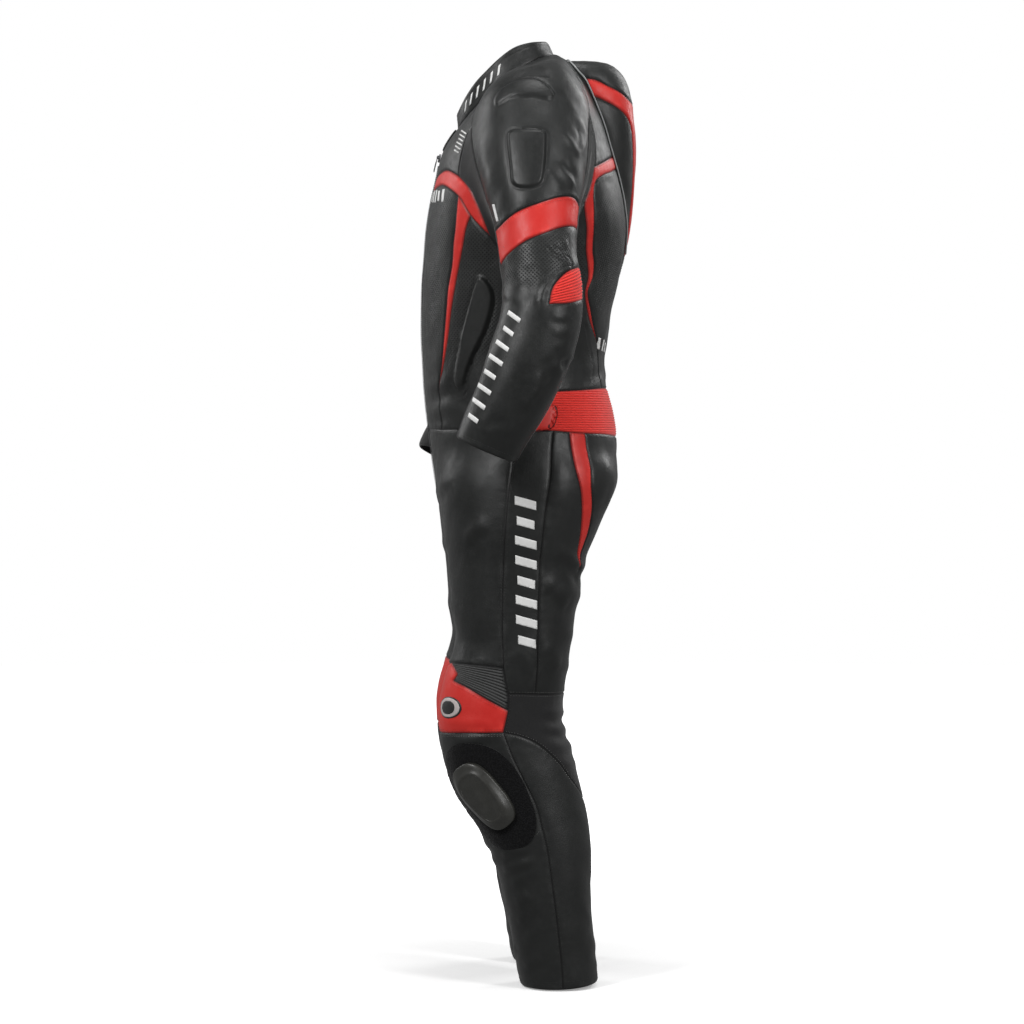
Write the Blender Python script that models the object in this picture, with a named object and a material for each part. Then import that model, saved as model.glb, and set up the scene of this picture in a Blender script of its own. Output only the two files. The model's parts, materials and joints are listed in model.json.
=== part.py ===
# A one-piece leather motorcycle race suit, in the shape it has when worn and standing upright.
# Metres, +Z up, front towards -Y, the wearer's left at +X. The origin is the middle of the shoulder line.
# The suit's outer form is one smooth shape: trunk, hump, legs and arms from short tables of sections, joined
# with soft blends. The seams are curves on that form, the panels are the areas between them, and each panel
# is a wall of leather on it. The left half is made and mirrored.
import math
import bpy
import bmesh
import numpy as np
from mathutils import Vector
from mathutils.geometry import delaunay_2d_cdt

WALL = 0.0022            # leather with its backing
SEAM_GAP = 0.0003        # between two panels at a seam
SEAM_STEP = 0.029        # distance between a seam's points
PANEL_PITCH = 0.042      # distance between the points inside a panel
GROUND_THICK = 0.0024
PUCK_RINGS_COLUMNS = ("height", "scale")
PUCK_RINGS = ((0.0040, 1.00), (0.0080, 0.96), (0.0145, 0.70))
COLLAR_ROWS = 3
PULL_LIMIT = 150.0       # degrees the zip's pull swings up


# ---------------------------------------------------------------- sizes, metres
SHOULDER_COLUMNS = ("distance_from_middle", "drop")
SHOULDER_LINE = (
    (0.000, 0.006), (0.070, 0.000), (0.100, -0.008), (0.140, -0.021), (0.180, -0.040), (0.220, -0.068), (0.270, -0.110))
NECK_COLUMNS = ("y", "height")       # the top of the body from front to back, beside the neck
NECK_LINE = (
    (-0.160, -0.120), (-0.125, -0.080), (-0.103, -0.058), (-0.088, -0.045), (-0.073, -0.031), (-0.056, -0.014),
    (-0.035, 0.005), (-0.012, 0.021), (0.007, 0.030), (0.027, 0.037), (0.045, 0.040), (0.066, 0.034), (0.090, 0.018),
    (0.120, -0.012), (0.160, -0.060))

TORSO_COLUMNS = ("z", "half_width", "front_y", "back_y", "power")
TORSO = (
    (0.060, 0.165, -0.030, 0.045, 2.2),
    (0.020, 0.176, -0.060, 0.074, 2.2),
    (-0.020, 0.186, -0.083, 0.099, 2.2),
    (-0.060, 0.192, -0.106, 0.118, 2.3),
    (-0.100, 0.195, -0.126, 0.130, 2.3),
    (-0.140, 0.195, -0.135, 0.140, 2.3),
    (-0.180, 0.192, -0.144, 0.148, 2.35),
    (-0.220, 0.188, -0.150, 0.152, 2.35),
    (-0.260, 0.181, -0.153, 0.148, 2.35),
    (-0.300, 0.174, -0.156, 0.140, 2.35),
    (-0.340, 0.170, -0.157, 0.130, 2.35),
    (-0.380, 0.167, -0.157, 0.124, 2.35),
    (-0.420, 0.166, -0.155, 0.119, 2.35),
    (-0.458, 0.168, -0.153, 0.124, 2.35),
    (-0.490, 0.172, -0.150, 0.132, 2.35),
    (-0.523, 0.178, -0.146, 0.137, 2.35),
    (-0.555, 0.183, -0.142, 0.138, 2.35),
    (-0.590, 0.188, -0.137, 0.134, 2.35),
    (-0.630, 0.191, -0.130, 0.118, 2.35),
    (-0.670, 0.190, -0.122, 0.098, 2.35),
    (-0.720, 0.186, -0.114, 0.080, 2.35),
)
TRUNK_FOOT = -0.700      # where the trunk rounds under, between the legs

HUMP_COLUMNS = ("z", "half_width", "back_y")
HUMP = (
    (0.060, 0.066, 0.118),
    (0.030, 0.071, 0.140),
    (0.005, 0.075, 0.1555),
    (-0.020, 0.078, 0.1625),
    (-0.050, 0.080, 0.166),
    (-0.100, 0.080, 0.168),
    (-0.140, 0.077, 0.167),
    (-0.180, 0.070, 0.164),
    (-0.215, 0.060, 0.160),
    (-0.245, 0.046, 0.1535),
    (-0.280, 0.030, 0.142),
    (-0.310, 0.020, 0.126),
    (-0.350, 0.014, 0.104),
)
HUMP_TOP = 0.0365

LEG_COLUMNS = ("z", "centre_x", "half_width", "front_y", "back_y", "power")
LEG = (
    (-0.540, 0.092, 0.090, -0.1250, 0.1350, 2.2),
    (-0.590, 0.093, 0.093, -0.1240, 0.1330, 2.2),
    (-0.630, 0.094, 0.095, -0.1230, 0.1200, 2.2),
    (-0.670, 0.096, 0.095, -0.1210, 0.1020, 2.2),
    (-0.710, 0.098, 0.094, -0.1190, 0.0840, 2.2),
    (-0.757, 0.100, 0.092, -0.1155, 0.0770, 2.2),
    (-0.800, 0.102, 0.090, -0.1120, 0.0680, 2.2),
    (-0.836, 0.104, 0.087, -0.1085, 0.0630, 2.2),
    (-0.868, 0.106, 0.085, -0.1185, 0.0590, 2.2),
    (-0.900, 0.107, 0.083, -0.1280, 0.0550, 2.2),
    (-0.930, 0.108, 0.081, -0.1330, 0.0510, 2.2),
    (-0.955, 0.109, 0.080, -0.1330, 0.0500, 2.2),
    (-0.990, 0.110, 0.079, -0.1295, 0.0600, 2.2),
    (-1.025, 0.111, 0.078, -0.1220, 0.0700, 2.2),
    (-1.060, 0.112, 0.077, -0.1075, 0.0790, 2.2),
    (-1.095, 0.113, 0.076, -0.0850, 0.0860, 2.2),
    (-1.131, 0.114, 0.075, -0.0645, 0.0900, 2.2),
    (-1.167, 0.115, 0.073, -0.0495, 0.0910, 2.2),
    (-1.220, 0.117, 0.070, -0.0365, 0.0925, 2.2),
    (-1.256, 0.118, 0.068, -0.0290, 0.0950, 2.2),
    (-1.310, 0.119, 0.065, -0.0195, 0.0990, 2.2),
    (-1.346, 0.120, 0.063, -0.0125, 0.1040, 2.2),
    (-1.390, 0.121, 0.061, -0.0030, 0.1090, 2.2),
)
LEG_HEAD = -0.575        # where the leg rounds off inside the hips

SLEEVE_COLUMNS = ("x", "y", "z", "half_across", "half_deep")
SLEEVE = (
    (0.168, 0.001, -0.070, 0.066, 0.076),
    (0.191, 0.001, -0.120, 0.067, 0.079),
    (0.212, 0.002, -0.170, 0.065, 0.073),
    (0.234, 0.004, -0.230, 0.061, 0.061),
    (0.252, 0.006, -0.280, 0.058, 0.056),
    (0.267, 0.013, -0.335, 0.057, 0.057),
    (0.276, 0.007, -0.380, 0.057, 0.058),
    (0.281, -0.009, -0.428, 0.056, 0.0575),
    (0.281, -0.031, -0.480, 0.053, 0.053),
    (0.277, -0.055, -0.525, 0.049, 0.050),
    (0.272, -0.073, -0.566, 0.044, 0.046),
    (0.266, -0.091, -0.607, 0.040, 0.042),
)
BLEND_ARM = 0.045
BLEND_ARMPIT = 0.020
BLEND_LEG = 0.034
BLEND_TOP = 0.030
BLEND_HUMP = 0.010


def hermite(table, x, column):
    """Smooth value of one of a table's columns at x, where the first column holds the stations."""
    rows = np.array(table, float)
    if rows[0, 0] > rows[-1, 0]:
        rows = rows[::-1]
    k, y = rows[:, 0], rows[:, column]
    x = np.clip(np.asarray(x, float), k[0], k[-1])
    i = np.clip(np.searchsorted(k, x) - 1, 0, len(k) - 2)
    h = np.diff(k)
    slope = np.diff(y) / h
    m = np.empty_like(y)
    m[0], m[-1] = slope[0], slope[-1]
    m[1:-1] = (slope[:-1] * h[1:] + slope[1:] * h[:-1]) / (h[1:] + h[:-1])
    d = h[i]
    t = (x - k[i]) / d
    return ((2 * t**3 - 3 * t**2 + 1) * y[i] + (t**3 - 2 * t**2 + t) * d * m[i]
            + (3 * t**2 - 2 * t**3) * y[i + 1] + (t**3 - t**2) * d * m[i + 1])


class Smooth:
    """A table read as smooth curves, finely tabulated once so that it is quick to look up."""

    def __init__(self, table, samples=800):
        rows = np.array(table, float)
        lo, hi = rows[:, 0].min(), rows[:, 0].max()
        self.k = np.linspace(lo, hi, samples)
        self.c = [self.k] + [hermite(table, self.k, c) for c in range(1, rows.shape[1])]

    def __call__(self, x, column):
        return np.interp(x, self.k, self.c[column])


torso_at, leg_at, hump_at = Smooth(TORSO), Smooth(LEG), Smooth(HUMP)
shoulder_at, neck_at = Smooth(SHOULDER_LINE), Smooth(NECK_LINE)


def smooth_min(a, b, k):
    h = np.clip(0.5 + 0.5 * (b - a) / k, 0.0, 1.0)
    return b * (1 - h) + a * h - k * h * (1 - h)


def smooth_max(a, b, k):
    return -smooth_min(-a, -b, k)


def oval(across, along, half_across, half_along, power):
    """Radius of an oval section in the direction (across, along)."""
    r = np.hypot(across, along) + 1e-12
    return (np.abs(across / r / half_across) ** power + np.abs(along / r / half_along) ** power) ** (-1.0 / power)


def trunk(p):
    x, y, z = p[..., 0], p[..., 1], p[..., 2]
    front, back = torso_at(z, 2), torso_at(z, 3)
    middle, depth = (front + back) / 2, (back - front) / 2
    side = np.hypot(x, y - middle) - oval(x, y - middle, torso_at(z, 1), depth, torso_at(z, 4))
    lid = (z - shoulder_at(np.abs(x), 1) - neck_at(y, 1)) * 0.80
    f = smooth_max(side, lid, BLEND_TOP)
    return smooth_max(f, TRUNK_FOOT - z, 0.05)


def hump(p):
    x, y, z = p[..., 0], p[..., 1], p[..., 2]
    half, back = hump_at(z, 1), hump_at(z, 2)
    middle = 0.062
    side = np.hypot(x, y - middle) - oval(x, y - middle, half, back - middle, 2.6)
    return smooth_max(side, (z - HUMP_TOP + 0.9 * (y - 0.085) ** 2 + 1.0 * x**2), 0.022)


def leg_centre(z):
    return leg_at(z, 1), (leg_at(z, 3) + leg_at(z, 4)) / 2


def leg(p):
    x, y, z = p[..., 0], p[..., 1], p[..., 2]
    cx, cy = leg_centre(z)
    depth = (leg_at(z, 4) - leg_at(z, 3)) / 2
    side = np.hypot(x - cx, y - cy) - oval(x - cx, y - cy, leg_at(z, 2), depth, 2.2)
    return smooth_max(side, z - LEG_HEAD, 0.05)


def unit(v):
    return v / (np.linalg.norm(v, axis=-1, keepdims=True) + 1e-12)


def sleeve_axis(samples=49):
    """Points, directions and section sizes along the arm, from the shoulder to the cuff."""
    rows = np.array(SLEEVE, float)
    step = np.concatenate([[0], np.cumsum(np.linalg.norm(np.diff(rows[:, :3], axis=0), axis=1))])
    keyed = np.column_stack([step, rows])
    s = np.linspace(0, step[-1], samples)
    pts = np.column_stack([hermite(keyed, s, c) for c in (1, 2, 3)])
    size = np.column_stack([hermite(keyed, s, c) for c in (4, 5)])
    s = np.concatenate([[0], np.cumsum(np.linalg.norm(np.diff(pts, axis=0), axis=1))])
    along = unit(np.gradient(pts, s, axis=0))
    return s, pts, along, size


AX_S, AX_P, AX_T, AX_R = sleeve_axis()


def arm_frame(t):
    """Two directions square to the arm: away from the body, and forward."""
    forward = np.zeros_like(t)
    forward[..., 1] = -1.0
    forward = unit(forward - t * (forward * t).sum(-1, keepdims=True))
    outward = np.cross(forward, t)
    return outward, forward


def sleeve_tube(p):
    shape = p.shape[:-1]
    q = p.reshape(-1, 3)
    best = np.full(len(q), 1e9)
    which = np.zeros(len(q), int)
    part = np.zeros(len(q))
    seg = np.diff(AX_P, axis=0)
    length2 = (seg**2).sum(1)
    for i in range(len(seg)):
        rel = q - AX_P[i]
        w = np.clip((rel @ seg[i]) / length2[i], 0, 1)
        d = ((rel - w[:, None] * seg[i]) ** 2).sum(1)
        near = d < best
        best[near] = d[near]
        which[near] = i
        part[near] = w[near]
    w = part[:, None]
    centre = AX_P[which] * (1 - w) + AX_P[which + 1] * w
    tangent = unit(AX_T[which] * (1 - w) + AX_T[which + 1] * w)
    size = AX_R[which] * (1 - w) + AX_R[which + 1] * w
    outward, forward = arm_frame(tangent)
    d = q - centre
    a, b = (d * outward).sum(1), (d * forward).sum(1)
    c = (d * tangent).sum(1)
    out = np.sqrt(a * a + b * b + c * c) - oval(a, b, size[:, 0], size[:, 1], 2.1)
    return out.reshape(shape)


def body(p, parts="trunk hump legs arms"):
    """Signed size of the garment's outer form at p: negative inside. It is the same on the left and right."""
    q = p.copy()
    q[..., 0] = np.abs(q[..., 0])
    f = np.full(q.shape[:-1], 1.0)
    if "trunk" in parts:
        f = trunk(q)
    if "legs" in parts:
        low = q[..., 2] < -0.45
        if low.any():
            other = q[low].copy()
            other[..., 0] *= -1
            legs = smooth_min(leg(q[low]), leg(other), 0.03)
            f[low] = smooth_min(f[low], legs, BLEND_LEG)
    if "arms" in parts:
        near = (q[..., 0] > 0.05) & (q[..., 2] > -0.75)
        if near.any():
            k = BLEND_ARMPIT + (BLEND_ARM - BLEND_ARMPIT) * np.clip((q[near][..., 2] + 0.26) / 0.12, 0, 1)
            f[near] = smooth_min(f[near], sleeve_tube(q[near]), k)
    if "hump" in parts:
        near = (q[..., 1] > 0.0) & (q[..., 2] > -0.36) & (q[..., 0] < 0.15)
        if near.any():
            f[near] = smooth_min(f[near], hump(q[near]), BLEND_HUMP)
    return f


def slope_of(p, parts="trunk hump legs arms"):
    """Outward direction of the form's surface at p."""
    h = 0.0006
    g = np.empty_like(p)
    for k in range(3):
        a, b = p.copy(), p.copy()
        a[..., k] += h
        b[..., k] -= h
        g[..., k] = (body(a, parts) - body(b, parts)) / (2 * h)
    return g


def snap(p, parts="trunk hump legs arms"):
    """The points of the form's surface nearest to p, for points close to it."""
    p = np.array(p, float)
    for _ in range(5):
        g = slope_of(p, parts)
        p -= g * (body(p, parts) / ((g**2).sum(-1) + 1e-9))[..., None]
    return p

# ---------------------------------------------------------------- charts: flat maps of the form
TILT_COLUMNS = ("z", "degrees")      # how steeply the trunk's rays rise towards the neck
TILT = ((-0.800, 0), (-0.200, 0), (-0.140, 4), (-0.100, 12), (-0.060, 27), (-0.030, 44), (0.000, 64), (0.020, 74))
tilt_at = Smooth(TILT)
TRUNK_MIDDLE = 0.006                 # y of the trunk chart's axis


def trunk_ray(u, v):
    """u: degrees from the middle of the front round the left side to the middle of the back; v: height."""
    a, e = np.radians(u), np.radians(tilt_at(v, 1))
    start = np.stack([np.zeros_like(a), np.full_like(a, TRUNK_MIDDLE), v], -1)
    return start, np.stack([np.sin(a) * np.cos(e), -np.cos(a) * np.cos(e), np.sin(e)], -1)


def trunk_uv(p):
    r = np.hypot(p[..., 0], p[..., 1] - TRUNK_MIDDLE)
    lo, hi = np.full(r.shape, -0.8), np.full(r.shape, 0.02)
    for _ in range(30):
        mid = (lo + hi) / 2
        over = mid + r * np.tan(np.radians(tilt_at(mid, 1))) > p[..., 2]
        hi, lo = np.where(over, mid, hi), np.where(over, lo, mid)
    return np.degrees(np.arctan2(p[..., 0], -(p[..., 1] - TRUNK_MIDDLE))), (lo + hi) / 2


def leg_ray(u, v):
    """u: degrees round the leg: 0 the outer side, 90 the front, 180 the inner side, 270 the back; v: height."""
    a = np.radians(u)
    cx, cy = leg_centre(v)
    return np.stack([cx, cy, v], -1), np.stack([np.cos(a), -np.sin(a), np.zeros_like(a)], -1)


def leg_uv(p):
    cx, cy = leg_centre(p[..., 2])
    return np.degrees(np.arctan2(-(p[..., 1] - cy), p[..., 0] - cx)), p[..., 2]


ARM_START = 0.178        # distance down the arm's axis of its first section below the armpit
PIVOT_IN = 0.088         # from the axis there to the armpit's pivot, about which the shoulder's sections turn
FAN = 0.20               # metres of chart for each radian of that turn
FAN_MIDDLE_COLUMNS = ("turn", "distance")
FAN_MIDDLE = ((0.0, PIVOT_IN), (0.5, 0.120), (1.0, 0.165), (1.4, 0.190), (1.9, 0.200))
fan_at = Smooth(FAN_MIDDLE)


def on_arm(s):
    p = np.stack([np.interp(s, AX_S, AX_P[:, k]) for k in range(3)], -1)
    t = np.stack([np.interp(s, AX_S, AX_T[:, k]) for k in range(3)], -1)
    t[..., 1] *= np.clip((s - ARM_START) / 0.05, 0, 1)
    return p, unit(t)


P0, T0 = on_arm(np.array(ARM_START))
R0 = arm_frame(T0)[0]
PIVOT = P0 - R0 * PIVOT_IN


def sleeve_ray(u, v):
    """u: degrees round the arm: 0 the outer side, 90 the front, 180 towards the body, 270 the back;
    v: distance down the arm from the armpit, and above it the turn over the shoulder to the neck."""
    a = np.radians(u)
    centre, t = on_arm(ARM_START + np.maximum(v, 0))
    outward, forward = arm_frame(t)
    turn = np.maximum(-v, 0) / FAN
    lifted = np.cos(turn)[..., None] * R0 - np.sin(turn)[..., None] * T0
    above = (v < 0)[..., None]
    outward = np.where(above, lifted, outward)
    centre = np.where(above, PIVOT + lifted * fan_at(turn, 1)[..., None] + [0, P0[1] - PIVOT[1], 0], centre)
    return centre, np.cos(a)[..., None] * outward + np.sin(a)[..., None] * forward


def sleeve_uv(p):
    rel = p - PIVOT
    turn = np.arctan2(-(rel @ T0), rel @ R0)
    lo, hi = np.zeros(turn.shape), np.full(turn.shape, AX_S[-1] - ARM_START)
    for _ in range(26):
        mid = (lo + hi) / 2
        c, t = on_arm(ARM_START + mid)
        past = ((p - c) * t).sum(-1) > 0
        lo, hi = np.where(past, mid, lo), np.where(past, hi, mid)
    v = np.where(turn > 0, -turn * FAN, (lo + hi) / 2)
    centre, one = sleeve_ray(np.zeros_like(v), v)
    _, quarter = sleeve_ray(np.full_like(v, 90.0), v)
    d = p - centre
    return np.degrees(np.arctan2((d * quarter).sum(-1), (d * one).sum(-1))), v


#         ray, inverse, metres for each degree, middle of the range, furthest reach, parts of the form
CHARTS = {
    "trunk": (trunk_ray, trunk_uv, 0.0028, 90, 0.32, "trunk hump legs arms"),
    "leg_front": (leg_ray, leg_uv, 0.0016, 90, 0.24, "trunk legs"),
    "leg_back": (leg_ray, leg_uv, 0.0016, 270, 0.24, "trunk legs"),
    "sleeve_out": (sleeve_ray, sleeve_uv, 0.0011, 0, 0.20, "trunk hump arms"),
    "sleeve_in": (sleeve_ray, sleeve_uv, 0.0011, 180, 0.16, "trunk arms"),
}


def reach(chart, u, v, steps=26):
    """Points of the form's surface at (u, v) of a chart: where the chart's rays leave the form."""
    ray, _, _, _, far, parts = CHARTS[chart]
    start, way = ray(np.asarray(u, float), np.asarray(v, float))
    lo, hi = np.zeros(len(start)), np.full(len(start), far)
    found = np.zeros(len(start), bool)
    for i in range(1, steps + 1):
        t = far * i / steps
        left = np.flatnonzero(~found)
        if not len(left):
            break
        out = body(start[left] + way[left] * t, parts) > 0
        hi[left[out]] = t
        lo[left[~out]] = t
        found[left[out]] = True
    for _ in range(13):
        mid = (lo + hi) / 2
        out = body(start + way * mid[:, None], parts) > 0
        hi, lo = np.where(out, mid, hi), np.where(out, lo, mid)
    return start + way * ((lo + hi) / 2)[:, None]


def chart_uv(chart, p):
    """Chart coordinates in metres of points on the form."""
    _, inverse, scale, middle, _, _ = CHARTS[chart]
    u, v = inverse(np.asarray(p, float))
    u = (u - middle + 180) % 360 - 180 + middle
    return np.stack([u * scale, v], -1)


# ---------------------------------------------------------------- seams
# Each seam runs through the points of its table (x, y, z in millimetres, set on the form's surface), on the
# left half of the suit. A seam that starts or ends on another names it.
NECK_HALF_WIDTH, NECK_FRONT, NECK_BACK = 0.080, -0.103, 0.047
ZIP_HALF = 0.005
ZIP_END = -0.640
HEM = -1.342
RIGHT_ARM_FORWARD = 0.048

SEAM_COLUMNS = ("x", "y", "z")
SEAMS = {
    "raglan": ((76, -52, -14), (100, -67, -34), (135, -80, -60), (166, -86, -95), (186, -83, -130), (200, -74, -165),
               (205, -60, -200), (203, -42, -232), (198, -20, -256), (196, 2, -266), (199, 24, -256), (205, 44, -232),
               (210, 60, -200), (208, 72, -168), (200, 80, -130), (184, 83, -90), (155, 80, -55), (118, 72, -15),
               (82, 58, 16), (56, 36, 36)),
    "gusset_front": ((155, -83, -78), (143, -89, -88), (140, -97, -106), (136, -104, -131), (141, -103, -146)),
    "band_top": ((5, -137, -141), (44, -134, -138), (96, -123, -137), (128, -111, -146), (143, -103, -154),
                 (163, -89, -174), (168, -81, -189), (173, -73, -209), (176, -60, -243)),
    "band_low": ((5, -141, -160), (54, -137, -158), (92, -128, -159), (122, -118, -168), (147, -104, -184),
                 (163, -89, -211), (176, -60, -243)),
    "gusset_low": ((176, -60, -243), (179, -32, -278), (179, 0, -296), (179, 34, -280), (178, 58, -240),
                   (177, 69, -208), (171, 84, -180), (162, 92, -145), (152, 92, -100), (153, 86, -74)),
    "stripe_front": ((143, -107, -182), (141, -111, -227), (137, -114, -250), (134, -116, -280), (126, -121, -315),
                     (122, -124, -350), (117, -127, -385), (111, -130, -420), (100, -135, -466)),
    "stripe_side": ((163, -89, -211), (157, -95, -229), (153, -99, -248), (145, -105, -281), (137, -111, -315),
                    (131, -117, -350), (125, -121, -385), (116, -127, -420), (100, -135, -466)),
    "stripe_tail": ((100, -135, -466), (102, -134, -495), (104, -132, -523)),
    "piping": ((0, 61, 37), (36, 61, 36), (62, 64, 29), (73, 74, 18), (77, 88, 2), (79, 101, -28), (80, 111, -55),
               (77, 127, -100), (68, 137, -135), (53, 147, -178), (38, 152, -216), (18, 152, -250), (0, 151, -262)),
    "hump_band_top": ((76, 86, 5), (72, 100, 3), (66, 121, -6), (58, 136, -12), (46, 150, -20), (30, 159, -26),
                      (0, 163, -30)),
    "hump_band_low": ((79, 97, -22), (73, 116, -29), (64, 135, -38), (52, 151, -50), (42, 158, -66), (37, 161, -100),
                      (33, 161, -144), (28, 157, -198), (20, 152, -247)),
    "back_band_top": ((73, 131, -113), (105, 122, -120), (135, 108, -130), (158, 93, -140)),
    "back_band_in": ((69, 136, -131), (105, 126, -139), (140, 108, -149), (158, 98, -160), (162, 95, -178),
                     (161, 95, -198), (158, 95, -228), (151, 94, -262), (143, 96, -280), (139, 95, -300),
                     (140, 88, -322), (128, 92, -345), (117, 96, -366), (94, 106, -398)),
    "back_band_out": ((169, 86, -172), (173, 79, -192), (170, 81, -212), (166, 83, -229), (159, 83, -262),
                      (152, 86, -281), (146, 88, -300), (144, 84, -322), (134, 87, -345), (122, 92, -366),
                      (94, 106, -398)),
    "back_tail": ((94, 106, -398), (90, 107, -430), (88, 110, -461)),
    "waist_top": ((0, 124, -458), (65, 118, -459), (110, 100, -462), (141, 76, -465), (162, 39, -468),
                  (168, 3, -470), (166, -22, -470)),
    "waist_front": ((166, -22, -470), (167, -34, -480), (170, -36, -497), (173, -34, -524)),
    "waist": ((5, -147, -520), (60, -144, -521), (104, -132, -523), (150, -93, -524), (173, -40, -525),
              (179, -2, -525), (175, 34, -526), (166, 61, -528), (152, 83, -529), (110, 114, -530), (58, 134, -531),
              (0, 137, -531)),
    "side_front": ((178, -23, -525), (184, -26, -560), (195, -33, -609), (196, -39, -674), (192, -43, -764),
                   (191, -43, -830), (191, -41, -872)),
    "side_back": ((175, 32, -526), (187, 30, -560), (194, 27, -598), (197, 21, -640), (192, 15, -700),
                  (188, 11, -791), (185, 10, -859), (181, 7, -911)),
    "hip_front": ((168, 58, -528), (175, 62, -556), (180, 66, -582), (178, 74, -620), (172, 76, -650),
                  (162, 74, -682), (152, 70, -710), (144, 70, -730)),
    "hip_back": ((154, 82, -529), (161, 88, -569), (166, 88, -608), (160, 92, -640), (150, 88, -672),
                 (146, 81, -700), (144, 70, -730)),
    "knee_side": ((191, -41, -872), (191, -38, -890), (190, -34, -911), (189, -34, -934), (189, -37, -950),
                  (189, -41, -966)),
    "thigh_end": ((190, -34, -909), (188, -14, -910), (181, 7, -911), (166, 30, -912), (132, 50, -912),
                  (107, 54, -912), (70, 46, -912), (40, 20, -911), (28, -10, -910), (25, -36, -909)),
    "knee_low": ((189, -41, -966), (184, -76, -967), (168, -106, -968), (111, -133, -971), (54, -106, -968),
                 (36, -76, -967), (29, -41, -966)),
    "knee_inner": ((25, -36, -909), (25, -36, -932), (27, -38, -950), (29, -41, -966)),
    "pleats_top": ((191, -41, -872), (184, -73, -868), (155, -108, -866), (131, -118, -866)),
    "pleats_front": ((131, -118, -866), (148, -114, -873), (159, -109, -881)),
    "pleats_nose": ((159, -109, -881), (158, -112, -886), (155, -116, -891)),
    "knee_top": ((131, -118, -866), (102, -122, -868), (72, -118, -871), (46, -100, -880), (29, -70, -906),
                 (25, -36, -932)),
    "pleats_low": ((155, -116, -891), (176, -94, -901), (187, -66, -917), (189, -34, -934)),
    "inseam": ((6, -30, -780), (16, -32, -840), (25, -36, -909)),
    "hem": ((120, -15, -1342), (165, 8, -1342), (183, 47, -1342), (170, 84, -1339), (120, 101, -1336),
            (70, 84, -1339), (57, 47, -1342), (75, 8, -1342), (120, -15, -1342)),
    "shin_out": ((189, -41, -966), (189, -27, -1003), (189, -8, -1041), (189, 8, -1074), (189, 17, -1109),
                 (189, 24, -1140), (188, 31, -1190), (186, 39, -1252), (184, 45, -1310), (183, 47, -1342)),
    "shin_in": ((29, -41, -966), (31, -27, -1003), (35, -8, -1041), (38, 8, -1074), (40, 17, -1109),
                (42, 24, -1140), (47, 31, -1190), (51, 39, -1252), (55, 45, -1310), (57, 47, -1342)),
    "arc": ((189, -41, -966), (187, -12, -973), (181, 12, -984), (168, 40, -1009), (150, 64, -1042),
            (112, 80, -1070), (72, 64, -1042), (52, 40, -1009), (39, 12, -984), (33, -12, -973), (29, -41, -966)),
}
SLEEVE_SEAM_COLUMNS = ("degrees", "v")
SLEEVE_SEAMS = {
    "cuff_out": ((82, 0.345), (40, 0.345), (0, 0.345), (-40, 0.345), (-82, 0.345)),
    "cuff_in": ((82, 0.345), (110, 0.345), (140, 0.345), (180, 0.345), (220, 0.345), (250, 0.345), (278, 0.345)),
    "sleeve_front": ((119, -0.115), (105, -0.072), (92, -0.022), (85, 0.030), (84, 0.130), (84, 0.220), (82, 0.345)),
    "sleeve_back": ((-115, -0.120), (-103, -0.085), (-90, -0.040), (-82, 0.010), (-79, 0.070), (-79, 0.150),
                    (-80, 0.240), (-82, 0.345)),
    "arm_band_top": ((88, 0.009), (61, 0.011), (32, 0.003), (-3, -0.012), (-35, -0.030), (-64, -0.046), (-92, -0.055)),
    "arm_band_low": ((84, 0.057), (66, 0.055), (47, 0.052), (21, 0.045), (-9, 0.036), (-40, 0.022), (-64, 0.013),
                     (-82, 0.008)),
    "elbow_top": ((-79, 0.076), (-56, 0.083), (-36, 0.090), (-22, 0.099), (-11, 0.112), (-8, 0.133)),
    "elbow_low": ((-8, 0.133), (-35, 0.127), (-60, 0.119), (-79, 0.113)),
}

# seam: (starts on, ends on)
JOINS = {
    "raglan": ("neck", "neck"), "gusset_front": ("raglan", "band_top"), "band_top": ("zip", None),
    "band_low": ("zip", "band_top"), "gusset_low": ("band_top", "raglan"), "stripe_front": ("band_low", None),
    "stripe_side": ("band_low", "stripe_front"), "stripe_tail": ("stripe_front", "waist"),
    "piping": ("back_middle", "back_middle"), "hump_band_top": ("piping", "back_middle"), "hump_band_low": ("piping", "piping"),
    "back_band_top": ("piping", "gusset_low"), "back_band_in": ("piping", None),
    "back_band_out": ("gusset_low", "back_band_in"), "back_tail": ("back_band_in", "waist_top"),
    "waist_top": ("back_middle", None), "waist_front": ("waist_top", "waist"), "waist": ("zip", "back_middle"), "side_front": ("waist", None),
    "side_back": ("waist", "thigh_end"), "hip_front": ("waist", None), "hip_back": ("waist", "hip_front"),
    "knee_side": ("side_front", None), "thigh_end": ("knee_side", None), "pleats_top": ("side_front", None),
    "pleats_front": ("pleats_top", None), "pleats_nose": ("pleats_front", None), "knee_top": ("pleats_top", "knee_inner"),
    "pleats_low": ("pleats_nose", "knee_side"), "knee_low": ("knee_side", None),
    "knee_inner": ("thigh_end", "knee_low"), "inseam": ("crotch", "thigh_end"), "shin_out": ("knee_side", "hem"),
    "shin_in": ("knee_low", "hem"), "arc": ("knee_side", "knee_low"), "hem": (None, None),
    "sleeve_front": ("raglan", "cuff_out"), "sleeve_back": ("raglan", "cuff_out"),
    "cuff_out": (None, None), "cuff_in": ("cuff_out", "cuff_out"),
    "arm_band_top": ("sleeve_front", "sleeve_back"), "arm_band_low": ("sleeve_front", "sleeve_back"),
    "elbow_top": ("sleeve_back", None), "elbow_low": ("elbow_top", "sleeve_back"),
}


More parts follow.
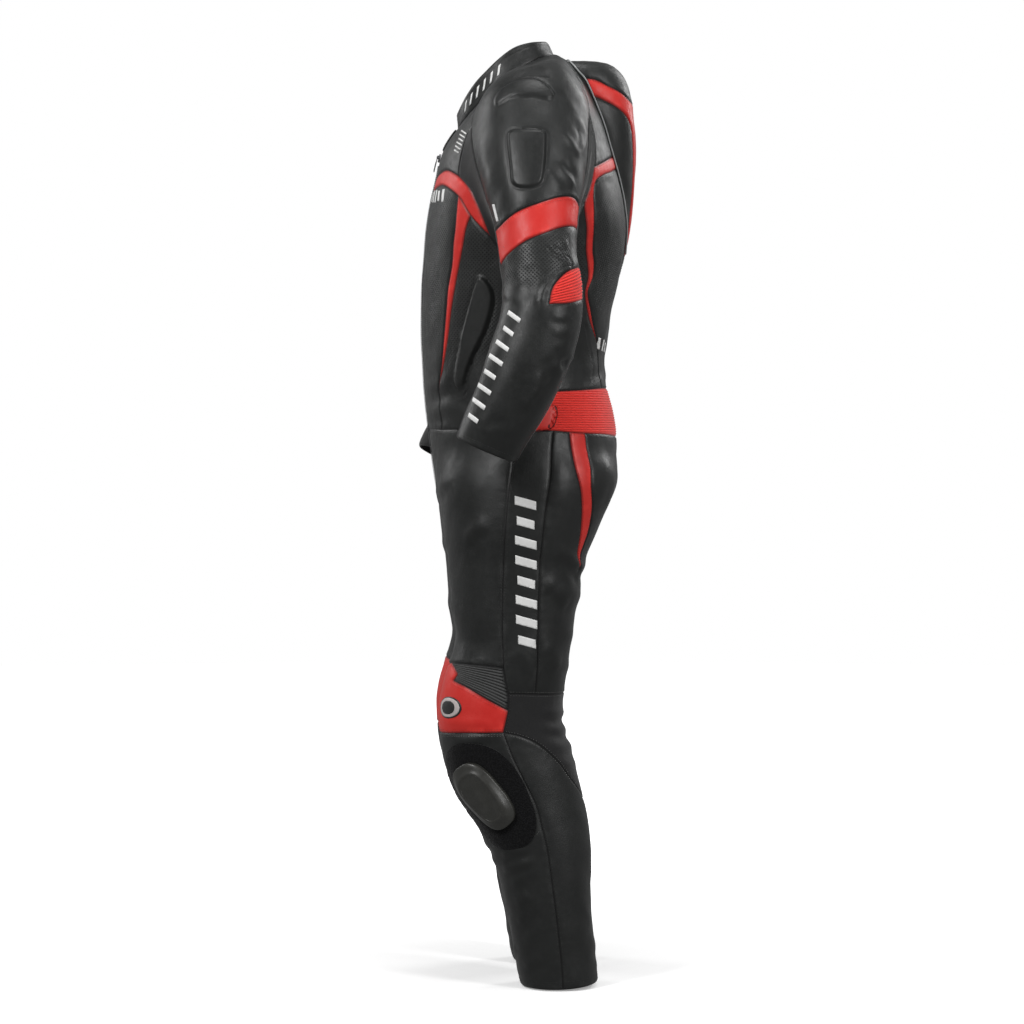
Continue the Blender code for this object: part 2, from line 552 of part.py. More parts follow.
def through(points, step=0.0015):
    """A smooth curve through the points, sampled about every step."""
    p = np.asarray(points, float)
    ext = np.vstack([2 * p[0] - p[1], p, 2 * p[-1] - p[-2]])
    out = []
    for i in range(1, len(p)):
        a, b, c, d = ext[i - 1], ext[i], ext[i + 1], ext[i + 2]
        ka = max(np.linalg.norm(b - a) ** 0.5, 1e-6)
        kb = max(np.linalg.norm(c - b) ** 0.5, 1e-6)
        kc = max(np.linalg.norm(d - c) ** 0.5, 1e-6)
        m1 = (b - a) / ka - (c - a) / (ka + kb) + (c - b) / kb
        m2 = (c - b) / kb - (d - b) / (kb + kc) + (d - c) / kc
        m1, m2 = m1 * kb, m2 * kb
        n = max(2, int(np.ceil(np.linalg.norm(c - b) / step)))
        t = (np.arange(n) / n)[:, None]
        out.append((2 * t**3 - 3 * t**2 + 1) * b + (t**3 - 2 * t**2 + t) * m1
                   + (3 * t**2 - 2 * t**3) * c + (t**3 - t**2) * m2)
    return np.vstack(out + [p[-1:]])


def from_above(x, y):
    """The points of the top of the trunk above (x, y)."""
    lo, hi = np.full(len(x), -0.10), np.full(len(x), 0.10)
    for _ in range(20):
        mid = (lo + hi) / 2
        out = body(np.stack([x, y, mid], -1), "trunk hump arms") > 0
        hi, lo = np.where(out, mid, hi), np.where(out, lo, mid)
    return np.stack([x, y, (lo + hi) / 2], -1)


def neck_curve():
    """The collar's seam, from beside the zip round the left to the middle of the back."""
    middle, deep = (NECK_FRONT + NECK_BACK) / 2, (NECK_BACK - NECK_FRONT) / 2
    first = np.degrees(np.arcsin(ZIP_HALF / NECK_HALF_WIDTH))
    a = np.radians(np.linspace(first, 180, 240))
    p = from_above(NECK_HALF_WIDTH * np.sin(a), middle - deep * np.cos(a))
    p[0, 0], p[-1, 0] = ZIP_HALF, 0.0
    return p


def middle_curve(degrees_from, degrees_to, count, x=0.0):
    """The form's outline in the plane x, by rays from a point inside the hips: 0 is straight forward, 90 straight
    down, 180 straight back."""
    a = np.radians(np.linspace(degrees_from, degrees_to, count))
    start = np.stack([np.full_like(a, x), np.full_like(a, -0.010), np.full_like(a, -0.600)], -1)
    way = np.stack([np.zeros_like(a), -np.cos(a), -np.sin(a)], -1)
    lo, hi = np.zeros(count), np.full(count, 0.60)
    for i in range(1, 41):
        t = 0.6 * i / 40
        out = (body(start + way * t, "trunk legs") > 0) & (hi > 0.599)
        hi[out] = t
        lo[out] = t - 0.6 / 40
    for _ in range(14):
        mid = (lo + hi) / 2
        out = body(start + way * mid[:, None], "trunk legs") > 0
        hi, lo = np.where(out, mid, hi), np.where(out, lo, mid)
    return start + way * ((lo + hi) / 2)[:, None]


def outline_at(x, z, back):
    """The form's outline in the plane x at the heights z, in front or behind."""
    z = np.asarray(z, float)
    start = np.stack([np.full_like(z, x), np.full_like(z, 0.0), z], -1)
    way = np.array([0, 1.0 if back else -1.0, 0])
    lo, hi = np.zeros(len(z)), np.full(len(z), 0.25)
    for _ in range(22):
        mid = (lo + hi) / 2
        out = body(start + way * mid[:, None], "trunk hump legs") > 0
        hi, lo = np.where(out, mid, hi), np.where(out, lo, mid)
    return start + way * ((lo + hi) / 2)[:, None]


def make_seams():
    """Every seam of the left half as a fine curve on the form, with the places where others meet it."""
    fine, marks = {}, {}

    def keep(name, curve):
        fine[name] = curve
        marks[name] = {0, len(curve) - 1}

    keep("neck", neck_curve())
    zip_z = np.linspace(fine["neck"][0][2], ZIP_END, 380)
    edge = outline_at(ZIP_HALF, zip_z, False)
    edge[0] = fine["neck"][0]
    keep("zip", edge)
    zip_foot = outline_at(0.0, np.array([ZIP_END]), False)[0]
    keep("zip_foot", np.array([edge[-1], (edge[-1] + zip_foot) / 2, zip_foot]))
    angle = np.degrees(np.arctan2(-(ZIP_END + 0.600), -(zip_foot[1] + 0.010)))
    under = middle_curve(angle, 206, 440)
    back_waist = outline_at(0.0, np.array([-0.531]), True)[0]
    under = under[under[:, 2] < back_waist[2] + (under[:, 1] < 0.05) * 1.0 - 0.001]
    under[0] = zip_foot
    keep("crotch", np.vstack([under, back_waist]))
    a = np.radians(np.linspace(-4, 185, 760))
    start = np.stack([0 * a, 0 * a, np.full_like(a, -0.120)], -1)
    way = np.stack([0 * a, np.sin(a), np.cos(a)], -1)
    lo, hi = np.zeros(len(a)), np.full(len(a), 0.60)
    for _ in range(24):
        mid = (lo + hi) / 2
        out = body(start + way * mid[:, None], "trunk hump legs") > 0
        hi, lo = np.where(out, mid, hi), np.where(out, lo, mid)
    spine = start + way * ((lo + hi) / 2)[:, None]
    top, foot = fine["neck"][-1], fine["crotch"][-1]
    first = int(np.linalg.norm(spine - top, axis=1).argmin())
    last = int(np.linalg.norm(spine - foot, axis=1).argmin())
    keep("back_middle", np.vstack([top, spine[first + 1:last], foot]))
    waiting = list(SEAMS.items()) + list(SLEEVE_SEAMS.items())
    while waiting:
        ready = [w for w in waiting if all(h is None or h in fine for h in JOINS.get(w[0], (None, None)))]
        waiting = [w for w in waiting if w not in ready]
        for name, table in ready:
            if name in SEAMS:
                pts = snap(np.array(table, float) / 1000)
            else:
                uv = np.array(table, float)
                pts = reach("sleeve_in" if name == "cuff_in" else "sleeve_out", uv[:, 0], uv[:, 1])
            for host, end in zip(JOINS.get(name, (None, None)), (0, -1)):
                if host:
                    h = fine[host]
                    i = int(np.linalg.norm(h - pts[end], axis=1).argmin())
                    near = [m for m in marks[host] if np.linalg.norm(h[m] - h[i]) < 0.0045]
                    if near:
                        i = min(near, key=lambda m: np.linalg.norm(h[m] - pts[end]))
                    marks[host].add(i)
                    pts[end] = h[i]
            curve = through(pts)
            curve[1:-1] = snap(curve[1:-1])
            keep(name, curve)
    return fine, marks


def sample(fine, marks, step):
    """The seams' shared points, about a step apart, with every meeting place among them."""
    out = {}
    for name, curve in fine.items():
        stops = sorted(marks[name])
        run = np.concatenate([[0], np.cumsum(np.linalg.norm(np.diff(curve, axis=0), axis=1))])
        pts = []
        for a, b in zip(stops[:-1], stops[1:]):
            n = max(1, int(round((run[b] - run[a]) / step)))
            at = run[a] + (run[b] - run[a]) * np.arange(n) / n
            for j, t in enumerate(at):
                pts.append(curve[a] if j == 0 else np.array([np.interp(t, run, curve[:, k]) for k in range(3)]))
        pts.append(curve[stops[-1]])
        out[name] = np.array(pts)
    return out


# chart, its seams, and a point (x, y, z in millimetres) inside each panel
PANELS = {
    "trunk": (
        ("neck", "zip", "raglan", "gusset_front", "band_top", "band_low", "gusset_low", "stripe_front", "stripe_side",
         "stripe_tail", "piping", "hump_band_top", "hump_band_low", "back_band_top", "back_band_in", "back_band_out",
         "back_tail", "waist_top", "waist_front", "waist", "back_middle"),
        (("chest_upper", (60, -118, -90)), ("chest_band", (60, -134, -147)), ("chest_centre", (60, -145, -300)),
         ("chest_stripe", (145, -103, -240)), ("flank", (170, 0, -400)), ("armhole_gusset", (178, -8, -285)),
         ("back_yoke", (120, 100, -75)), ("back_band", (164, 88, -215)), ("back_centre", (60, 130, -330)),
         ("hump_crown", (30, 110, 25)), ("hump_stripe", (40, 150, -36)), ("hump_side", (66, 130, -70)),
         ("waist", (120, 100, -495)))),
    "leg_front": (
        ("waist", "zip", "zip_foot", "crotch", "side_front", "side_back", "thigh_end", "knee_side", "pleats_top",
         "pleats_front", "pleats_nose", "knee_top", "pleats_low", "knee_low", "knee_inner", "inseam", "shin_out",
         "shin_in", "hem"),
        (("thigh_front", (105, -118, -750)), ("thigh_side", (191, -10, -750)), ("knee_pleats", (184, -65, -895)),
         ("knee_panel", (108, -134, -930)), ("shin", (60, -100, -1050)),
         ("knee_ground", (180, -80, -997)), ("knee_foot", (178, -62, -1058)))),
    "leg_back": (
        ("waist", "crotch", "side_back", "hip_front", "hip_back", "thigh_end", "knee_side", "knee_inner", "inseam",
         "shin_out", "shin_in", "arc", "hem"),
        (("seat", (110, 75, -760)), ("hip_stripe", (166, 80, -600)), ("knee_back", (112, 52, -960)),
         ("calf", (115, 90, -1200)))),
    "sleeve_out": (
        ("neck", "raglan", "sleeve_front", "sleeve_back", "cuff_out", "arm_band_top", "arm_band_low", "elbow_top",
         "elbow_low"),
        (("shoulder", (262, 0, -130)), ("sleeve_band", (293, 0, -230)), ("sleeve_outer", (315, -40, -370)),
         ("elbow_pleats", (305, 45, -328)))),
    "sleeve_in": (
        ("raglan", "sleeve_front", "sleeve_back", "cuff_out", "cuff_in"),
        (("sleeve_under", (226, -10, -400)),)),
}
# panels that cross the middle, with their halves joined
CROSSING = ("hump_crown", "hump_stripe", "back_centre", "waist")


def grid_points(chart, lo, hi, pitch):
    """Staggered points over a chart's rectangle, in chart metres."""
    rows = int((hi[1] - lo[1]) / (pitch * 0.866)) + 1
    cols = int((hi[0] - lo[0]) / pitch) + 1
    out = []
    for j in range(rows):
        y = lo[1] + (j + 0.5) * (hi[1] - lo[1]) / rows
        for i in range(cols):
            out.append((lo[0] + (i + 0.25 + 0.5 * (j % 2)) * (hi[0] - lo[0]) / cols, y))
    return np.array(out)


def far_from(points, chains, clear):
    """Which points lie further than clear from every chain of points."""
    keep = np.ones(len(points), bool)
    for chain in chains:
        a, b = chain[:-1], chain[1:]
        lo, hi = chain.min(0) - clear, chain.max(0) + clear
        near = np.flatnonzero(keep & (points > lo).all(1) & (points < hi).all(1))
        if not len(near):
            continue
        q = points[near]
        ab = b - a
        d = np.full(len(q), 1e9)
        for i in range(len(a)):
            w = np.clip(((q - a[i]) @ ab[i]) / (ab[i] @ ab[i] + 1e-12), 0, 1)
            d = np.minimum(d, np.hypot(*(q - a[i] - w[:, None] * ab[i]).T))
        keep[near[d < clear]] = False
    return keep


RING_COLUMNS = ("u", "z", "half_long", "half_short", "power", "lean")
GROUND = (0.060, -1.060, 0.078, 0.074, 2.2, 0.0)        # the slider's ground on the shin, in leg chart metres
PUCK = (0.0622, -1.0580, 0.0472, 0.0368, 2.8, -28.0)      # the slider's foot on it; lean is degrees from upright


def knee_ring(ring, count, grow=0.0):
    """A closed oval on the shin, as points of the form."""
    u, z, long_half, short_half, power, lean = ring
    a = np.radians(np.arange(count) * 360.0 / count)
    c, s = np.cos(a), np.sin(a)
    r = (np.abs(c / (long_half + grow)) ** power + np.abs(s / (short_half + grow)) ** power) ** (-1 / power)
    t = np.radians(lean)
    du = r * (-c * np.sin(t) + s * np.cos(t))
    dz = r * (c * np.cos(t) + s * np.sin(t))
    return reach("leg_front", (u + du) / CHARTS["leg_front"][2], z + dz)


def map_chart(chart, seams, pitch, rings=(), extra_grid=None):
    """The panels of a chart: points, and for each panel its triangles."""
    names, seeds = PANELS[chart]
    half_turn = 180 * CHARTS[chart][2]
    flat, solid_pts, index, edges, chains = [], [], {}, [], []
    for line in [seams[n] for n in names] + list(rings):
        uv = chart_uv(chart, line)
        ids = []
        for q, f in zip(line, uv):
            key = tuple(np.round(q, 7))
            if key not in index:
                index[key] = len(flat)
                flat.append(f)
                solid_pts.append(q)
            ids.append(index[key])
        for a, b in zip(ids[:-1], ids[1:]):
            if a != b and abs(flat[a][0] - flat[b][0]) < half_turn:
                edges.append((a, b))
                chains.append(np.array([flat[a], flat[b]]))
    flat = np.array(flat)
    fixed = len(flat)
    grid = grid_points(chart, flat.min(0), flat.max(0), pitch)
    if extra_grid is not None:
        grid = extra_grid(chart, grid)
    lines, run = [], [chains[0]]
    for a, b in zip(chains[:-1], chains[1:]):
        if np.allclose(a[1], b[0]):
            run.append(b)
        else:
            lines.append(np.vstack([r[0] for r in run] + [run[-1][1]]))
            run = [b]
    lines.append(np.vstack([r[0] for r in run] + [run[-1][1]]))
    grid = grid[far_from(grid, lines, pitch * 0.55)]
    every = np.vstack([flat, grid])
    verts, out_edges, faces, from_v, from_e, _ = delaunay_2d_cdt(
        [Vector(q) for q in every], edges, [], 0, 1e-7, True)
    verts = np.array([tuple(v) for v in verts])
    points = np.zeros((len(verts), 3))
    cast = np.ones(len(verts), bool)
    for i, o in enumerate(from_v):
        known = [k for k in o if k < fixed]
        if known:
            points[i] = solid_pts[known[0]]
            cast[i] = False
    todo = np.flatnonzero(cast)
    scale = CHARTS[chart][2]
    wall = {tuple(sorted(e)) for e, o in zip(out_edges, from_e) if o}
    beside = {}
    for f, face in enumerate(faces):
        for k in range(3):
            beside.setdefault(tuple(sorted((face[k], face[(k + 1) % 3]))), []).append(f)
    label = {}
    tri = verts[np.array(faces)]
    for name, seed in seeds:
        s = chart_uv(chart, snap(np.array([seed], float) / 1000, CHARTS[chart][5]))[0]
        e1, e2, w = tri[:, 1] - tri[:, 0], tri[:, 2] - tri[:, 0], s - tri[:, 0]
        den = e1[:, 0] * e2[:, 1] - e1[:, 1] * e2[:, 0]
        a = (w[:, 0] * e2[:, 1] - w[:, 1] * e2[:, 0]) / den
        b = (e1[:, 0] * w[:, 1] - e1[:, 1] * w[:, 0]) / den
        hits = np.flatnonzero((a >= 0) & (b >= 0) & (a + b <= 1))
        if not len(hits):
            raise ValueError(name + " has no place in " + chart)
        stack = [int(hits[0])]
        if stack[0] in label:
            raise ValueError(name + " runs into " + label[stack[0]])
        while stack:
            f = stack.pop()
            if f in label:
                continue
            label[f] = name
            for k in range(3):
                e = tuple(sorted((faces[f][k], faces[f][(k + 1) % 3])))
                if e not in wall:
                    stack.extend(g for g in beside[e] if g not in label)
    used = sorted({v for f in label for v in faces[f]})
    need = [v for v in used if cast[v]]
    if need:
        points[need] = reach(chart, verts[need, 0] / scale, verts[need, 1])
    panels = {}
    for f, name in label.items():
        panels.setdefault(name, []).append(faces[f])
    return points, panels, verts


def one_panel(points, faces):
    """A panel's own points and triangles, facing out."""
    faces = np.array(faces)
    ids, inverse = np.unique(faces, return_inverse=True)
    p, f = points[ids], inverse.reshape(faces.shape)
    n = unit(slope_of(p))
    a, b, c = p[f[:, 0]], p[f[:, 1]], p[f[:, 2]]
    if (np.cross(b - a, c - a) * n[f].mean(1)).sum() < 0:
        f = f[:, ::-1]
    return p, n, f, ids


def mirrored(p, n, f):
    flip = np.array([-1.0, 1, 1])
    return p * flip, n * flip, f[:, ::-1]


def joined(p, n, f):
    """A half panel and its mirror image, as one panel across the middle."""
    on = np.abs(p[:, 0]) < 1e-6
    q, m, g = mirrored(p, n, f)
    other = np.zeros(len(p), int)
    other[on] = np.flatnonzero(on)
    other[~on] = len(p) + np.arange((~on).sum())
    n = n.copy()
    n[on, 0] = 0
    return np.vstack([p, q[~on]]), unit(np.vstack([n, m[~on]])), np.vstack([f, other[g]])


def edge_loop(f):
    """Directed edges of a panel's outline."""
    count = {}
    for t in f:
        for k in range(3):
            a, b = int(t[k]), int(t[(k + 1) % 3])
            if (b, a) in count:
                del count[(b, a)]
            else:
                count[(a, b)] = 1
    return list(count)


def drawn_in(p, n, f, gap):
    """The panel's points with its outline moved in by gap."""
    push = {}
    for a, b in edge_loop(f):
        d = unit(p[b] - p[a])
        for v in (a, b):
            push.setdefault(v, []).append(unit(np.cross(n[v], d)))
    out = p.copy()
    for v, dirs in push.items():
        s = sum(dirs)
        k = 1 + float(np.dot(dirs[0], dirs[-1])) if len(dirs) > 1 else 1.0
        step = s / max(k, 0.35) if len(dirs) > 1 else dirs[0]
        length = np.linalg.norm(step)
        out[v] += step * (gap * min(1.0, 2.5 / max(length, 1e-9)))
    return out


def swing(p, side):
    """The right arm hangs a little further forward than the left."""
    if side > 0:
        return p
    q = p.copy()
    t = np.clip((-0.26 - p[:, 2]) / 0.30, 0, 1)
    q[:, 1] -= RIGHT_ARM_FORWARD * t * t * (3 - 2 * t)
    return q


# ---------------------------------------------------------------- the panels of the whole suit
def all_panels(step, pitch, ring_points=(28, 22)):
    """Every cloth panel by name: points, outward directions and triangles of its outer face."""
    fine, marks = make_seams()
    seams = sample(fine, marks, step)
    out = {}
    for chart in PANELS:
        rings = []
        if chart == "leg_front":
            for ring, count in zip((GROUND, PUCK), ring_points):
                r = knee_ring(ring, count)
                rings.append(np.vstack([r, r[:1]]))
        points, panels, flat = map_chart(chart, seams, pitch, rings)
        if chart == "leg_front":
            panels["knee_ground"] = panels["knee_ground"] + panels["knee_foot"]
            panels["shin"] = panels["shin"] + panels["knee_ground"]
        for name, faces in panels.items():
            p, n, f, ids = one_panel(points, faces)
            out[name] = (p, n, f)
    return out, seams


def half_and_half(name, panel):
    """The panel's left and right copies, or the one that crosses the middle."""
    p, n, f = panel
    if name in CROSSING:
        p, n, f = joined(p, n, f)
        return {CROSSING_NAMES[name]: (p, n, f, 0)}
    q, m, g = mirrored(p, n, f)
    return {name + "_left": (p, n, f, 1), name + "_right": (q, m, g, -1)}


CROSSING_NAMES = {"hump_crown": "hump_crown", "hump_stripe": "hump_stripe", "back_centre": "back_centre",
                  "waist": "waist_back"}
ARM_PANELS = ("shoulder", "sleeve_band", "sleeve_outer", "elbow_pleats", "sleeve_under")


def wall(p, n, f, lift=0.0, thickness=None):
    """A closed wall: the outer face moved out by lift, the inner face, and the edges between them."""
    thickness = WALL if thickness is None else thickness
    outer = p + n * lift
    inner = outer - n * thickness
    k = len(p)
    faces = [tuple(int(v) for v in t) for t in f] + [tuple(int(v) + k for v in t[::-1]) for t in f]
    key = outer @ np.array([0.0, 0.57, 0.76]) + np.abs(outer[:, 0]) * 0.31
    for a, b in edge_loop(f):
        if key[a] < key[b]:
            faces += [(b, a, a + k), (b, a + k, b + k)]
        else:
            faces += [(b, a, b + k), (a, a + k, b + k)]
    return np.vstack([outer, inner]), faces


# ---------------------------------------------------------------- collar, zip and tab
COLLAR_COLUMNS = ("y", "height")
COLLAR_EDGE = ((-0.104, -0.040), (-0.092, -0.019), (-0.078, 0.000), (-0.063, 0.015), (-0.045, 0.032),
               (-0.021, 0.050), (0.003, 0.0595), (0.024, 0.065), (0.034, 0.068))
COLLAR_HALF_WIDTH, COLLAR_FRONT, COLLAR_BACK = 0.070, -0.104, 0.034
collar_at = Smooth(COLLAR_EDGE)


def strip_faces(rows, columns):
    """Triangles of a grid of points with so many rows and columns."""
    f = []
    for i in range(rows - 1):
        for j in range(columns - 1):
            a, b, c, d = i * columns + j, i * columns + j + 1, (i + 1) * columns + j + 1, (i + 1) * columns + j
            f += [(a, b, c), (a, c, d)]
    return np.array(f)


def grid_normals(g):
    """Directions square to a grid of points (rows, columns, 3)."""
    return unit(np.cross(np.gradient(g, axis=1), np.gradient(g, axis=0)))


def collar_grid(neck, rows):
    """The collar's outer face, from the seam up to the edge, right round from the left of the zip to its right."""
    middle, deep = (NECK_FRONT + NECK_BACK) / 2, (NECK_BACK - NECK_FRONT) / 2
    a = np.arctan2(neck[:, 0] / NECK_HALF_WIDTH, -(neck[:, 1] - middle) / deep)
    low = neck - SEAM_GAP * np.stack([np.sin(a), -np.cos(a), 0 * a], -1)
    low[:, 2] += SEAM_GAP
    m2, d2 = (COLLAR_FRONT + COLLAR_BACK) / 2, (COLLAR_BACK - COLLAR_FRONT) / 2
    y = m2 - d2 * np.cos(a)
    high = np.stack([COLLAR_HALF_WIDTH * np.sin(a), y, collar_at(y, 1)], -1)
    low[0, 0] = high[0, 0] = ZIP_HALF
    low[-1, 0] = high[-1, 0] = 0.0
    t = (np.arange(rows) / (rows - 1))[:, None, None]
    half = low[None] * (1 - t) + high[None] * t
    other = half[:, ::-1][:, 1:] * np.array([-1.0, 1, 1])
    return np.concatenate([half, other], 1)


def front_at(x, z, lift=0.0):
    """The points of the form's front at x and z, moved out by lift."""
    x, z = np.broadcast_arrays(np.asarray(x, float), np.asarray(z, float))
    shape = x.shape
    x, z = x.ravel(), z.ravel()
    start = np.stack([x, np.full_like(z, -0.03), z], -1)
    way = np.array([0, -1.0, 0])
    lo, hi = np.zeros(len(z)), np.full(len(z), 0.20)
    for _ in range(22):
        mid = (lo + hi) / 2
        out = body(start + way * mid[:, None], "trunk legs") > 0
        hi, lo = np.where(out, mid, hi), np.where(out, lo, mid)
    p = start + way * ((lo + hi) / 2)[:, None]
    return (p + unit(slope_of(p)) * lift).reshape(shape + (3,))


def zip_grid(edge, columns=3):
    """The zip's face between its two edges, from the left edge to the right."""
    x = np.linspace(ZIP_HALF, -ZIP_HALF, columns)
    rows = []
    for q in edge:
        p = front_at(x, np.full(columns, q[2]))
        p[0] = q
        p[-1] = q * np.array([-1.0, 1, 1])
        rows.append(p)
    return np.array(rows)


TAB = (0.013, -0.0970, -0.0665, 0.006)      # half width, lowest and highest z, corner radius
SLIDER_Z = -0.1085
SLIDER = (0.0045, 0.0065, 0.0030)           # half width, half length, height
LUG = (0.0034, 0.0014, 0.0034)             # how far up, down and out from the block a lug reaches
PIVOT_HEIGHT = 0.0053
PULL = (0.0024, 0.0036, 0.0235, 0.0015)     # half width at the pin and at the foot, length, thickness


def tab_outline(count=5):
    """The tab's rounded outline as x and z."""
    half, low, high, r = TAB
    out = []
    for cx, cz, first in ((half - r, high - r, 0), (-half + r, high - r, 90), (-half + r, low + r, 180),
                          (half - r, low + r, 270)):
        for i in range(count):
            a = math.radians(first + 90.0 * i / (count - 1))
            out.append((cx + r * math.cos(a), cz + r * math.sin(a)))
    return np.array(out)


def filled(outline, pitch):
    """Points and triangles that fill a flat outline."""
    lo, hi = outline.min(0), outline.max(0)
    xs = np.linspace(lo[0], hi[0], max(3, int(round((hi[0] - lo[0]) / pitch)) + 1))
    zs = np.linspace(lo[1], hi[1], max(3, int(round((hi[1] - lo[1]) / pitch)) + 1))
    grid = np.array([(x, z) for x in xs for z in zs])
    loop = np.vstack([outline, outline[:1]])
    a, b = loop[:-1], loop[1:]
    inside = np.zeros(len(grid), bool)
    for (x0, z0), (x1, z1) in zip(a, b):
        cross = (z0 > grid[:, 1]) != (z1 > grid[:, 1])
        if cross.any() and z1 != z0:
            at = x0 + (grid[:, 1] - z0) * (x1 - x0) / (z1 - z0)
            inside ^= cross & (grid[:, 0] < at)
    grid = grid[inside & far_from(grid, [loop], pitch * 0.35)]
    every = np.vstack([outline, grid])
    edges = [(i, (i + 1) % len(outline)) for i in range(len(outline))]
    verts, _, faces, _, _, _ = delaunay_2d_cdt([Vector(q) for q in every], edges, [], 1, 1e-8, True)
    return np.array([tuple(v) for v in verts]), np.array([tuple(f) for f in faces])


def slider_frame():
    """The slider's place: the middle of its foot, the direction down the zip and the direction out of the chest."""
    foot = front_at(0.0, SLIDER_Z)
    below, above = front_at(0.0, SLIDER_Z - 0.02), front_at(0.0, SLIDER_Z + 0.004)
    down = unit(below - above)
    down[0] = 0
    out = np.array([0.0, down[2], -down[1]])
    return foot, down, out


# ---------------------------------------------------------------- objects
RED, BLACK, STRETCH = (0.61, 0.035, 0.026), (0.022, 0.023, 0.022), (0.010, 0.010, 0.010)
LOOKS_COLUMNS = ("colour", "metallic", "roughness")
LOOKS = {
    "red_leather": (RED, 0.0, 0.45),
    "black_leather": (BLACK, 0.0, 0.48),
    "black_stretch": (STRETCH, 0.0, 0.85),
    "red_stretch": (RED, 0.0, 0.75),
    "zip_black": ((0.015, 0.015, 0.016), 0.0, 0.5),
    "hook_and_loop": ((0.006, 0.006, 0.007), 0.0, 0.95),
    "slider_plastic": ((0.020, 0.020, 0.019), 0.0, 0.55),
    "dark_metal": ((0.08, 0.08, 0.085), 1.0, 0.35),
}
LOOK_OF = {
    "hump_stripe": "red_leather", "chest_band": "red_leather", "chest_stripe": "red_leather",
    "back_band": "red_leather", "sleeve_band": "red_leather", "hip_stripe": "red_leather",
    "knee_panel": "red_leather", "elbow_pleats": "red_stretch", "waist_back": "red_stretch",
    "armhole_gusset": "black_stretch", "knee_pleats": "black_stretch", "knee_back": "black_stretch",
    "sleeve_under": "black_stretch", "knee_ground": "hook_and_loop", "knee_slider": "slider_plastic",
    "front_zip": "zip_black", "zip_slider": "dark_metal", "zip_pull": "dark_metal",
}


def look_of(name):
    for key, look in LOOK_OF.items():
        if name.startswith(key):
            return look
    return "black_leather"


def make_look(look):
    found = bpy.data.materials.get(look)
    if found:
        return found
    colour, metallic, roughness = LOOKS[look]
    mat = bpy.data.materials.new(look)
    mat.use_nodes = True
    shader = mat.node_tree.nodes["Principled BSDF"]
    shader.inputs["Base Color"].default_value = (*colour, 1.0)
    shader.inputs["Metallic"].default_value = metallic
    shader.inputs["Roughness"].default_value = roughness
    mat.diffuse_color = (*colour, 1.0)
    return mat


def add_piece(name, points, faces, parent, collection, place=None):
    """An object of the given points and faces, with its origin at place or at the middle of its box."""
    points = np.asarray(points, float)
    place = (points.min(0) + points.max(0)) / 2 if place is None else np.asarray(place, float)
    bm = bmesh.new()
    verts = [bm.verts.new(q) for q in points - place]
    for f in faces:
        bm.faces.new([verts[i] for i in f])
    bmesh.ops.triangulate(bm, faces=bm.faces[:])
    mesh = bpy.data.meshes.new(name)
    bm.to_mesh(mesh)
    bm.free()
    mesh.shade_smooth()
    mesh.set_sharp_from_angle(angle=math.radians(40))
    mesh.materials.append(make_look(look_of(name)))
    obj = bpy.data.objects.new(name, mesh)
    obj.location = place
    obj.parent = parent
    collection.objects.link(obj)
    return obj


def add_slider(name, frame, collection, parent):
    """The zip's slider: a block with two lugs raised from it, between which the pull hangs."""
    half, long_half, high = SLIDER
    base = SEAM_GAP + 0.0001
    lug_in, lug_out = PULL[0] + SEAM_GAP, PULL[0] + SEAM_GAP + 0.0015
    bm = bmesh.new()
    bmesh.ops.create_cube(bm, size=1.0)
    for v in bm.verts:
        v.co = Vector((v.co.x * 2 * half, v.co.y * 2 * long_half, v.co.z * high + base + high / 2))
    for axis, at in ((0, -lug_out), (0, -lug_in), (0, lug_in), (0, lug_out), (1, -LUG[0]), (1, LUG[1])):
        normal = [0.0, 0.0, 0.0]
        normal[axis] = 1.0
        spot = [0.0, 0.0, 0.0]
        spot[axis] = at
        bmesh.ops.bisect_plane(bm, geom=bm.verts[:] + bm.edges[:] + bm.faces[:], plane_co=spot, plane_no=normal)
    top = [f for f in bm.faces if f.normal.z > 0.9 and lug_in < abs(f.calc_center_median().x) < lug_out
           and -LUG[0] < f.calc_center_median().y < LUG[1]]
    for f in top:
        grown = bmesh.ops.extrude_face_region(bm, geom=[f])
        verts = [v for v in grown["geom"] if isinstance(v, bmesh.types.BMVert)]
        bmesh.ops.translate(bm, verts=verts, vec=(0, 0, LUG[2]))
        bmesh.ops.delete(bm, geom=[f], context="FACES_ONLY")
    foot, down, out = frame
    for v in bm.verts:
        x, y, z = v.co
        v.co = Vector(foot + np.array([x, 0, 0]) + down * y + out * z)
    bmesh.ops.recalc_face_normals(bm, faces=bm.faces[:])
    mesh = bpy.data.meshes.new(name)
    bm.to_mesh(mesh)
    bm.free()
    mesh.materials.append(make_look(look_of(name)))
    obj = bpy.data.objects.new(name, mesh)
    obj.parent = parent
    collection.objects.link(obj)
    return obj


def outline_of(f):
    """The points of a panel's outline, in order."""
    after = dict(edge_loop(f))
    first = min(after)
    loop = [first]
    while after[loop[-1]] != first:
        loop.append(after[loop[-1]])
    return loop


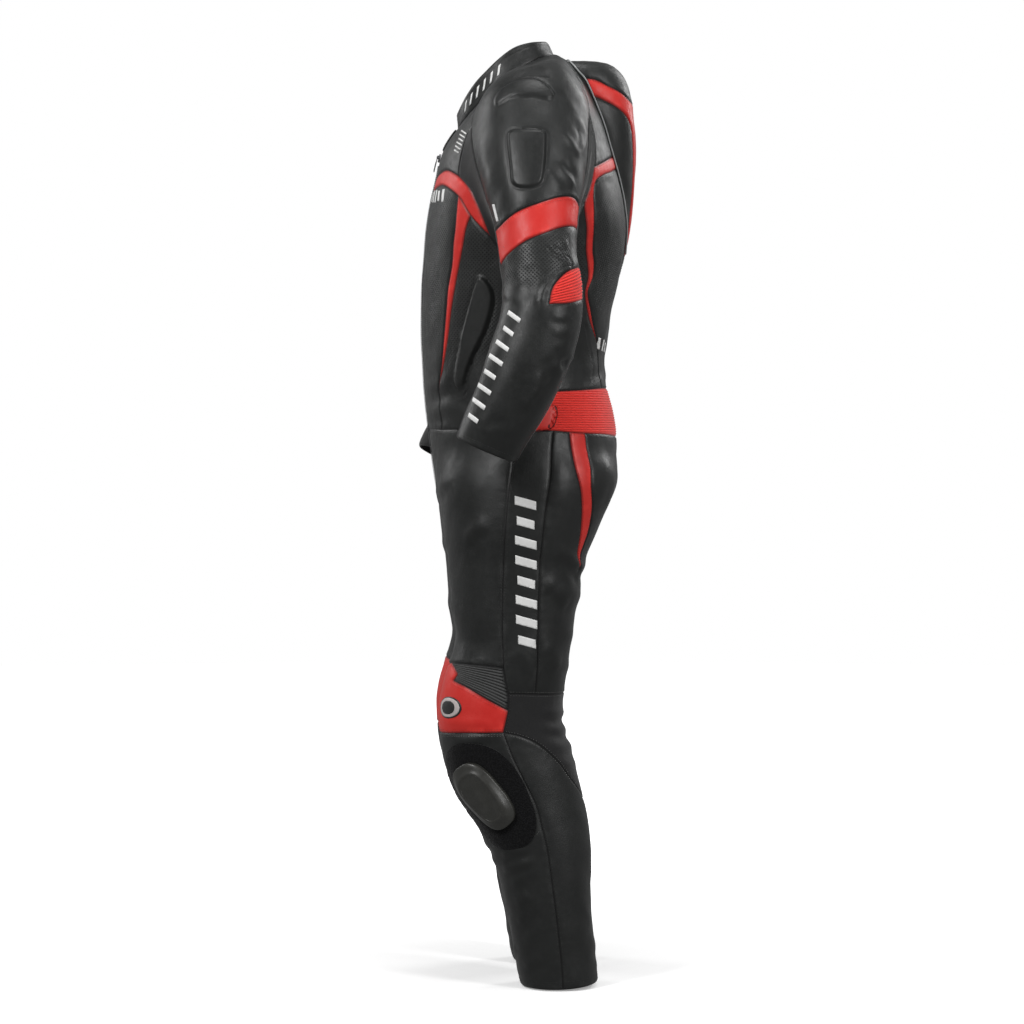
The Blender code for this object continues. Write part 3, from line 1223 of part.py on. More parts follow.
def puck(foot, side):
    """The knee slider: the area of the shin under it, moved out, with its outline carried up in rings."""
    p, n, f = foot
    loop = outline_of(f)
    ring, rim = p[loop], n[loop]
    centre, out = ring.mean(0), unit(rim.mean(0))
    lift = GROUND_THICK + 2 * SEAM_GAP
    k, base = len(loop), len(p)
    pts = [p + n * lift]
    faces = [tuple(int(v) for v in t[::-1]) for t in f]
    previous = loop
    for height, scale in PUCK_RINGS:
        lean = height / PUCK_RINGS[-1][0]
        q = centre + (ring - centre) * scale + (rim * (1 - lean) + out * lean) * (lift + height)
        if height > 0.010:
            level = ((q - centre) @ out).mean() + 0.001
            q = q + out[None] * (level - (q - centre) @ out)[:, None] * 0.85
        pts.append(q)
        ids = [base + i for i in range(k)]
        for i in range(k):
            j = (i + 1) % k
            faces += [(previous[i], previous[j], ids[j]), (previous[i], ids[j], ids[i])]
        previous, base = ids, base + k
    pts.append((pts[-1].mean(0) + out * 0.0008)[None])
    faces += [(previous[i], previous[(i + 1) % k], base) for i in range(k)]
    pts = np.vstack(pts)
    if side < 0:
        pts = pts * np.array([-1.0, 1, 1])
        faces = [t[::-1] for t in faces]
    return pts, faces


def main():
    for obj in list(bpy.data.objects):
        bpy.data.objects.remove(obj, do_unlink=True)
    suit = bpy.data.collections.new("motorcycle_race_suit")
    bpy.context.scene.collection.children.link(suit)
    hold = bpy.data.objects.new("suit_origin", None)
    suit.objects.link(hold)

    panels, seams = all_panels(SEAM_STEP, PANEL_PITCH)
    for name, panel in panels.items():
        if name == "knee_foot":
            continue
        for full, (p, n, f, side) in half_and_half(name, panel).items():
            if name in ARM_PANELS:
                p = swing(p, side)
            if name == "knee_ground":
                pts, faces = wall(p, n, f, GROUND_THICK + SEAM_GAP, GROUND_THICK)
            else:
                pts, faces = wall(drawn_in(p, n, f, SEAM_GAP / 2), n, f)
            add_piece(full, pts, faces, hold, suit)

    for side, word in ((1, "left"), (-1, "right")):
        pts, faces = puck(panels["knee_foot"], side)
        add_piece("knee_slider_" + word, pts, faces, hold, suit)

    g = collar_grid(seams["neck"], COLLAR_ROWS)
    n = grid_normals(g).reshape(-1, 3)
    p = g.reshape(-1, 3)
    n = n * np.sign((n * (p - [0, -0.03, 0])).sum(-1))[:, None]
    f = strip_faces(*g.shape[:2])
    a, b, c = p[f[:, 0]], p[f[:, 1]], p[f[:, 2]]
    if (np.cross(b - a, c - a) * n[f].mean(1)).sum() < 0:
        f = f[:, ::-1]
    pts, faces = wall(p, n, f, 0.0, 0.0026)
    add_piece("collar", pts, faces, hold, suit)

    g = zip_grid(seams["zip"])
    p = g.reshape(-1, 3)
    n = unit(slope_of(p))
    f = strip_faces(*g.shape[:2])
    a, b, c = p[f[:, 0]], p[f[:, 1]], p[f[:, 2]]
    if (np.cross(b - a, c - a) * n[f].mean(1)).sum() < 0:
        f = f[:, ::-1]
    pts, faces = wall(drawn_in(p, n, f, SEAM_GAP / 2), n, f)
    add_piece("front_zip", pts, faces, hold, suit)

    flat, f = filled(tab_outline(), 0.009)
    p = front_at(flat[:, 0], flat[:, 1])
    n = unit(slope_of(p))
    a, b, c = p[f[:, 0]], p[f[:, 1]], p[f[:, 2]]
    if (np.cross(b - a, c - a) * n[f].mean(1)).sum() < 0:
        f = f[:, ::-1]
    pts, faces = wall(p, n, f, 0.0026, 0.0021)
    add_piece("collar_tab", pts, faces, hold, suit)

    frame = slider_frame()
    add_slider("zip_slider", frame, suit, hold)

    foot, down, out = frame
    pivot = foot + down * -0.001 + out * PIVOT_HEIGHT
    hinge = bpy.data.objects.new("zip_pull_hinge", None)
    hinge.location = pivot
    hinge.parent = hold
    suit.objects.link(hinge)
    near, far, length, thick = PULL
    outline = [(-near, -0.0014), (near, -0.0014), (near, 0.0045), (far, 0.0070), (far, length - 0.0030),
               (far - 0.0016, length - 0.0006), (far - 0.0030, length), (-far + 0.0030, length),
               (-far + 0.0016, length - 0.0006), (-far, length - 0.0030), (-far, 0.0070), (-near, 0.0045)]
    pts = [np.array([x, 0, 0]) + down * s + out * t for t in (-thick / 2, thick / 2) for x, s in outline]
    k = len(outline)
    faces = [tuple(range(k, 2 * k)), tuple(range(k - 1, -1, -1))]
    faces += [(i, (i + 1) % k, (i + 1) % k + k, i + k) for i in range(k)]
    pull = add_piece("zip_pull", np.array(pts), faces, hinge, suit, (0, 0, 0))
    bm = bmesh.new()
    bm.from_mesh(pull.data)
    bmesh.ops.recalc_face_normals(bm, faces=bm.faces[:])
    bm.to_mesh(pull.data)
    bm.free()


main()
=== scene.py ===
# The looks of the motorcycle race suit: every panel as a sewn leather or stretch shell on the form of the packed
# part, with its folds, ribs, armour, stitching, zip and knee sliders.
import json
import math

import bpy
import bmesh
import numpy as np
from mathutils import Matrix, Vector
from mathutils.kdtree import KDTree
from mathutils.bvhtree import BVHTree
from mathutils.geometry import delaunay_2d_cdt

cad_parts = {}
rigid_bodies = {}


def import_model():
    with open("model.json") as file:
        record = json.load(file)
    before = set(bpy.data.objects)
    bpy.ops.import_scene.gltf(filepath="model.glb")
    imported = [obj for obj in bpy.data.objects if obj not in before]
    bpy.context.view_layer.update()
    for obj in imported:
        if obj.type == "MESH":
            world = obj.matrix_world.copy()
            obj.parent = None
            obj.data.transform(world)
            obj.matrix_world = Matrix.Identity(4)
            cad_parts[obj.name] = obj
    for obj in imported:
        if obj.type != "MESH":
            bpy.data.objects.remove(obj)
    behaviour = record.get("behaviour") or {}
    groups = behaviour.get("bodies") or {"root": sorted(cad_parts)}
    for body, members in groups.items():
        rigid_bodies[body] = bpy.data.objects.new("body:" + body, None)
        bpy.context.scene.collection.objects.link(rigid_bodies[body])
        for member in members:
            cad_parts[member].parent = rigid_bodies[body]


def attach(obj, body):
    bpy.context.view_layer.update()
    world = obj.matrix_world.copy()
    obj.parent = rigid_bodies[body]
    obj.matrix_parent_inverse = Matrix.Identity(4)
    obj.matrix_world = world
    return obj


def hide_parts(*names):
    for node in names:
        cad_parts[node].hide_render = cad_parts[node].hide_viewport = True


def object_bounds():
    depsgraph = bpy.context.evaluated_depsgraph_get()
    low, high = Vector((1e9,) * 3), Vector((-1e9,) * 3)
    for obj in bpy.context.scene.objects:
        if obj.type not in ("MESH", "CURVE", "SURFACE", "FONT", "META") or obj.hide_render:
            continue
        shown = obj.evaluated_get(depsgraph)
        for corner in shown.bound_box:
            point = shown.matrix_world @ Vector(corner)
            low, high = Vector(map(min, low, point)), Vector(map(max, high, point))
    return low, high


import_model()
CAD_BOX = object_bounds()

WALL = 0.0022            # leather with its backing
SEAM_GAP = 0.0003        # between two panels at a seam
GROUND_THICK = 0.0024
SEAM_STEP = 0.0042
PANEL_PITCH = 0.0044
ROWS = (0.0013, 0.0032, 0.0058)      # rows of points beside each seam
PUCK_RINGS = ((0.0040, 1.00), (0.0080, 0.96), (0.0145, 0.70))
PULL_LIMIT = 150.0


# ---------------------------------------------------------------- sizes, metres
SHOULDER_COLUMNS = ("distance_from_middle", "drop")
SHOULDER_LINE = (
    (0.000, 0.006), (0.070, 0.000), (0.100, -0.008), (0.140, -0.021), (0.180, -0.040), (0.220, -0.068), (0.270, -0.110))
NECK_COLUMNS = ("y", "height")       # the top of the body from front to back, beside the neck
NECK_LINE = (
    (-0.160, -0.120), (-0.125, -0.080), (-0.103, -0.058), (-0.088, -0.045), (-0.073, -0.031), (-0.056, -0.014),
    (-0.035, 0.005), (-0.012, 0.021), (0.007, 0.030), (0.027, 0.037), (0.045, 0.040), (0.066, 0.034), (0.090, 0.018),
    (0.120, -0.012), (0.160, -0.060))

TORSO_COLUMNS = ("z", "half_width", "front_y", "back_y", "power")
TORSO = (
    (0.060, 0.165, -0.030, 0.045, 2.2),
    (0.020, 0.176, -0.060, 0.074, 2.2),
    (-0.020, 0.186, -0.083, 0.099, 2.2),
    (-0.060, 0.192, -0.106, 0.118, 2.3),
    (-0.100, 0.195, -0.126, 0.130, 2.3),
    (-0.140, 0.195, -0.135, 0.140, 2.3),
    (-0.180, 0.192, -0.144, 0.148, 2.35),
    (-0.220, 0.188, -0.150, 0.152, 2.35),
    (-0.260, 0.181, -0.153, 0.148, 2.35),
    (-0.300, 0.174, -0.156, 0.140, 2.35),
    (-0.340, 0.170, -0.157, 0.130, 2.35),
    (-0.380, 0.167, -0.157, 0.124, 2.35),
    (-0.420, 0.166, -0.155, 0.119, 2.35),
    (-0.458, 0.168, -0.153, 0.124, 2.35),
    (-0.490, 0.172, -0.150, 0.132, 2.35),
    (-0.523, 0.178, -0.146, 0.137, 2.35),
    (-0.555, 0.183, -0.142, 0.138, 2.35),
    (-0.590, 0.188, -0.137, 0.134, 2.35),
    (-0.630, 0.191, -0.130, 0.118, 2.35),
    (-0.670, 0.190, -0.122, 0.098, 2.35),
    (-0.720, 0.186, -0.114, 0.080, 2.35),
)
TRUNK_FOOT = -0.700      # where the trunk rounds under, between the legs

HUMP_COLUMNS = ("z", "half_width", "back_y")
HUMP = (
    (0.060, 0.066, 0.118),
    (0.030, 0.071, 0.140),
    (0.005, 0.075, 0.1555),
    (-0.020, 0.078, 0.1625),
    (-0.050, 0.080, 0.166),
    (-0.100, 0.080, 0.168),
    (-0.140, 0.077, 0.167),
    (-0.180, 0.070, 0.164),
    (-0.215, 0.060, 0.160),
    (-0.245, 0.046, 0.1535),
    (-0.280, 0.030, 0.142),
    (-0.310, 0.020, 0.126),
    (-0.350, 0.014, 0.104),
)
HUMP_TOP = 0.0365

LEG_COLUMNS = ("z", "centre_x", "half_width", "front_y", "back_y", "power")
LEG = (
    (-0.540, 0.092, 0.090, -0.1250, 0.1350, 2.2),
    (-0.590, 0.093, 0.093, -0.1240, 0.1330, 2.2),
    (-0.630, 0.094, 0.095, -0.1230, 0.1200, 2.2),
    (-0.670, 0.096, 0.095, -0.1210, 0.1020, 2.2),
    (-0.710, 0.098, 0.094, -0.1190, 0.0840, 2.2),
    (-0.757, 0.100, 0.092, -0.1155, 0.0770, 2.2),
    (-0.800, 0.102, 0.090, -0.1120, 0.0680, 2.2),
    (-0.836, 0.104, 0.087, -0.1085, 0.0630, 2.2),
    (-0.868, 0.106, 0.085, -0.1185, 0.0590, 2.2),
    (-0.900, 0.107, 0.083, -0.1280, 0.0550, 2.2),
    (-0.930, 0.108, 0.081, -0.1330, 0.0510, 2.2),
    (-0.955, 0.109, 0.080, -0.1330, 0.0500, 2.2),
    (-0.990, 0.110, 0.079, -0.1295, 0.0600, 2.2),
    (-1.025, 0.111, 0.078, -0.1220, 0.0700, 2.2),
    (-1.060, 0.112, 0.077, -0.1075, 0.0790, 2.2),
    (-1.095, 0.113, 0.076, -0.0850, 0.0860, 2.2),
    (-1.131, 0.114, 0.075, -0.0645, 0.0900, 2.2),
    (-1.167, 0.115, 0.073, -0.0495, 0.0910, 2.2),
    (-1.220, 0.117, 0.070, -0.0365, 0.0925, 2.2),
    (-1.256, 0.118, 0.068, -0.0290, 0.0950, 2.2),
    (-1.310, 0.119, 0.065, -0.0195, 0.0990, 2.2),
    (-1.346, 0.120, 0.063, -0.0125, 0.1040, 2.2),
    (-1.390, 0.121, 0.061, -0.0030, 0.1090, 2.2),
)
LEG_HEAD = -0.575        # where the leg rounds off inside the hips

SLEEVE_COLUMNS = ("x", "y", "z", "half_across", "half_deep")
SLEEVE = (
    (0.168, 0.001, -0.070, 0.066, 0.076),
    (0.191, 0.001, -0.120, 0.067, 0.079),
    (0.212, 0.002, -0.170, 0.065, 0.073),
    (0.234, 0.004, -0.230, 0.061, 0.061),
    (0.252, 0.006, -0.280, 0.058, 0.056),
    (0.267, 0.013, -0.335, 0.057, 0.057),
    (0.276, 0.007, -0.380, 0.057, 0.058),
    (0.281, -0.009, -0.428, 0.056, 0.0575),
    (0.281, -0.031, -0.480, 0.053, 0.053),
    (0.277, -0.055, -0.525, 0.049, 0.050),
    (0.272, -0.073, -0.566, 0.044, 0.046),
    (0.266, -0.091, -0.607, 0.040, 0.042),
)
BLEND_ARM = 0.045
BLEND_ARMPIT = 0.020
BLEND_LEG = 0.034
BLEND_TOP = 0.030
BLEND_HUMP = 0.010


def hermite(table, x, column):
    """Smooth value of one of a table's columns at x, where the first column holds the stations."""
    rows = np.array(table, float)
    if rows[0, 0] > rows[-1, 0]:
        rows = rows[::-1]
    k, y = rows[:, 0], rows[:, column]
    x = np.clip(np.asarray(x, float), k[0], k[-1])
    i = np.clip(np.searchsorted(k, x) - 1, 0, len(k) - 2)
    h = np.diff(k)
    slope = np.diff(y) / h
    m = np.empty_like(y)
    m[0], m[-1] = slope[0], slope[-1]
    m[1:-1] = (slope[:-1] * h[1:] + slope[1:] * h[:-1]) / (h[1:] + h[:-1])
    d = h[i]
    t = (x - k[i]) / d
    return ((2 * t**3 - 3 * t**2 + 1) * y[i] + (t**3 - 2 * t**2 + t) * d * m[i]
            + (3 * t**2 - 2 * t**3) * y[i + 1] + (t**3 - t**2) * d * m[i + 1])


class Smooth:
    """A table read as smooth curves, finely tabulated once so that it is quick to look up."""

    def __init__(self, table, samples=800):
        rows = np.array(table, float)
        lo, hi = rows[:, 0].min(), rows[:, 0].max()
        self.k = np.linspace(lo, hi, samples)
        self.c = [self.k] + [hermite(table, self.k, c) for c in range(1, rows.shape[1])]

    def __call__(self, x, column):
        return np.interp(x, self.k, self.c[column])


torso_at, leg_at, hump_at = Smooth(TORSO), Smooth(LEG), Smooth(HUMP)
shoulder_at, neck_at = Smooth(SHOULDER_LINE), Smooth(NECK_LINE)


def smooth_min(a, b, k):
    h = np.clip(0.5 + 0.5 * (b - a) / k, 0.0, 1.0)
    return b * (1 - h) + a * h - k * h * (1 - h)


def smooth_max(a, b, k):
    return -smooth_min(-a, -b, k)


def oval(across, along, half_across, half_along, power):
    """Radius of an oval section in the direction (across, along)."""
    r = np.hypot(across, along) + 1e-12
    return (np.abs(across / r / half_across) ** power + np.abs(along / r / half_along) ** power) ** (-1.0 / power)


def trunk(p):
    x, y, z = p[..., 0], p[..., 1], p[..., 2]
    front, back = torso_at(z, 2), torso_at(z, 3)
    middle, depth = (front + back) / 2, (back - front) / 2
    side = np.hypot(x, y - middle) - oval(x, y - middle, torso_at(z, 1), depth, torso_at(z, 4))
    lid = (z - shoulder_at(np.abs(x), 1) - neck_at(y, 1)) * 0.80
    f = smooth_max(side, lid, BLEND_TOP)
    return smooth_max(f, TRUNK_FOOT - z, 0.05)


def hump(p):
    x, y, z = p[..., 0], p[..., 1], p[..., 2]
    half, back = hump_at(z, 1), hump_at(z, 2)
    middle = 0.062
    side = np.hypot(x, y - middle) - oval(x, y - middle, half, back - middle, 2.6)
    return smooth_max(side, (z - HUMP_TOP + 0.9 * (y - 0.085) ** 2 + 1.0 * x**2), 0.022)


def leg_centre(z):
    return leg_at(z, 1), (leg_at(z, 3) + leg_at(z, 4)) / 2


def leg(p):
    x, y, z = p[..., 0], p[..., 1], p[..., 2]
    cx, cy = leg_centre(z)
    depth = (leg_at(z, 4) - leg_at(z, 3)) / 2
    side = np.hypot(x - cx, y - cy) - oval(x - cx, y - cy, leg_at(z, 2), depth, 2.2)
    return smooth_max(side, z - LEG_HEAD, 0.05)


def unit(v):
    return v / (np.linalg.norm(v, axis=-1, keepdims=True) + 1e-12)


def sleeve_axis(samples=49):
    """Points, directions and section sizes along the arm, from the shoulder to the cuff."""
    rows = np.array(SLEEVE, float)
    step = np.concatenate([[0], np.cumsum(np.linalg.norm(np.diff(rows[:, :3], axis=0), axis=1))])
    keyed = np.column_stack([step, rows])
    s = np.linspace(0, step[-1], samples)
    pts = np.column_stack([hermite(keyed, s, c) for c in (1, 2, 3)])
    size = np.column_stack([hermite(keyed, s, c) for c in (4, 5)])
    s = np.concatenate([[0], np.cumsum(np.linalg.norm(np.diff(pts, axis=0), axis=1))])
    along = unit(np.gradient(pts, s, axis=0))
    return s, pts, along, size


AX_S, AX_P, AX_T, AX_R = sleeve_axis()


def arm_frame(t):
    """Two directions square to the arm: away from the body, and forward."""
    forward = np.zeros_like(t)
    forward[..., 1] = -1.0
    forward = unit(forward - t * (forward * t).sum(-1, keepdims=True))
    outward = np.cross(forward, t)
    return outward, forward


def sleeve_tube(p):
    shape = p.shape[:-1]
    q = p.reshape(-1, 3)
    best = np.full(len(q), 1e9)
    which = np.zeros(len(q), int)
    part = np.zeros(len(q))
    seg = np.diff(AX_P, axis=0)
    length2 = (seg**2).sum(1)
    for i in range(len(seg)):
        rel = q - AX_P[i]
        w = np.clip((rel @ seg[i]) / length2[i], 0, 1)
        d = ((rel - w[:, None] * seg[i]) ** 2).sum(1)
        near = d < best
        best[near] = d[near]
        which[near] = i
        part[near] = w[near]
    w = part[:, None]
    centre = AX_P[which] * (1 - w) + AX_P[which + 1] * w
    tangent = unit(AX_T[which] * (1 - w) + AX_T[which + 1] * w)
    size = AX_R[which] * (1 - w) + AX_R[which + 1] * w
    outward, forward = arm_frame(tangent)
    d = q - centre
    a, b = (d * outward).sum(1), (d * forward).sum(1)
    c = (d * tangent).sum(1)
    out = np.sqrt(a * a + b * b + c * c) - oval(a, b, size[:, 0], size[:, 1], 2.1)
    return out.reshape(shape)


def body(p, parts="trunk hump legs arms"):
    """Signed size of the garment's outer form at p: negative inside. It is the same on the left and right."""
    q = p.copy()
    q[..., 0] = np.abs(q[..., 0])
    f = np.full(q.shape[:-1], 1.0)
    if "trunk" in parts:
        f = trunk(q)
    if "legs" in parts:
        low = q[..., 2] < -0.45
        if low.any():
            other = q[low].copy()
            other[..., 0] *= -1
            legs = smooth_min(leg(q[low]), leg(other), 0.03)
            f[low] = smooth_min(f[low], legs, BLEND_LEG)
    if "arms" in parts:
        near = (q[..., 0] > 0.05) & (q[..., 2] > -0.75)
        if near.any():
            k = BLEND_ARMPIT + (BLEND_ARM - BLEND_ARMPIT) * np.clip((q[near][..., 2] + 0.26) / 0.12, 0, 1)
            f[near] = smooth_min(f[near], sleeve_tube(q[near]), k)
    if "hump" in parts:
        near = (q[..., 1] > 0.0) & (q[..., 2] > -0.36) & (q[..., 0] < 0.15)
        if near.any():
            f[near] = smooth_min(f[near], hump(q[near]), BLEND_HUMP)
    return f


def slope_of(p, parts="trunk hump legs arms"):
    """Outward direction of the form's surface at p."""
    h = 0.0006
    g = np.empty_like(p)
    for k in range(3):
        a, b = p.copy(), p.copy()
        a[..., k] += h
        b[..., k] -= h
        g[..., k] = (body(a, parts) - body(b, parts)) / (2 * h)
    return g


def snap(p, parts="trunk hump legs arms"):
    """The points of the form's surface nearest to p, for points close to it."""
    p = np.array(p, float)
    for _ in range(5):
        g = slope_of(p, parts)
        p -= g * (body(p, parts) / ((g**2).sum(-1) + 1e-9))[..., None]
    return p


# ---------------------------------------------------------------- charts: flat maps of the form
TILT_COLUMNS = ("z", "degrees")      # how steeply the trunk's rays rise towards the neck
TILT = ((-0.800, 0), (-0.200, 0), (-0.140, 4), (-0.100, 12), (-0.060, 27), (-0.030, 44), (0.000, 64), (0.020, 74))
tilt_at = Smooth(TILT)
TRUNK_MIDDLE = 0.006                 # y of the trunk chart's axis


def trunk_ray(u, v):
    """u: degrees from the middle of the front round the left side to the middle of the back; v: height."""
    a, e = np.radians(u), np.radians(tilt_at(v, 1))
    start = np.stack([np.zeros_like(a), np.full_like(a, TRUNK_MIDDLE), v], -1)
    return start, np.stack([np.sin(a) * np.cos(e), -np.cos(a) * np.cos(e), np.sin(e)], -1)


def trunk_uv(p):
    r = np.hypot(p[..., 0], p[..., 1] - TRUNK_MIDDLE)
    lo, hi = np.full(r.shape, -0.8), np.full(r.shape, 0.02)
    for _ in range(30):
        mid = (lo + hi) / 2
        over = mid + r * np.tan(np.radians(tilt_at(mid, 1))) > p[..., 2]
        hi, lo = np.where(over, mid, hi), np.where(over, lo, mid)
    return np.degrees(np.arctan2(p[..., 0], -(p[..., 1] - TRUNK_MIDDLE))), (lo + hi) / 2


def leg_ray(u, v):
    """u: degrees round the leg: 0 the outer side, 90 the front, 180 the inner side, 270 the back; v: height."""
    a = np.radians(u)
    cx, cy = leg_centre(v)
    return np.stack([cx, cy, v], -1), np.stack([np.cos(a), -np.sin(a), np.zeros_like(a)], -1)


def leg_uv(p):
    cx, cy = leg_centre(p[..., 2])
    return np.degrees(np.arctan2(-(p[..., 1] - cy), p[..., 0] - cx)), p[..., 2]


ARM_START = 0.178        # distance down the arm's axis of its first section below the armpit
PIVOT_IN = 0.088         # from the axis there to the armpit's pivot, about which the shoulder's sections turn
FAN = 0.20               # metres of chart for each radian of that turn
FAN_MIDDLE_COLUMNS = ("turn", "distance")
FAN_MIDDLE = ((0.0, PIVOT_IN), (0.5, 0.120), (1.0, 0.165), (1.4, 0.190), (1.9, 0.200))
fan_at = Smooth(FAN_MIDDLE)


def on_arm(s):
    p = np.stack([np.interp(s, AX_S, AX_P[:, k]) for k in range(3)], -1)
    t = np.stack([np.interp(s, AX_S, AX_T[:, k]) for k in range(3)], -1)
    t[..., 1] *= np.clip((s - ARM_START) / 0.05, 0, 1)
    return p, unit(t)


P0, T0 = on_arm(np.array(ARM_START))
R0 = arm_frame(T0)[0]
PIVOT = P0 - R0 * PIVOT_IN


def sleeve_ray(u, v):
    """u: degrees round the arm: 0 the outer side, 90 the front, 180 towards the body, 270 the back;
    v: distance down the arm from the armpit, and above it the turn over the shoulder to the neck."""
    a = np.radians(u)
    centre, t = on_arm(ARM_START + np.maximum(v, 0))
    outward, forward = arm_frame(t)
    turn = np.maximum(-v, 0) / FAN
    lifted = np.cos(turn)[..., None] * R0 - np.sin(turn)[..., None] * T0
    above = (v < 0)[..., None]
    outward = np.where(above, lifted, outward)
    centre = np.where(above, PIVOT + lifted * fan_at(turn, 1)[..., None] + [0, P0[1] - PIVOT[1], 0], centre)
    return centre, np.cos(a)[..., None] * outward + np.sin(a)[..., None] * forward


def sleeve_uv(p):
    rel = p - PIVOT
    turn = np.arctan2(-(rel @ T0), rel @ R0)
    lo, hi = np.zeros(turn.shape), np.full(turn.shape, AX_S[-1] - ARM_START)
    for _ in range(26):
        mid = (lo + hi) / 2
        c, t = on_arm(ARM_START + mid)
        past = ((p - c) * t).sum(-1) > 0
        lo, hi = np.where(past, mid, lo), np.where(past, hi, mid)
    v = np.where(turn > 0, -turn * FAN, (lo + hi) / 2)
    centre, one = sleeve_ray(np.zeros_like(v), v)
    _, quarter = sleeve_ray(np.full_like(v, 90.0), v)
    d = p - centre
    return np.degrees(np.arctan2((d * quarter).sum(-1), (d * one).sum(-1))), v


#         ray, inverse, metres for each degree, middle of the range, furthest reach, parts of the form
CHARTS = {
    "trunk": (trunk_ray, trunk_uv, 0.0028, 90, 0.32, "trunk hump legs arms"),
    "leg_front": (leg_ray, leg_uv, 0.0016, 90, 0.24, "trunk legs"),
    "leg_back": (leg_ray, leg_uv, 0.0016, 270, 0.24, "trunk legs"),
    "sleeve_out": (sleeve_ray, sleeve_uv, 0.0011, 0, 0.20, "trunk hump arms"),
    "sleeve_in": (sleeve_ray, sleeve_uv, 0.0011, 180, 0.16, "trunk arms"),
}


def reach(chart, u, v, steps=26):
    """Points of the form's surface at (u, v) of a chart: where the chart's rays leave the form."""
    ray, _, _, _, far, parts = CHARTS[chart]
    start, way = ray(np.asarray(u, float), np.asarray(v, float))
    lo, hi = np.zeros(len(start)), np.full(len(start), far)
    found = np.zeros(len(start), bool)
    for i in range(1, steps + 1):
        t = far * i / steps
        left = np.flatnonzero(~found)
        if not len(left):
            break
        out = body(start[left] + way[left] * t, parts) > 0
        hi[left[out]] = t
        lo[left[~out]] = t
        found[left[out]] = True
    for _ in range(13):
        mid = (lo + hi) / 2
        out = body(start + way * mid[:, None], parts) > 0
        hi, lo = np.where(out, mid, hi), np.where(out, lo, mid)
    return start + way * ((lo + hi) / 2)[:, None]


def chart_uv(chart, p):
    """Chart coordinates in metres of points on the form."""
    _, inverse, scale, middle, _, _ = CHARTS[chart]
    u, v = inverse(np.asarray(p, float))
    u = (u - middle + 180) % 360 - 180 + middle
    return np.stack([u * scale, v], -1)


# ---------------------------------------------------------------- seams
# Each seam runs through the points of its table (x, y, z in millimetres, set on the form's surface), on the
# left half of the suit. A seam that starts or ends on another names it.
NECK_HALF_WIDTH, NECK_FRONT, NECK_BACK = 0.080, -0.103, 0.047
ZIP_HALF = 0.005
ZIP_END = -0.640
HEM = -1.342
RIGHT_ARM_FORWARD = 0.048

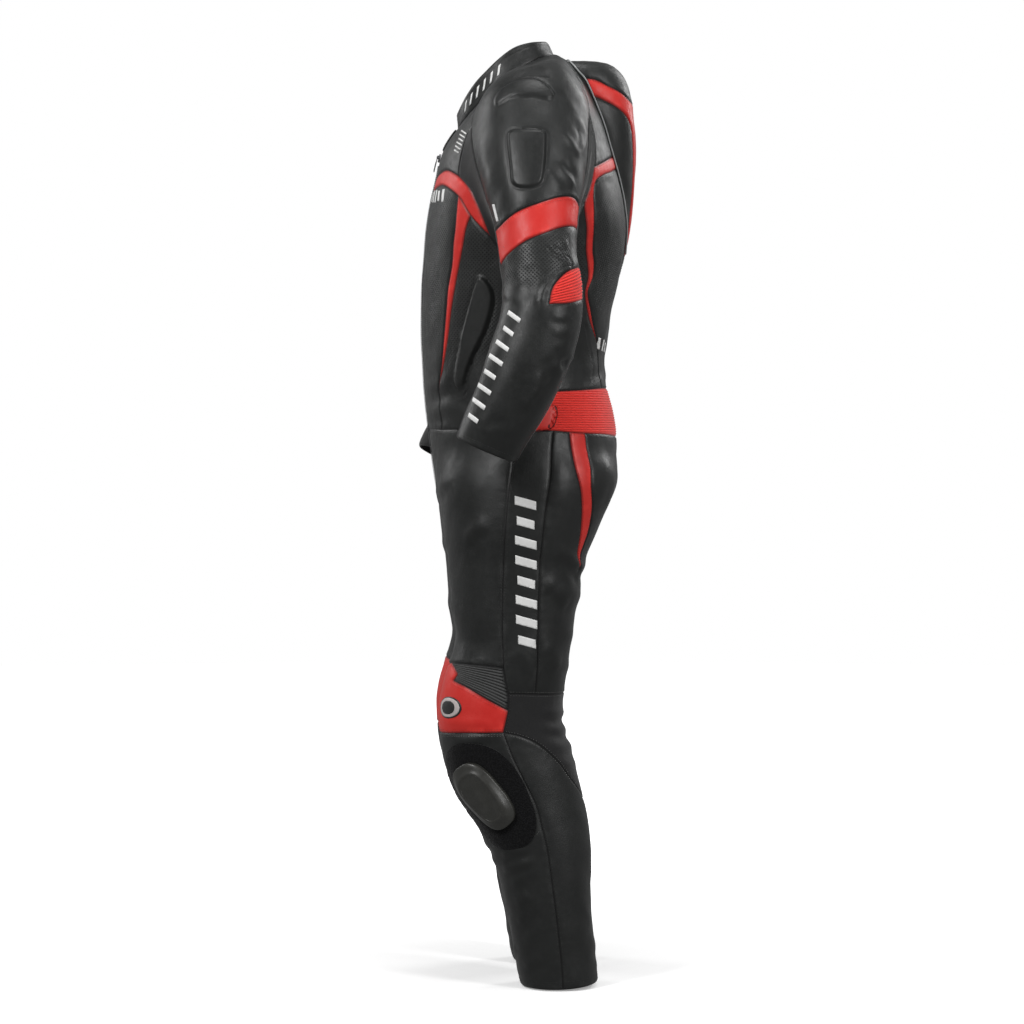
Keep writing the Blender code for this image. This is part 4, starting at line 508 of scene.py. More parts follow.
SEAM_COLUMNS = ("x", "y", "z")
SEAMS = {
    "raglan": ((76, -52, -14), (100, -67, -34), (135, -80, -60), (166, -86, -95), (186, -83, -130), (200, -74, -165),
               (205, -60, -200), (203, -42, -232), (198, -20, -256), (196, 2, -266), (199, 24, -256), (205, 44, -232),
               (210, 60, -200), (208, 72, -168), (200, 80, -130), (184, 83, -90), (155, 80, -55), (118, 72, -15),
               (82, 58, 16), (56, 36, 36)),
    "gusset_front": ((155, -83, -78), (143, -89, -88), (140, -97, -106), (136, -104, -131), (141, -103, -146)),
    "band_top": ((5, -137, -141), (44, -134, -138), (96, -123, -137), (128, -111, -146), (143, -103, -154),
                 (163, -89, -174), (168, -81, -189), (173, -73, -209), (176, -60, -243)),
    "band_low": ((5, -141, -160), (54, -137, -158), (92, -128, -159), (122, -118, -168), (147, -104, -184),
                 (163, -89, -211), (176, -60, -243)),
    "gusset_low": ((176, -60, -243), (179, -32, -278), (179, 0, -296), (179, 34, -280), (178, 58, -240),
                   (177, 69, -208), (171, 84, -180), (162, 92, -145), (152, 92, -100), (153, 86, -74)),
    "stripe_front": ((143, -107, -182), (141, -111, -227), (137, -114, -250), (134, -116, -280), (126, -121, -315),
                     (122, -124, -350), (117, -127, -385), (111, -130, -420), (100, -135, -466)),
    "stripe_side": ((163, -89, -211), (157, -95, -229), (153, -99, -248), (145, -105, -281), (137, -111, -315),
                    (131, -117, -350), (125, -121, -385), (116, -127, -420), (100, -135, -466)),
    "stripe_tail": ((100, -135, -466), (102, -134, -495), (104, -132, -523)),
    "piping": ((0, 61, 37), (36, 61, 36), (62, 64, 29), (73, 74, 18), (77, 88, 2), (79, 101, -28), (80, 111, -55),
               (77, 127, -100), (68, 137, -135), (53, 147, -178), (38, 152, -216), (18, 152, -250), (0, 151, -262)),
    "hump_band_top": ((76, 86, 5), (72, 100, 3), (66, 121, -6), (58, 136, -12), (46, 150, -20), (30, 159, -26),
                      (0, 163, -30)),
    "hump_band_low": ((79, 97, -22), (73, 116, -29), (64, 135, -38), (52, 151, -50), (42, 158, -66), (37, 161, -100),
                      (33, 161, -144), (28, 157, -198), (20, 152, -247)),
    "back_band_top": ((73, 131, -113), (105, 122, -120), (135, 108, -130), (158, 93, -140)),
    "back_band_in": ((69, 136, -131), (105, 126, -139), (140, 108, -149), (158, 98, -160), (162, 95, -178),
                     (161, 95, -198), (158, 95, -228), (151, 94, -262), (143, 96, -280), (139, 95, -300),
                     (140, 88, -322), (128, 92, -345), (117, 96, -366), (94, 106, -398)),
    "back_band_out": ((169, 86, -172), (173, 79, -192), (170, 81, -212), (166, 83, -229), (159, 83, -262),
                      (152, 86, -281), (146, 88, -300), (144, 84, -322), (134, 87, -345), (122, 92, -366),
                      (94, 106, -398)),
    "back_tail": ((94, 106, -398), (90, 107, -430), (88, 110, -461)),
    "waist_top": ((0, 124, -458), (65, 118, -459), (110, 100, -462), (141, 76, -465), (162, 39, -468),
                  (168, 3, -470), (166, -22, -470)),
    "waist_front": ((166, -22, -470), (167, -34, -480), (170, -36, -497), (173, -34, -524)),
    "waist": ((5, -147, -520), (60, -144, -521), (104, -132, -523), (150, -93, -524), (173, -40, -525),
              (179, -2, -525), (175, 34, -526), (166, 61, -528), (152, 83, -529), (110, 114, -530), (58, 134, -531),
              (0, 137, -531)),
    "side_front": ((178, -23, -525), (184, -26, -560), (195, -33, -609), (196, -39, -674), (192, -43, -764),
                   (191, -43, -830), (191, -41, -872)),
    "side_back": ((175, 32, -526), (187, 30, -560), (194, 27, -598), (197, 21, -640), (192, 15, -700),
                  (188, 11, -791), (185, 10, -859), (181, 7, -911)),
    "hip_front": ((168, 58, -528), (175, 62, -556), (180, 66, -582), (178, 74, -620), (172, 76, -650),
                  (162, 74, -682), (152, 70, -710), (144, 70, -730)),
    "hip_back": ((154, 82, -529), (161, 88, -569), (166, 88, -608), (160, 92, -640), (150, 88, -672),
                 (146, 81, -700), (144, 70, -730)),
    "knee_side": ((191, -41, -872), (191, -38, -890), (190, -34, -911), (189, -34, -934), (189, -37, -950),
                  (189, -41, -966)),
    "thigh_end": ((190, -34, -909), (188, -14, -910), (181, 7, -911), (166, 30, -912), (132, 50, -912),
                  (107, 54, -912), (70, 46, -912), (40, 20, -911), (28, -10, -910), (25, -36, -909)),
    "knee_low": ((189, -41, -966), (184, -76, -967), (168, -106, -968), (111, -133, -971), (54, -106, -968),
                 (36, -76, -967), (29, -41, -966)),
    "knee_inner": ((25, -36, -909), (25, -36, -932), (27, -38, -950), (29, -41, -966)),
    "pleats_top": ((191, -41, -872), (184, -73, -868), (155, -108, -866), (131, -118, -866)),
    "pleats_front": ((131, -118, -866), (148, -114, -873), (159, -109, -881)),
    "pleats_nose": ((159, -109, -881), (158, -112, -886), (155, -116, -891)),
    "knee_top": ((131, -118, -866), (102, -122, -868), (72, -118, -871), (46, -100, -880), (29, -70, -906),
                 (25, -36, -932)),
    "pleats_low": ((155, -116, -891), (176, -94, -901), (187, -66, -917), (189, -34, -934)),
    "inseam": ((6, -30, -780), (16, -32, -840), (25, -36, -909)),
    "hem": ((120, -15, -1342), (165, 8, -1342), (183, 47, -1342), (170, 84, -1339), (120, 101, -1336),
            (70, 84, -1339), (57, 47, -1342), (75, 8, -1342), (120, -15, -1342)),
    "shin_out": ((189, -41, -966), (189, -27, -1003), (189, -8, -1041), (189, 8, -1074), (189, 17, -1109),
                 (189, 24, -1140), (188, 31, -1190), (186, 39, -1252), (184, 45, -1310), (183, 47, -1342)),
    "shin_in": ((29, -41, -966), (31, -27, -1003), (35, -8, -1041), (38, 8, -1074), (40, 17, -1109),
                (42, 24, -1140), (47, 31, -1190), (51, 39, -1252), (55, 45, -1310), (57, 47, -1342)),
    "arc": ((189, -41, -966), (187, -12, -973), (181, 12, -984), (168, 40, -1009), (150, 64, -1042),
            (112, 80, -1070), (72, 64, -1042), (52, 40, -1009), (39, 12, -984), (33, -12, -973), (29, -41, -966)),
}
SLEEVE_SEAM_COLUMNS = ("degrees", "v")
SLEEVE_SEAMS = {
    "cuff_out": ((82, 0.345), (40, 0.345), (0, 0.345), (-40, 0.345), (-82, 0.345)),
    "cuff_in": ((82, 0.345), (110, 0.345), (140, 0.345), (180, 0.345), (220, 0.345), (250, 0.345), (278, 0.345)),
    "sleeve_front": ((119, -0.115), (105, -0.072), (92, -0.022), (85, 0.030), (84, 0.130), (84, 0.220), (82, 0.345)),
    "sleeve_back": ((-115, -0.120), (-103, -0.085), (-90, -0.040), (-82, 0.010), (-79, 0.070), (-79, 0.150),
                    (-80, 0.240), (-82, 0.345)),
    "arm_band_top": ((88, 0.009), (61, 0.011), (32, 0.003), (-3, -0.012), (-35, -0.030), (-64, -0.046), (-92, -0.055)),
    "arm_band_low": ((84, 0.057), (66, 0.055), (47, 0.052), (21, 0.045), (-9, 0.036), (-40, 0.022), (-64, 0.013),
                     (-82, 0.008)),
    "elbow_top": ((-79, 0.076), (-56, 0.083), (-36, 0.090), (-22, 0.099), (-11, 0.112), (-8, 0.133)),
    "elbow_low": ((-8, 0.133), (-35, 0.127), (-60, 0.119), (-79, 0.113)),
}


# seam: (starts on, ends on)
JOINS = {
    "raglan": ("neck", "neck"), "gusset_front": ("raglan", "band_top"), "band_top": ("zip", None),
    "band_low": ("zip", "band_top"), "gusset_low": ("band_top", "raglan"), "stripe_front": ("band_low", None),
    "stripe_side": ("band_low", "stripe_front"), "stripe_tail": ("stripe_front", "waist"),
    "piping": ("back_middle", "back_middle"), "hump_band_top": ("piping", "back_middle"), "hump_band_low": ("piping", "piping"),
    "back_band_top": ("piping", "gusset_low"), "back_band_in": ("piping", None),
    "back_band_out": ("gusset_low", "back_band_in"), "back_tail": ("back_band_in", "waist_top"),
    "waist_top": ("back_middle", None), "waist_front": ("waist_top", "waist"), "waist": ("zip", "back_middle"), "side_front": ("waist", None),
    "side_back": ("waist", "thigh_end"), "hip_front": ("waist", None), "hip_back": ("waist", "hip_front"),
    "knee_side": ("side_front", None), "thigh_end": ("knee_side", None), "pleats_top": ("side_front", None),
    "pleats_front": ("pleats_top", None), "pleats_nose": ("pleats_front", None), "knee_top": ("pleats_top", "knee_inner"),
    "pleats_low": ("pleats_nose", "knee_side"), "knee_low": ("knee_side", None),
    "knee_inner": ("thigh_end", "knee_low"), "inseam": ("crotch", "thigh_end"), "shin_out": ("knee_side", "hem"),
    "shin_in": ("knee_low", "hem"), "arc": ("knee_side", "knee_low"), "hem": (None, None),
    "sleeve_front": ("raglan", "cuff_out"), "sleeve_back": ("raglan", "cuff_out"),
    "cuff_out": (None, None), "cuff_in": ("cuff_out", "cuff_out"),
    "arm_band_top": ("sleeve_front", "sleeve_back"), "arm_band_low": ("sleeve_front", "sleeve_back"),
    "elbow_top": ("sleeve_back", None), "elbow_low": ("elbow_top", "sleeve_back"),
}


def through(points, step=0.0015):
    """A smooth curve through the points, sampled about every step."""
    p = np.asarray(points, float)
    ext = np.vstack([2 * p[0] - p[1], p, 2 * p[-1] - p[-2]])
    out = []
    for i in range(1, len(p)):
        a, b, c, d = ext[i - 1], ext[i], ext[i + 1], ext[i + 2]
        ka = max(np.linalg.norm(b - a) ** 0.5, 1e-6)
        kb = max(np.linalg.norm(c - b) ** 0.5, 1e-6)
        kc = max(np.linalg.norm(d - c) ** 0.5, 1e-6)
        m1 = (b - a) / ka - (c - a) / (ka + kb) + (c - b) / kb
        m2 = (c - b) / kb - (d - b) / (kb + kc) + (d - c) / kc
        m1, m2 = m1 * kb, m2 * kb
        n = max(2, int(np.ceil(np.linalg.norm(c - b) / step)))
        t = (np.arange(n) / n)[:, None]
        out.append((2 * t**3 - 3 * t**2 + 1) * b + (t**3 - 2 * t**2 + t) * m1
                   + (3 * t**2 - 2 * t**3) * c + (t**3 - t**2) * m2)
    return np.vstack(out + [p[-1:]])


def from_above(x, y):
    """The points of the top of the trunk above (x, y)."""
    lo, hi = np.full(len(x), -0.10), np.full(len(x), 0.10)
    for _ in range(20):
        mid = (lo + hi) / 2
        out = body(np.stack([x, y, mid], -1), "trunk hump arms") > 0
        hi, lo = np.where(out, mid, hi), np.where(out, lo, mid)
    return np.stack([x, y, (lo + hi) / 2], -1)


def neck_curve():
    """The collar's seam, from beside the zip round the left to the middle of the back."""
    middle, deep = (NECK_FRONT + NECK_BACK) / 2, (NECK_BACK - NECK_FRONT) / 2
    first = np.degrees(np.arcsin(ZIP_HALF / NECK_HALF_WIDTH))
    a = np.radians(np.linspace(first, 180, 240))
    p = from_above(NECK_HALF_WIDTH * np.sin(a), middle - deep * np.cos(a))
    p[0, 0], p[-1, 0] = ZIP_HALF, 0.0
    return p


def middle_curve(degrees_from, degrees_to, count, x=0.0):
    """The form's outline in the plane x, by rays from a point inside the hips: 0 is straight forward, 90 straight
    down, 180 straight back."""
    a = np.radians(np.linspace(degrees_from, degrees_to, count))
    start = np.stack([np.full_like(a, x), np.full_like(a, -0.010), np.full_like(a, -0.600)], -1)
    way = np.stack([np.zeros_like(a), -np.cos(a), -np.sin(a)], -1)
    lo, hi = np.zeros(count), np.full(count, 0.60)
    for i in range(1, 41):
        t = 0.6 * i / 40
        out = (body(start + way * t, "trunk legs") > 0) & (hi > 0.599)
        hi[out] = t
        lo[out] = t - 0.6 / 40
    for _ in range(14):
        mid = (lo + hi) / 2
        out = body(start + way * mid[:, None], "trunk legs") > 0
        hi, lo = np.where(out, mid, hi), np.where(out, lo, mid)
    return start + way * ((lo + hi) / 2)[:, None]


def outline_at(x, z, back):
    """The form's outline in the plane x at the heights z, in front or behind."""
    z = np.asarray(z, float)
    start = np.stack([np.full_like(z, x), np.full_like(z, 0.0), z], -1)
    way = np.array([0, 1.0 if back else -1.0, 0])
    lo, hi = np.zeros(len(z)), np.full(len(z), 0.25)
    for _ in range(22):
        mid = (lo + hi) / 2
        out = body(start + way * mid[:, None], "trunk hump legs") > 0
        hi, lo = np.where(out, mid, hi), np.where(out, lo, mid)
    return start + way * ((lo + hi) / 2)[:, None]


def make_seams():
    """Every seam of the left half as a fine curve on the form, with the places where others meet it."""
    fine, marks = {}, {}

    def keep(name, curve):
        fine[name] = curve
        marks[name] = {0, len(curve) - 1}

    keep("neck", neck_curve())
    zip_z = np.linspace(fine["neck"][0][2], ZIP_END, 380)
    edge = outline_at(ZIP_HALF, zip_z, False)
    edge[0] = fine["neck"][0]
    keep("zip", edge)
    zip_foot = outline_at(0.0, np.array([ZIP_END]), False)[0]
    keep("zip_foot", np.array([edge[-1], (edge[-1] + zip_foot) / 2, zip_foot]))
    angle = np.degrees(np.arctan2(-(ZIP_END + 0.600), -(zip_foot[1] + 0.010)))
    under = middle_curve(angle, 206, 440)
    back_waist = outline_at(0.0, np.array([-0.531]), True)[0]
    under = under[under[:, 2] < back_waist[2] + (under[:, 1] < 0.05) * 1.0 - 0.001]
    under[0] = zip_foot
    keep("crotch", np.vstack([under, back_waist]))
    a = np.radians(np.linspace(-4, 185, 760))
    start = np.stack([0 * a, 0 * a, np.full_like(a, -0.120)], -1)
    way = np.stack([0 * a, np.sin(a), np.cos(a)], -1)
    lo, hi = np.zeros(len(a)), np.full(len(a), 0.60)
    for _ in range(24):
        mid = (lo + hi) / 2
        out = body(start + way * mid[:, None], "trunk hump legs") > 0
        hi, lo = np.where(out, mid, hi), np.where(out, lo, mid)
    spine = start + way * ((lo + hi) / 2)[:, None]
    top, foot = fine["neck"][-1], fine["crotch"][-1]
    first = int(np.linalg.norm(spine - top, axis=1).argmin())
    last = int(np.linalg.norm(spine - foot, axis=1).argmin())
    keep("back_middle", np.vstack([top, spine[first + 1:last], foot]))
    waiting = list(SEAMS.items()) + list(SLEEVE_SEAMS.items())
    while waiting:
        ready = [w for w in waiting if all(h is None or h in fine for h in JOINS.get(w[0], (None, None)))]
        waiting = [w for w in waiting if w not in ready]
        for name, table in ready:
            if name in SEAMS:
                pts = snap(np.array(table, float) / 1000)
            else:
                uv = np.array(table, float)
                pts = reach("sleeve_in" if name == "cuff_in" else "sleeve_out", uv[:, 0], uv[:, 1])
            for host, end in zip(JOINS.get(name, (None, None)), (0, -1)):
                if host:
                    h = fine[host]
                    i = int(np.linalg.norm(h - pts[end], axis=1).argmin())
                    near = [m for m in marks[host] if np.linalg.norm(h[m] - h[i]) < 0.0045]
                    if near:
                        i = min(near, key=lambda m: np.linalg.norm(h[m] - pts[end]))
                    marks[host].add(i)
                    pts[end] = h[i]
            curve = through(pts)
            curve[1:-1] = snap(curve[1:-1])
            keep(name, curve)
    return fine, marks


def sample(fine, marks, step):
    """The seams' shared points, about a step apart, with every meeting place among them."""
    out = {}
    for name, curve in fine.items():
        stops = sorted(marks[name])
        run = np.concatenate([[0], np.cumsum(np.linalg.norm(np.diff(curve, axis=0), axis=1))])
        pts = []
        for a, b in zip(stops[:-1], stops[1:]):
            n = max(1, int(round((run[b] - run[a]) / step)))
            at = run[a] + (run[b] - run[a]) * np.arange(n) / n
            for j, t in enumerate(at):
                pts.append(curve[a] if j == 0 else np.array([np.interp(t, run, curve[:, k]) for k in range(3)]))
        pts.append(curve[stops[-1]])
        out[name] = np.array(pts)
    return out


# chart, its seams, and a point (x, y, z in millimetres) inside each panel
PANELS = {
    "trunk": (
        ("neck", "zip", "raglan", "gusset_front", "band_top", "band_low", "gusset_low", "stripe_front", "stripe_side",
         "stripe_tail", "piping", "hump_band_top", "hump_band_low", "back_band_top", "back_band_in", "back_band_out",
         "back_tail", "waist_top", "waist_front", "waist", "back_middle"),
        (("chest_upper", (60, -118, -90)), ("chest_band", (60, -134, -147)), ("chest_centre", (60, -145, -300)),
         ("chest_stripe", (145, -103, -240)), ("flank", (170, 0, -400)), ("armhole_gusset", (178, -8, -285)),
         ("back_yoke", (120, 100, -75)), ("back_band", (164, 88, -215)), ("back_centre", (60, 130, -330)),
         ("hump_crown", (30, 110, 25)), ("hump_stripe", (40, 150, -36)), ("hump_side", (66, 130, -70)),
         ("waist", (120, 100, -495)))),
    "leg_front": (
        ("waist", "zip", "zip_foot", "crotch", "side_front", "side_back", "thigh_end", "knee_side", "pleats_top",
         "pleats_front", "pleats_nose", "knee_top", "pleats_low", "knee_low", "knee_inner", "inseam", "shin_out",
         "shin_in", "hem"),
        (("thigh_front", (105, -118, -750)), ("thigh_side", (191, -10, -750)), ("knee_pleats", (184, -65, -895)),
         ("knee_panel", (108, -134, -930)), ("shin", (60, -100, -1050)),
         ("knee_ground", (180, -80, -997)), ("knee_foot", (178, -62, -1058)))),
    "leg_back": (
        ("waist", "crotch", "side_back", "hip_front", "hip_back", "thigh_end", "knee_side", "knee_inner", "inseam",
         "shin_out", "shin_in", "arc", "hem"),
        (("seat", (110, 75, -760)), ("hip_stripe", (166, 80, -600)), ("knee_back", (112, 52, -960)),
         ("calf", (115, 90, -1200)))),
    "sleeve_out": (
        ("neck", "raglan", "sleeve_front", "sleeve_back", "cuff_out", "arm_band_top", "arm_band_low", "elbow_top",
         "elbow_low"),
        (("shoulder", (262, 0, -130)), ("sleeve_band", (293, 0, -230)), ("sleeve_outer", (315, -40, -370)),
         ("elbow_pleats", (305, 45, -328)))),
    "sleeve_in": (
        ("raglan", "sleeve_front", "sleeve_back", "cuff_out", "cuff_in"),
        (("sleeve_under", (226, -10, -400)),)),
}
# panels that cross the middle, with their halves joined
CROSSING = ("hump_crown", "hump_stripe", "back_centre", "waist")


def grid_points(chart, lo, hi, pitch):
    """Staggered points over a chart's rectangle, in chart metres."""
    rows = int((hi[1] - lo[1]) / (pitch * 0.866)) + 1
    cols = int((hi[0] - lo[0]) / pitch) + 1
    out = []
    for j in range(rows):
        y = lo[1] + (j + 0.5) * (hi[1] - lo[1]) / rows
        for i in range(cols):
            out.append((lo[0] + (i + 0.25 + 0.5 * (j % 2)) * (hi[0] - lo[0]) / cols, y))
    return np.array(out)


def far_from(points, chains, clear):
    """Which points lie further than clear from every chain of points."""
    keep = np.ones(len(points), bool)
    for chain in chains:
        a, b = chain[:-1], chain[1:]
        lo, hi = chain.min(0) - clear, chain.max(0) + clear
        near = np.flatnonzero(keep & (points > lo).all(1) & (points < hi).all(1))
        if not len(near):
            continue
        q = points[near]
        ab = b - a
        d = np.full(len(q), 1e9)
        for i in range(len(a)):
            w = np.clip(((q - a[i]) @ ab[i]) / (ab[i] @ ab[i] + 1e-12), 0, 1)
            d = np.minimum(d, np.hypot(*(q - a[i] - w[:, None] * ab[i]).T))
        keep[near[d < clear]] = False
    return keep


RING_COLUMNS = ("u", "z", "half_long", "half_short", "power", "lean")
GROUND = (0.060, -1.060, 0.078, 0.074, 2.2, 0.0)        # the slider's ground on the shin, in leg chart metres
PUCK = (0.0622, -1.0580, 0.0472, 0.0368, 2.8, -28.0)      # the slider's foot on it; lean is degrees from upright


def knee_ring(ring, count, grow=0.0):
    """A closed oval on the shin, as points of the form."""
    u, z, long_half, short_half, power, lean = ring
    a = np.radians(np.arange(count) * 360.0 / count)
    c, s = np.cos(a), np.sin(a)
    r = (np.abs(c / (long_half + grow)) ** power + np.abs(s / (short_half + grow)) ** power) ** (-1 / power)
    t = np.radians(lean)
    du = r * (-c * np.sin(t) + s * np.cos(t))
    dz = r * (c * np.cos(t) + s * np.sin(t))
    return reach("leg_front", (u + du) / CHARTS["leg_front"][2], z + dz)


def swing(p, side):
    """The right arm hangs a little further forward than the left."""
    if side > 0:
        return p
    q = p.copy()
    t = np.clip((-0.26 - p[:, 2]) / 0.30, 0, 1)
    q[:, 1] -= RIGHT_ARM_FORWARD * t * t * (3 - 2 * t)
    return q


# ---------------------------------------------------------------- the panels of the whole suit


CROSSING_NAMES = {"hump_crown": "hump_crown", "hump_stripe": "hump_stripe", "back_centre": "back_centre",
                  "waist": "waist_back"}
ARM_PANELS = ("shoulder", "sleeve_band", "sleeve_outer", "elbow_pleats", "sleeve_under")


# ---------------------------------------------------------------- collar, zip and tab
COLLAR_COLUMNS = ("y", "height")
COLLAR_EDGE = ((-0.104, -0.040), (-0.092, -0.019), (-0.078, 0.000), (-0.063, 0.015), (-0.045, 0.032),
               (-0.021, 0.050), (0.003, 0.0595), (0.024, 0.065), (0.034, 0.068))
COLLAR_HALF_WIDTH, COLLAR_FRONT, COLLAR_BACK = 0.070, -0.104, 0.034
collar_at = Smooth(COLLAR_EDGE)


def strip_faces(rows, columns):
    """Triangles of a grid of points with so many rows and columns."""
    f = []
    for i in range(rows - 1):
        for j in range(columns - 1):
            a, b, c, d = i * columns + j, i * columns + j + 1, (i + 1) * columns + j + 1, (i + 1) * columns + j
            f += [(a, b, c), (a, c, d)]
    return np.array(f)


def grid_normals(g):
    """Directions square to a grid of points (rows, columns, 3)."""
    return unit(np.cross(np.gradient(g, axis=1), np.gradient(g, axis=0)))


def collar_grid(neck, rows):
    """The collar's outer face, from the seam up to the edge, right round from the left of the zip to its right."""
    middle, deep = (NECK_FRONT + NECK_BACK) / 2, (NECK_BACK - NECK_FRONT) / 2
    a = np.arctan2(neck[:, 0] / NECK_HALF_WIDTH, -(neck[:, 1] - middle) / deep)
    low = neck - SEAM_GAP * np.stack([np.sin(a), -np.cos(a), 0 * a], -1)
    low[:, 2] += SEAM_GAP
    m2, d2 = (COLLAR_FRONT + COLLAR_BACK) / 2, (COLLAR_BACK - COLLAR_FRONT) / 2
    y = m2 - d2 * np.cos(a)
    high = np.stack([COLLAR_HALF_WIDTH * np.sin(a), y, collar_at(y, 1)], -1)
    low[0, 0] = high[0, 0] = ZIP_HALF
    low[-1, 0] = high[-1, 0] = 0.0
    t = (np.arange(rows) / (rows - 1))[:, None, None]
    half = low[None] * (1 - t) + high[None] * t
    other = half[:, ::-1][:, 1:] * np.array([-1.0, 1, 1])
    return np.concatenate([half, other], 1)


def front_at(x, z, lift=0.0):
    """The points of the form's front at x and z, moved out by lift."""
    x, z = np.broadcast_arrays(np.asarray(x, float), np.asarray(z, float))
    shape = x.shape
    x, z = x.ravel(), z.ravel()
    start = np.stack([x, np.full_like(z, -0.03), z], -1)
    way = np.array([0, -1.0, 0])
    lo, hi = np.zeros(len(z)), np.full(len(z), 0.20)
    for _ in range(22):
        mid = (lo + hi) / 2
        out = body(start + way * mid[:, None], "trunk legs") > 0
        hi, lo = np.where(out, mid, hi), np.where(out, lo, mid)
    p = start + way * ((lo + hi) / 2)[:, None]
    return (p + unit(slope_of(p)) * lift).reshape(shape + (3,))


def zip_grid(edge, columns=3):
    """The zip's face between its two edges, from the left edge to the right."""
    x = np.linspace(ZIP_HALF, -ZIP_HALF, columns)
    rows = []
    for q in edge:
        p = front_at(x, np.full(columns, q[2]))
        p[0] = q
        p[-1] = q * np.array([-1.0, 1, 1])
        rows.append(p)
    return np.array(rows)


TAB = (0.013, -0.0970, -0.0665, 0.006)      # half width, lowest and highest z, corner radius
SLIDER_Z = -0.1085
SLIDER = (0.0045, 0.0065, 0.0030)           # half width, half length, height
LUG = (0.0034, 0.0014, 0.0034)             # how far up, down and out from the block a lug reaches
PIVOT_HEIGHT = 0.0053
PULL = (0.0024, 0.0036, 0.0235, 0.0015)     # half width at the pin and at the foot, length, thickness


def tab_outline(count=5):
    """The tab's rounded outline as x and z."""
    half, low, high, r = TAB
    out = []
    for cx, cz, first in ((half - r, high - r, 0), (-half + r, high - r, 90), (-half + r, low + r, 180),
                          (half - r, low + r, 270)):
        for i in range(count):
            a = math.radians(first + 90.0 * i / (count - 1))
            out.append((cx + r * math.cos(a), cz + r * math.sin(a)))
    return np.array(out)


def filled(outline, pitch):
    """Points and triangles that fill a flat outline."""
    lo, hi = outline.min(0), outline.max(0)
    xs = np.linspace(lo[0], hi[0], max(3, int(round((hi[0] - lo[0]) / pitch)) + 1))
    zs = np.linspace(lo[1], hi[1], max(3, int(round((hi[1] - lo[1]) / pitch)) + 1))
    grid = np.array([(x, z) for x in xs for z in zs])
    loop = np.vstack([outline, outline[:1]])
    a, b = loop[:-1], loop[1:]
    inside = np.zeros(len(grid), bool)
    for (x0, z0), (x1, z1) in zip(a, b):
        cross = (z0 > grid[:, 1]) != (z1 > grid[:, 1])
        if cross.any() and z1 != z0:
            at = x0 + (grid[:, 1] - z0) * (x1 - x0) / (z1 - z0)
            inside ^= cross & (grid[:, 0] < at)
    grid = grid[inside & far_from(grid, [loop], pitch * 0.35)]
    every = np.vstack([outline, grid])
    edges = [(i, (i + 1) % len(outline)) for i in range(len(outline))]
    verts, _, faces, _, _, _ = delaunay_2d_cdt([Vector(q) for q in every], edges, [], 1, 1e-8, True)
    return np.array([tuple(v) for v in verts]), np.array([tuple(f) for f in faces])


def slider_frame():
    """The slider's place: the middle of its foot, the direction down the zip and the direction out of the chest."""
    foot = front_at(0.0, SLIDER_Z)
    below, above = front_at(0.0, SLIDER_Z - 0.02), front_at(0.0, SLIDER_Z + 0.004)
    down = unit(below - above)
    down[0] = 0
    out = np.array([0.0, down[2], -down[1]])
    return foot, down, out


# ---------------------------------------------------------------- the fine mesh of the panels
def kd_of(points):
    tree = KDTree(len(points))
    for i, q in enumerate(points):
        tree.insert(q, i)
    tree.balance()
    return tree


def nearest(tree, points):
    """Distance from each point to the nearest one in the tree, and which it is."""
    d, ids = np.empty(len(points)), np.empty(len(points), int)
    for i, q in enumerate(points):
        _, ids[i], d[i] = tree.find(q)
    return d, ids


def resampled(line, step):
    """Points along a line of points, about every step."""
    run = np.concatenate([[0], np.cumsum(np.linalg.norm(np.diff(line, axis=0), axis=1))])
    n = max(2, int(run[-1] / step) + 1)
    t = np.linspace(0, run[-1], n)
    return np.stack([np.interp(t, run, line[:, k]) for k in range(line.shape[1])], -1)


def side_rows(seams, tree):
    """Rows of points beside the seams, on both sides of each."""
    out = []
    for name, line in seams.items():
        t = unit(np.gradient(line, axis=0))
        n = unit(slope_of(line))
        s = np.cross(n, t)
        for off in ROWS:
            for way in (-1, 1):
                q = line + s * (off * way)
                if off > 0.004:
                    q = q[::1]
                out.append((q, np.full(len(q), off)))
    q = np.vstack([o[0] for o in out])
    off = np.concatenate([o[1] for o in out])
    g = slope_of(q)
    for _ in range(2):
        q = q - g * (body(q) / ((g**2).sum(-1) + 1e-9))[:, None]
    d, _ = nearest(tree, q)
    q, off = q[d > off * 0.86], off[d > off * 0.86]
    keep, seen = [], {}
    for i, c in enumerate(np.floor(q / 0.0011).astype(int)):
        key = tuple(c)
        if key not in seen:
            seen[key] = i
            keep.append(i)
    return q[keep]


def accept(parts):
    """Points of the parts in turn, (points, clear): those further than clear from all that came before."""
    have = [parts[0][0]]
    for pts, clear in parts[1:]:
        if not len(pts):
            continue
        base = np.vstack(have)
        tree = kd_of(np.column_stack([base, np.zeros(len(base))]))
        d, _ = nearest(tree, np.column_stack([pts, np.zeros(len(pts))]))
        have.append(pts[d > clear])
    return np.vstack(have[1:])


def pleat_rows(seams):
    """Chart points in close rows beside the back of the armhole, where the gusset is pleated."""
    out = []
    for key, way in (("raglan", 1), ("gusset_low", 1)):
        line = resampled(seams[key], 0.0030)
        t, n = unit(np.gradient(line, axis=0)), unit(slope_of(line))
        s = np.cross(n, t)
        on = (line[:, 1] > 0.028) & (line[:, 2] > -0.245) & (line[:, 2] < -0.070)
        for off in np.arange(0.0010, 0.0170, 0.00078):
            for sign in (-1, 1):
                q = snap(line[on] + s[on] * off * sign)
                out.append(q)
    return chart_uv("trunk", np.vstack(out))


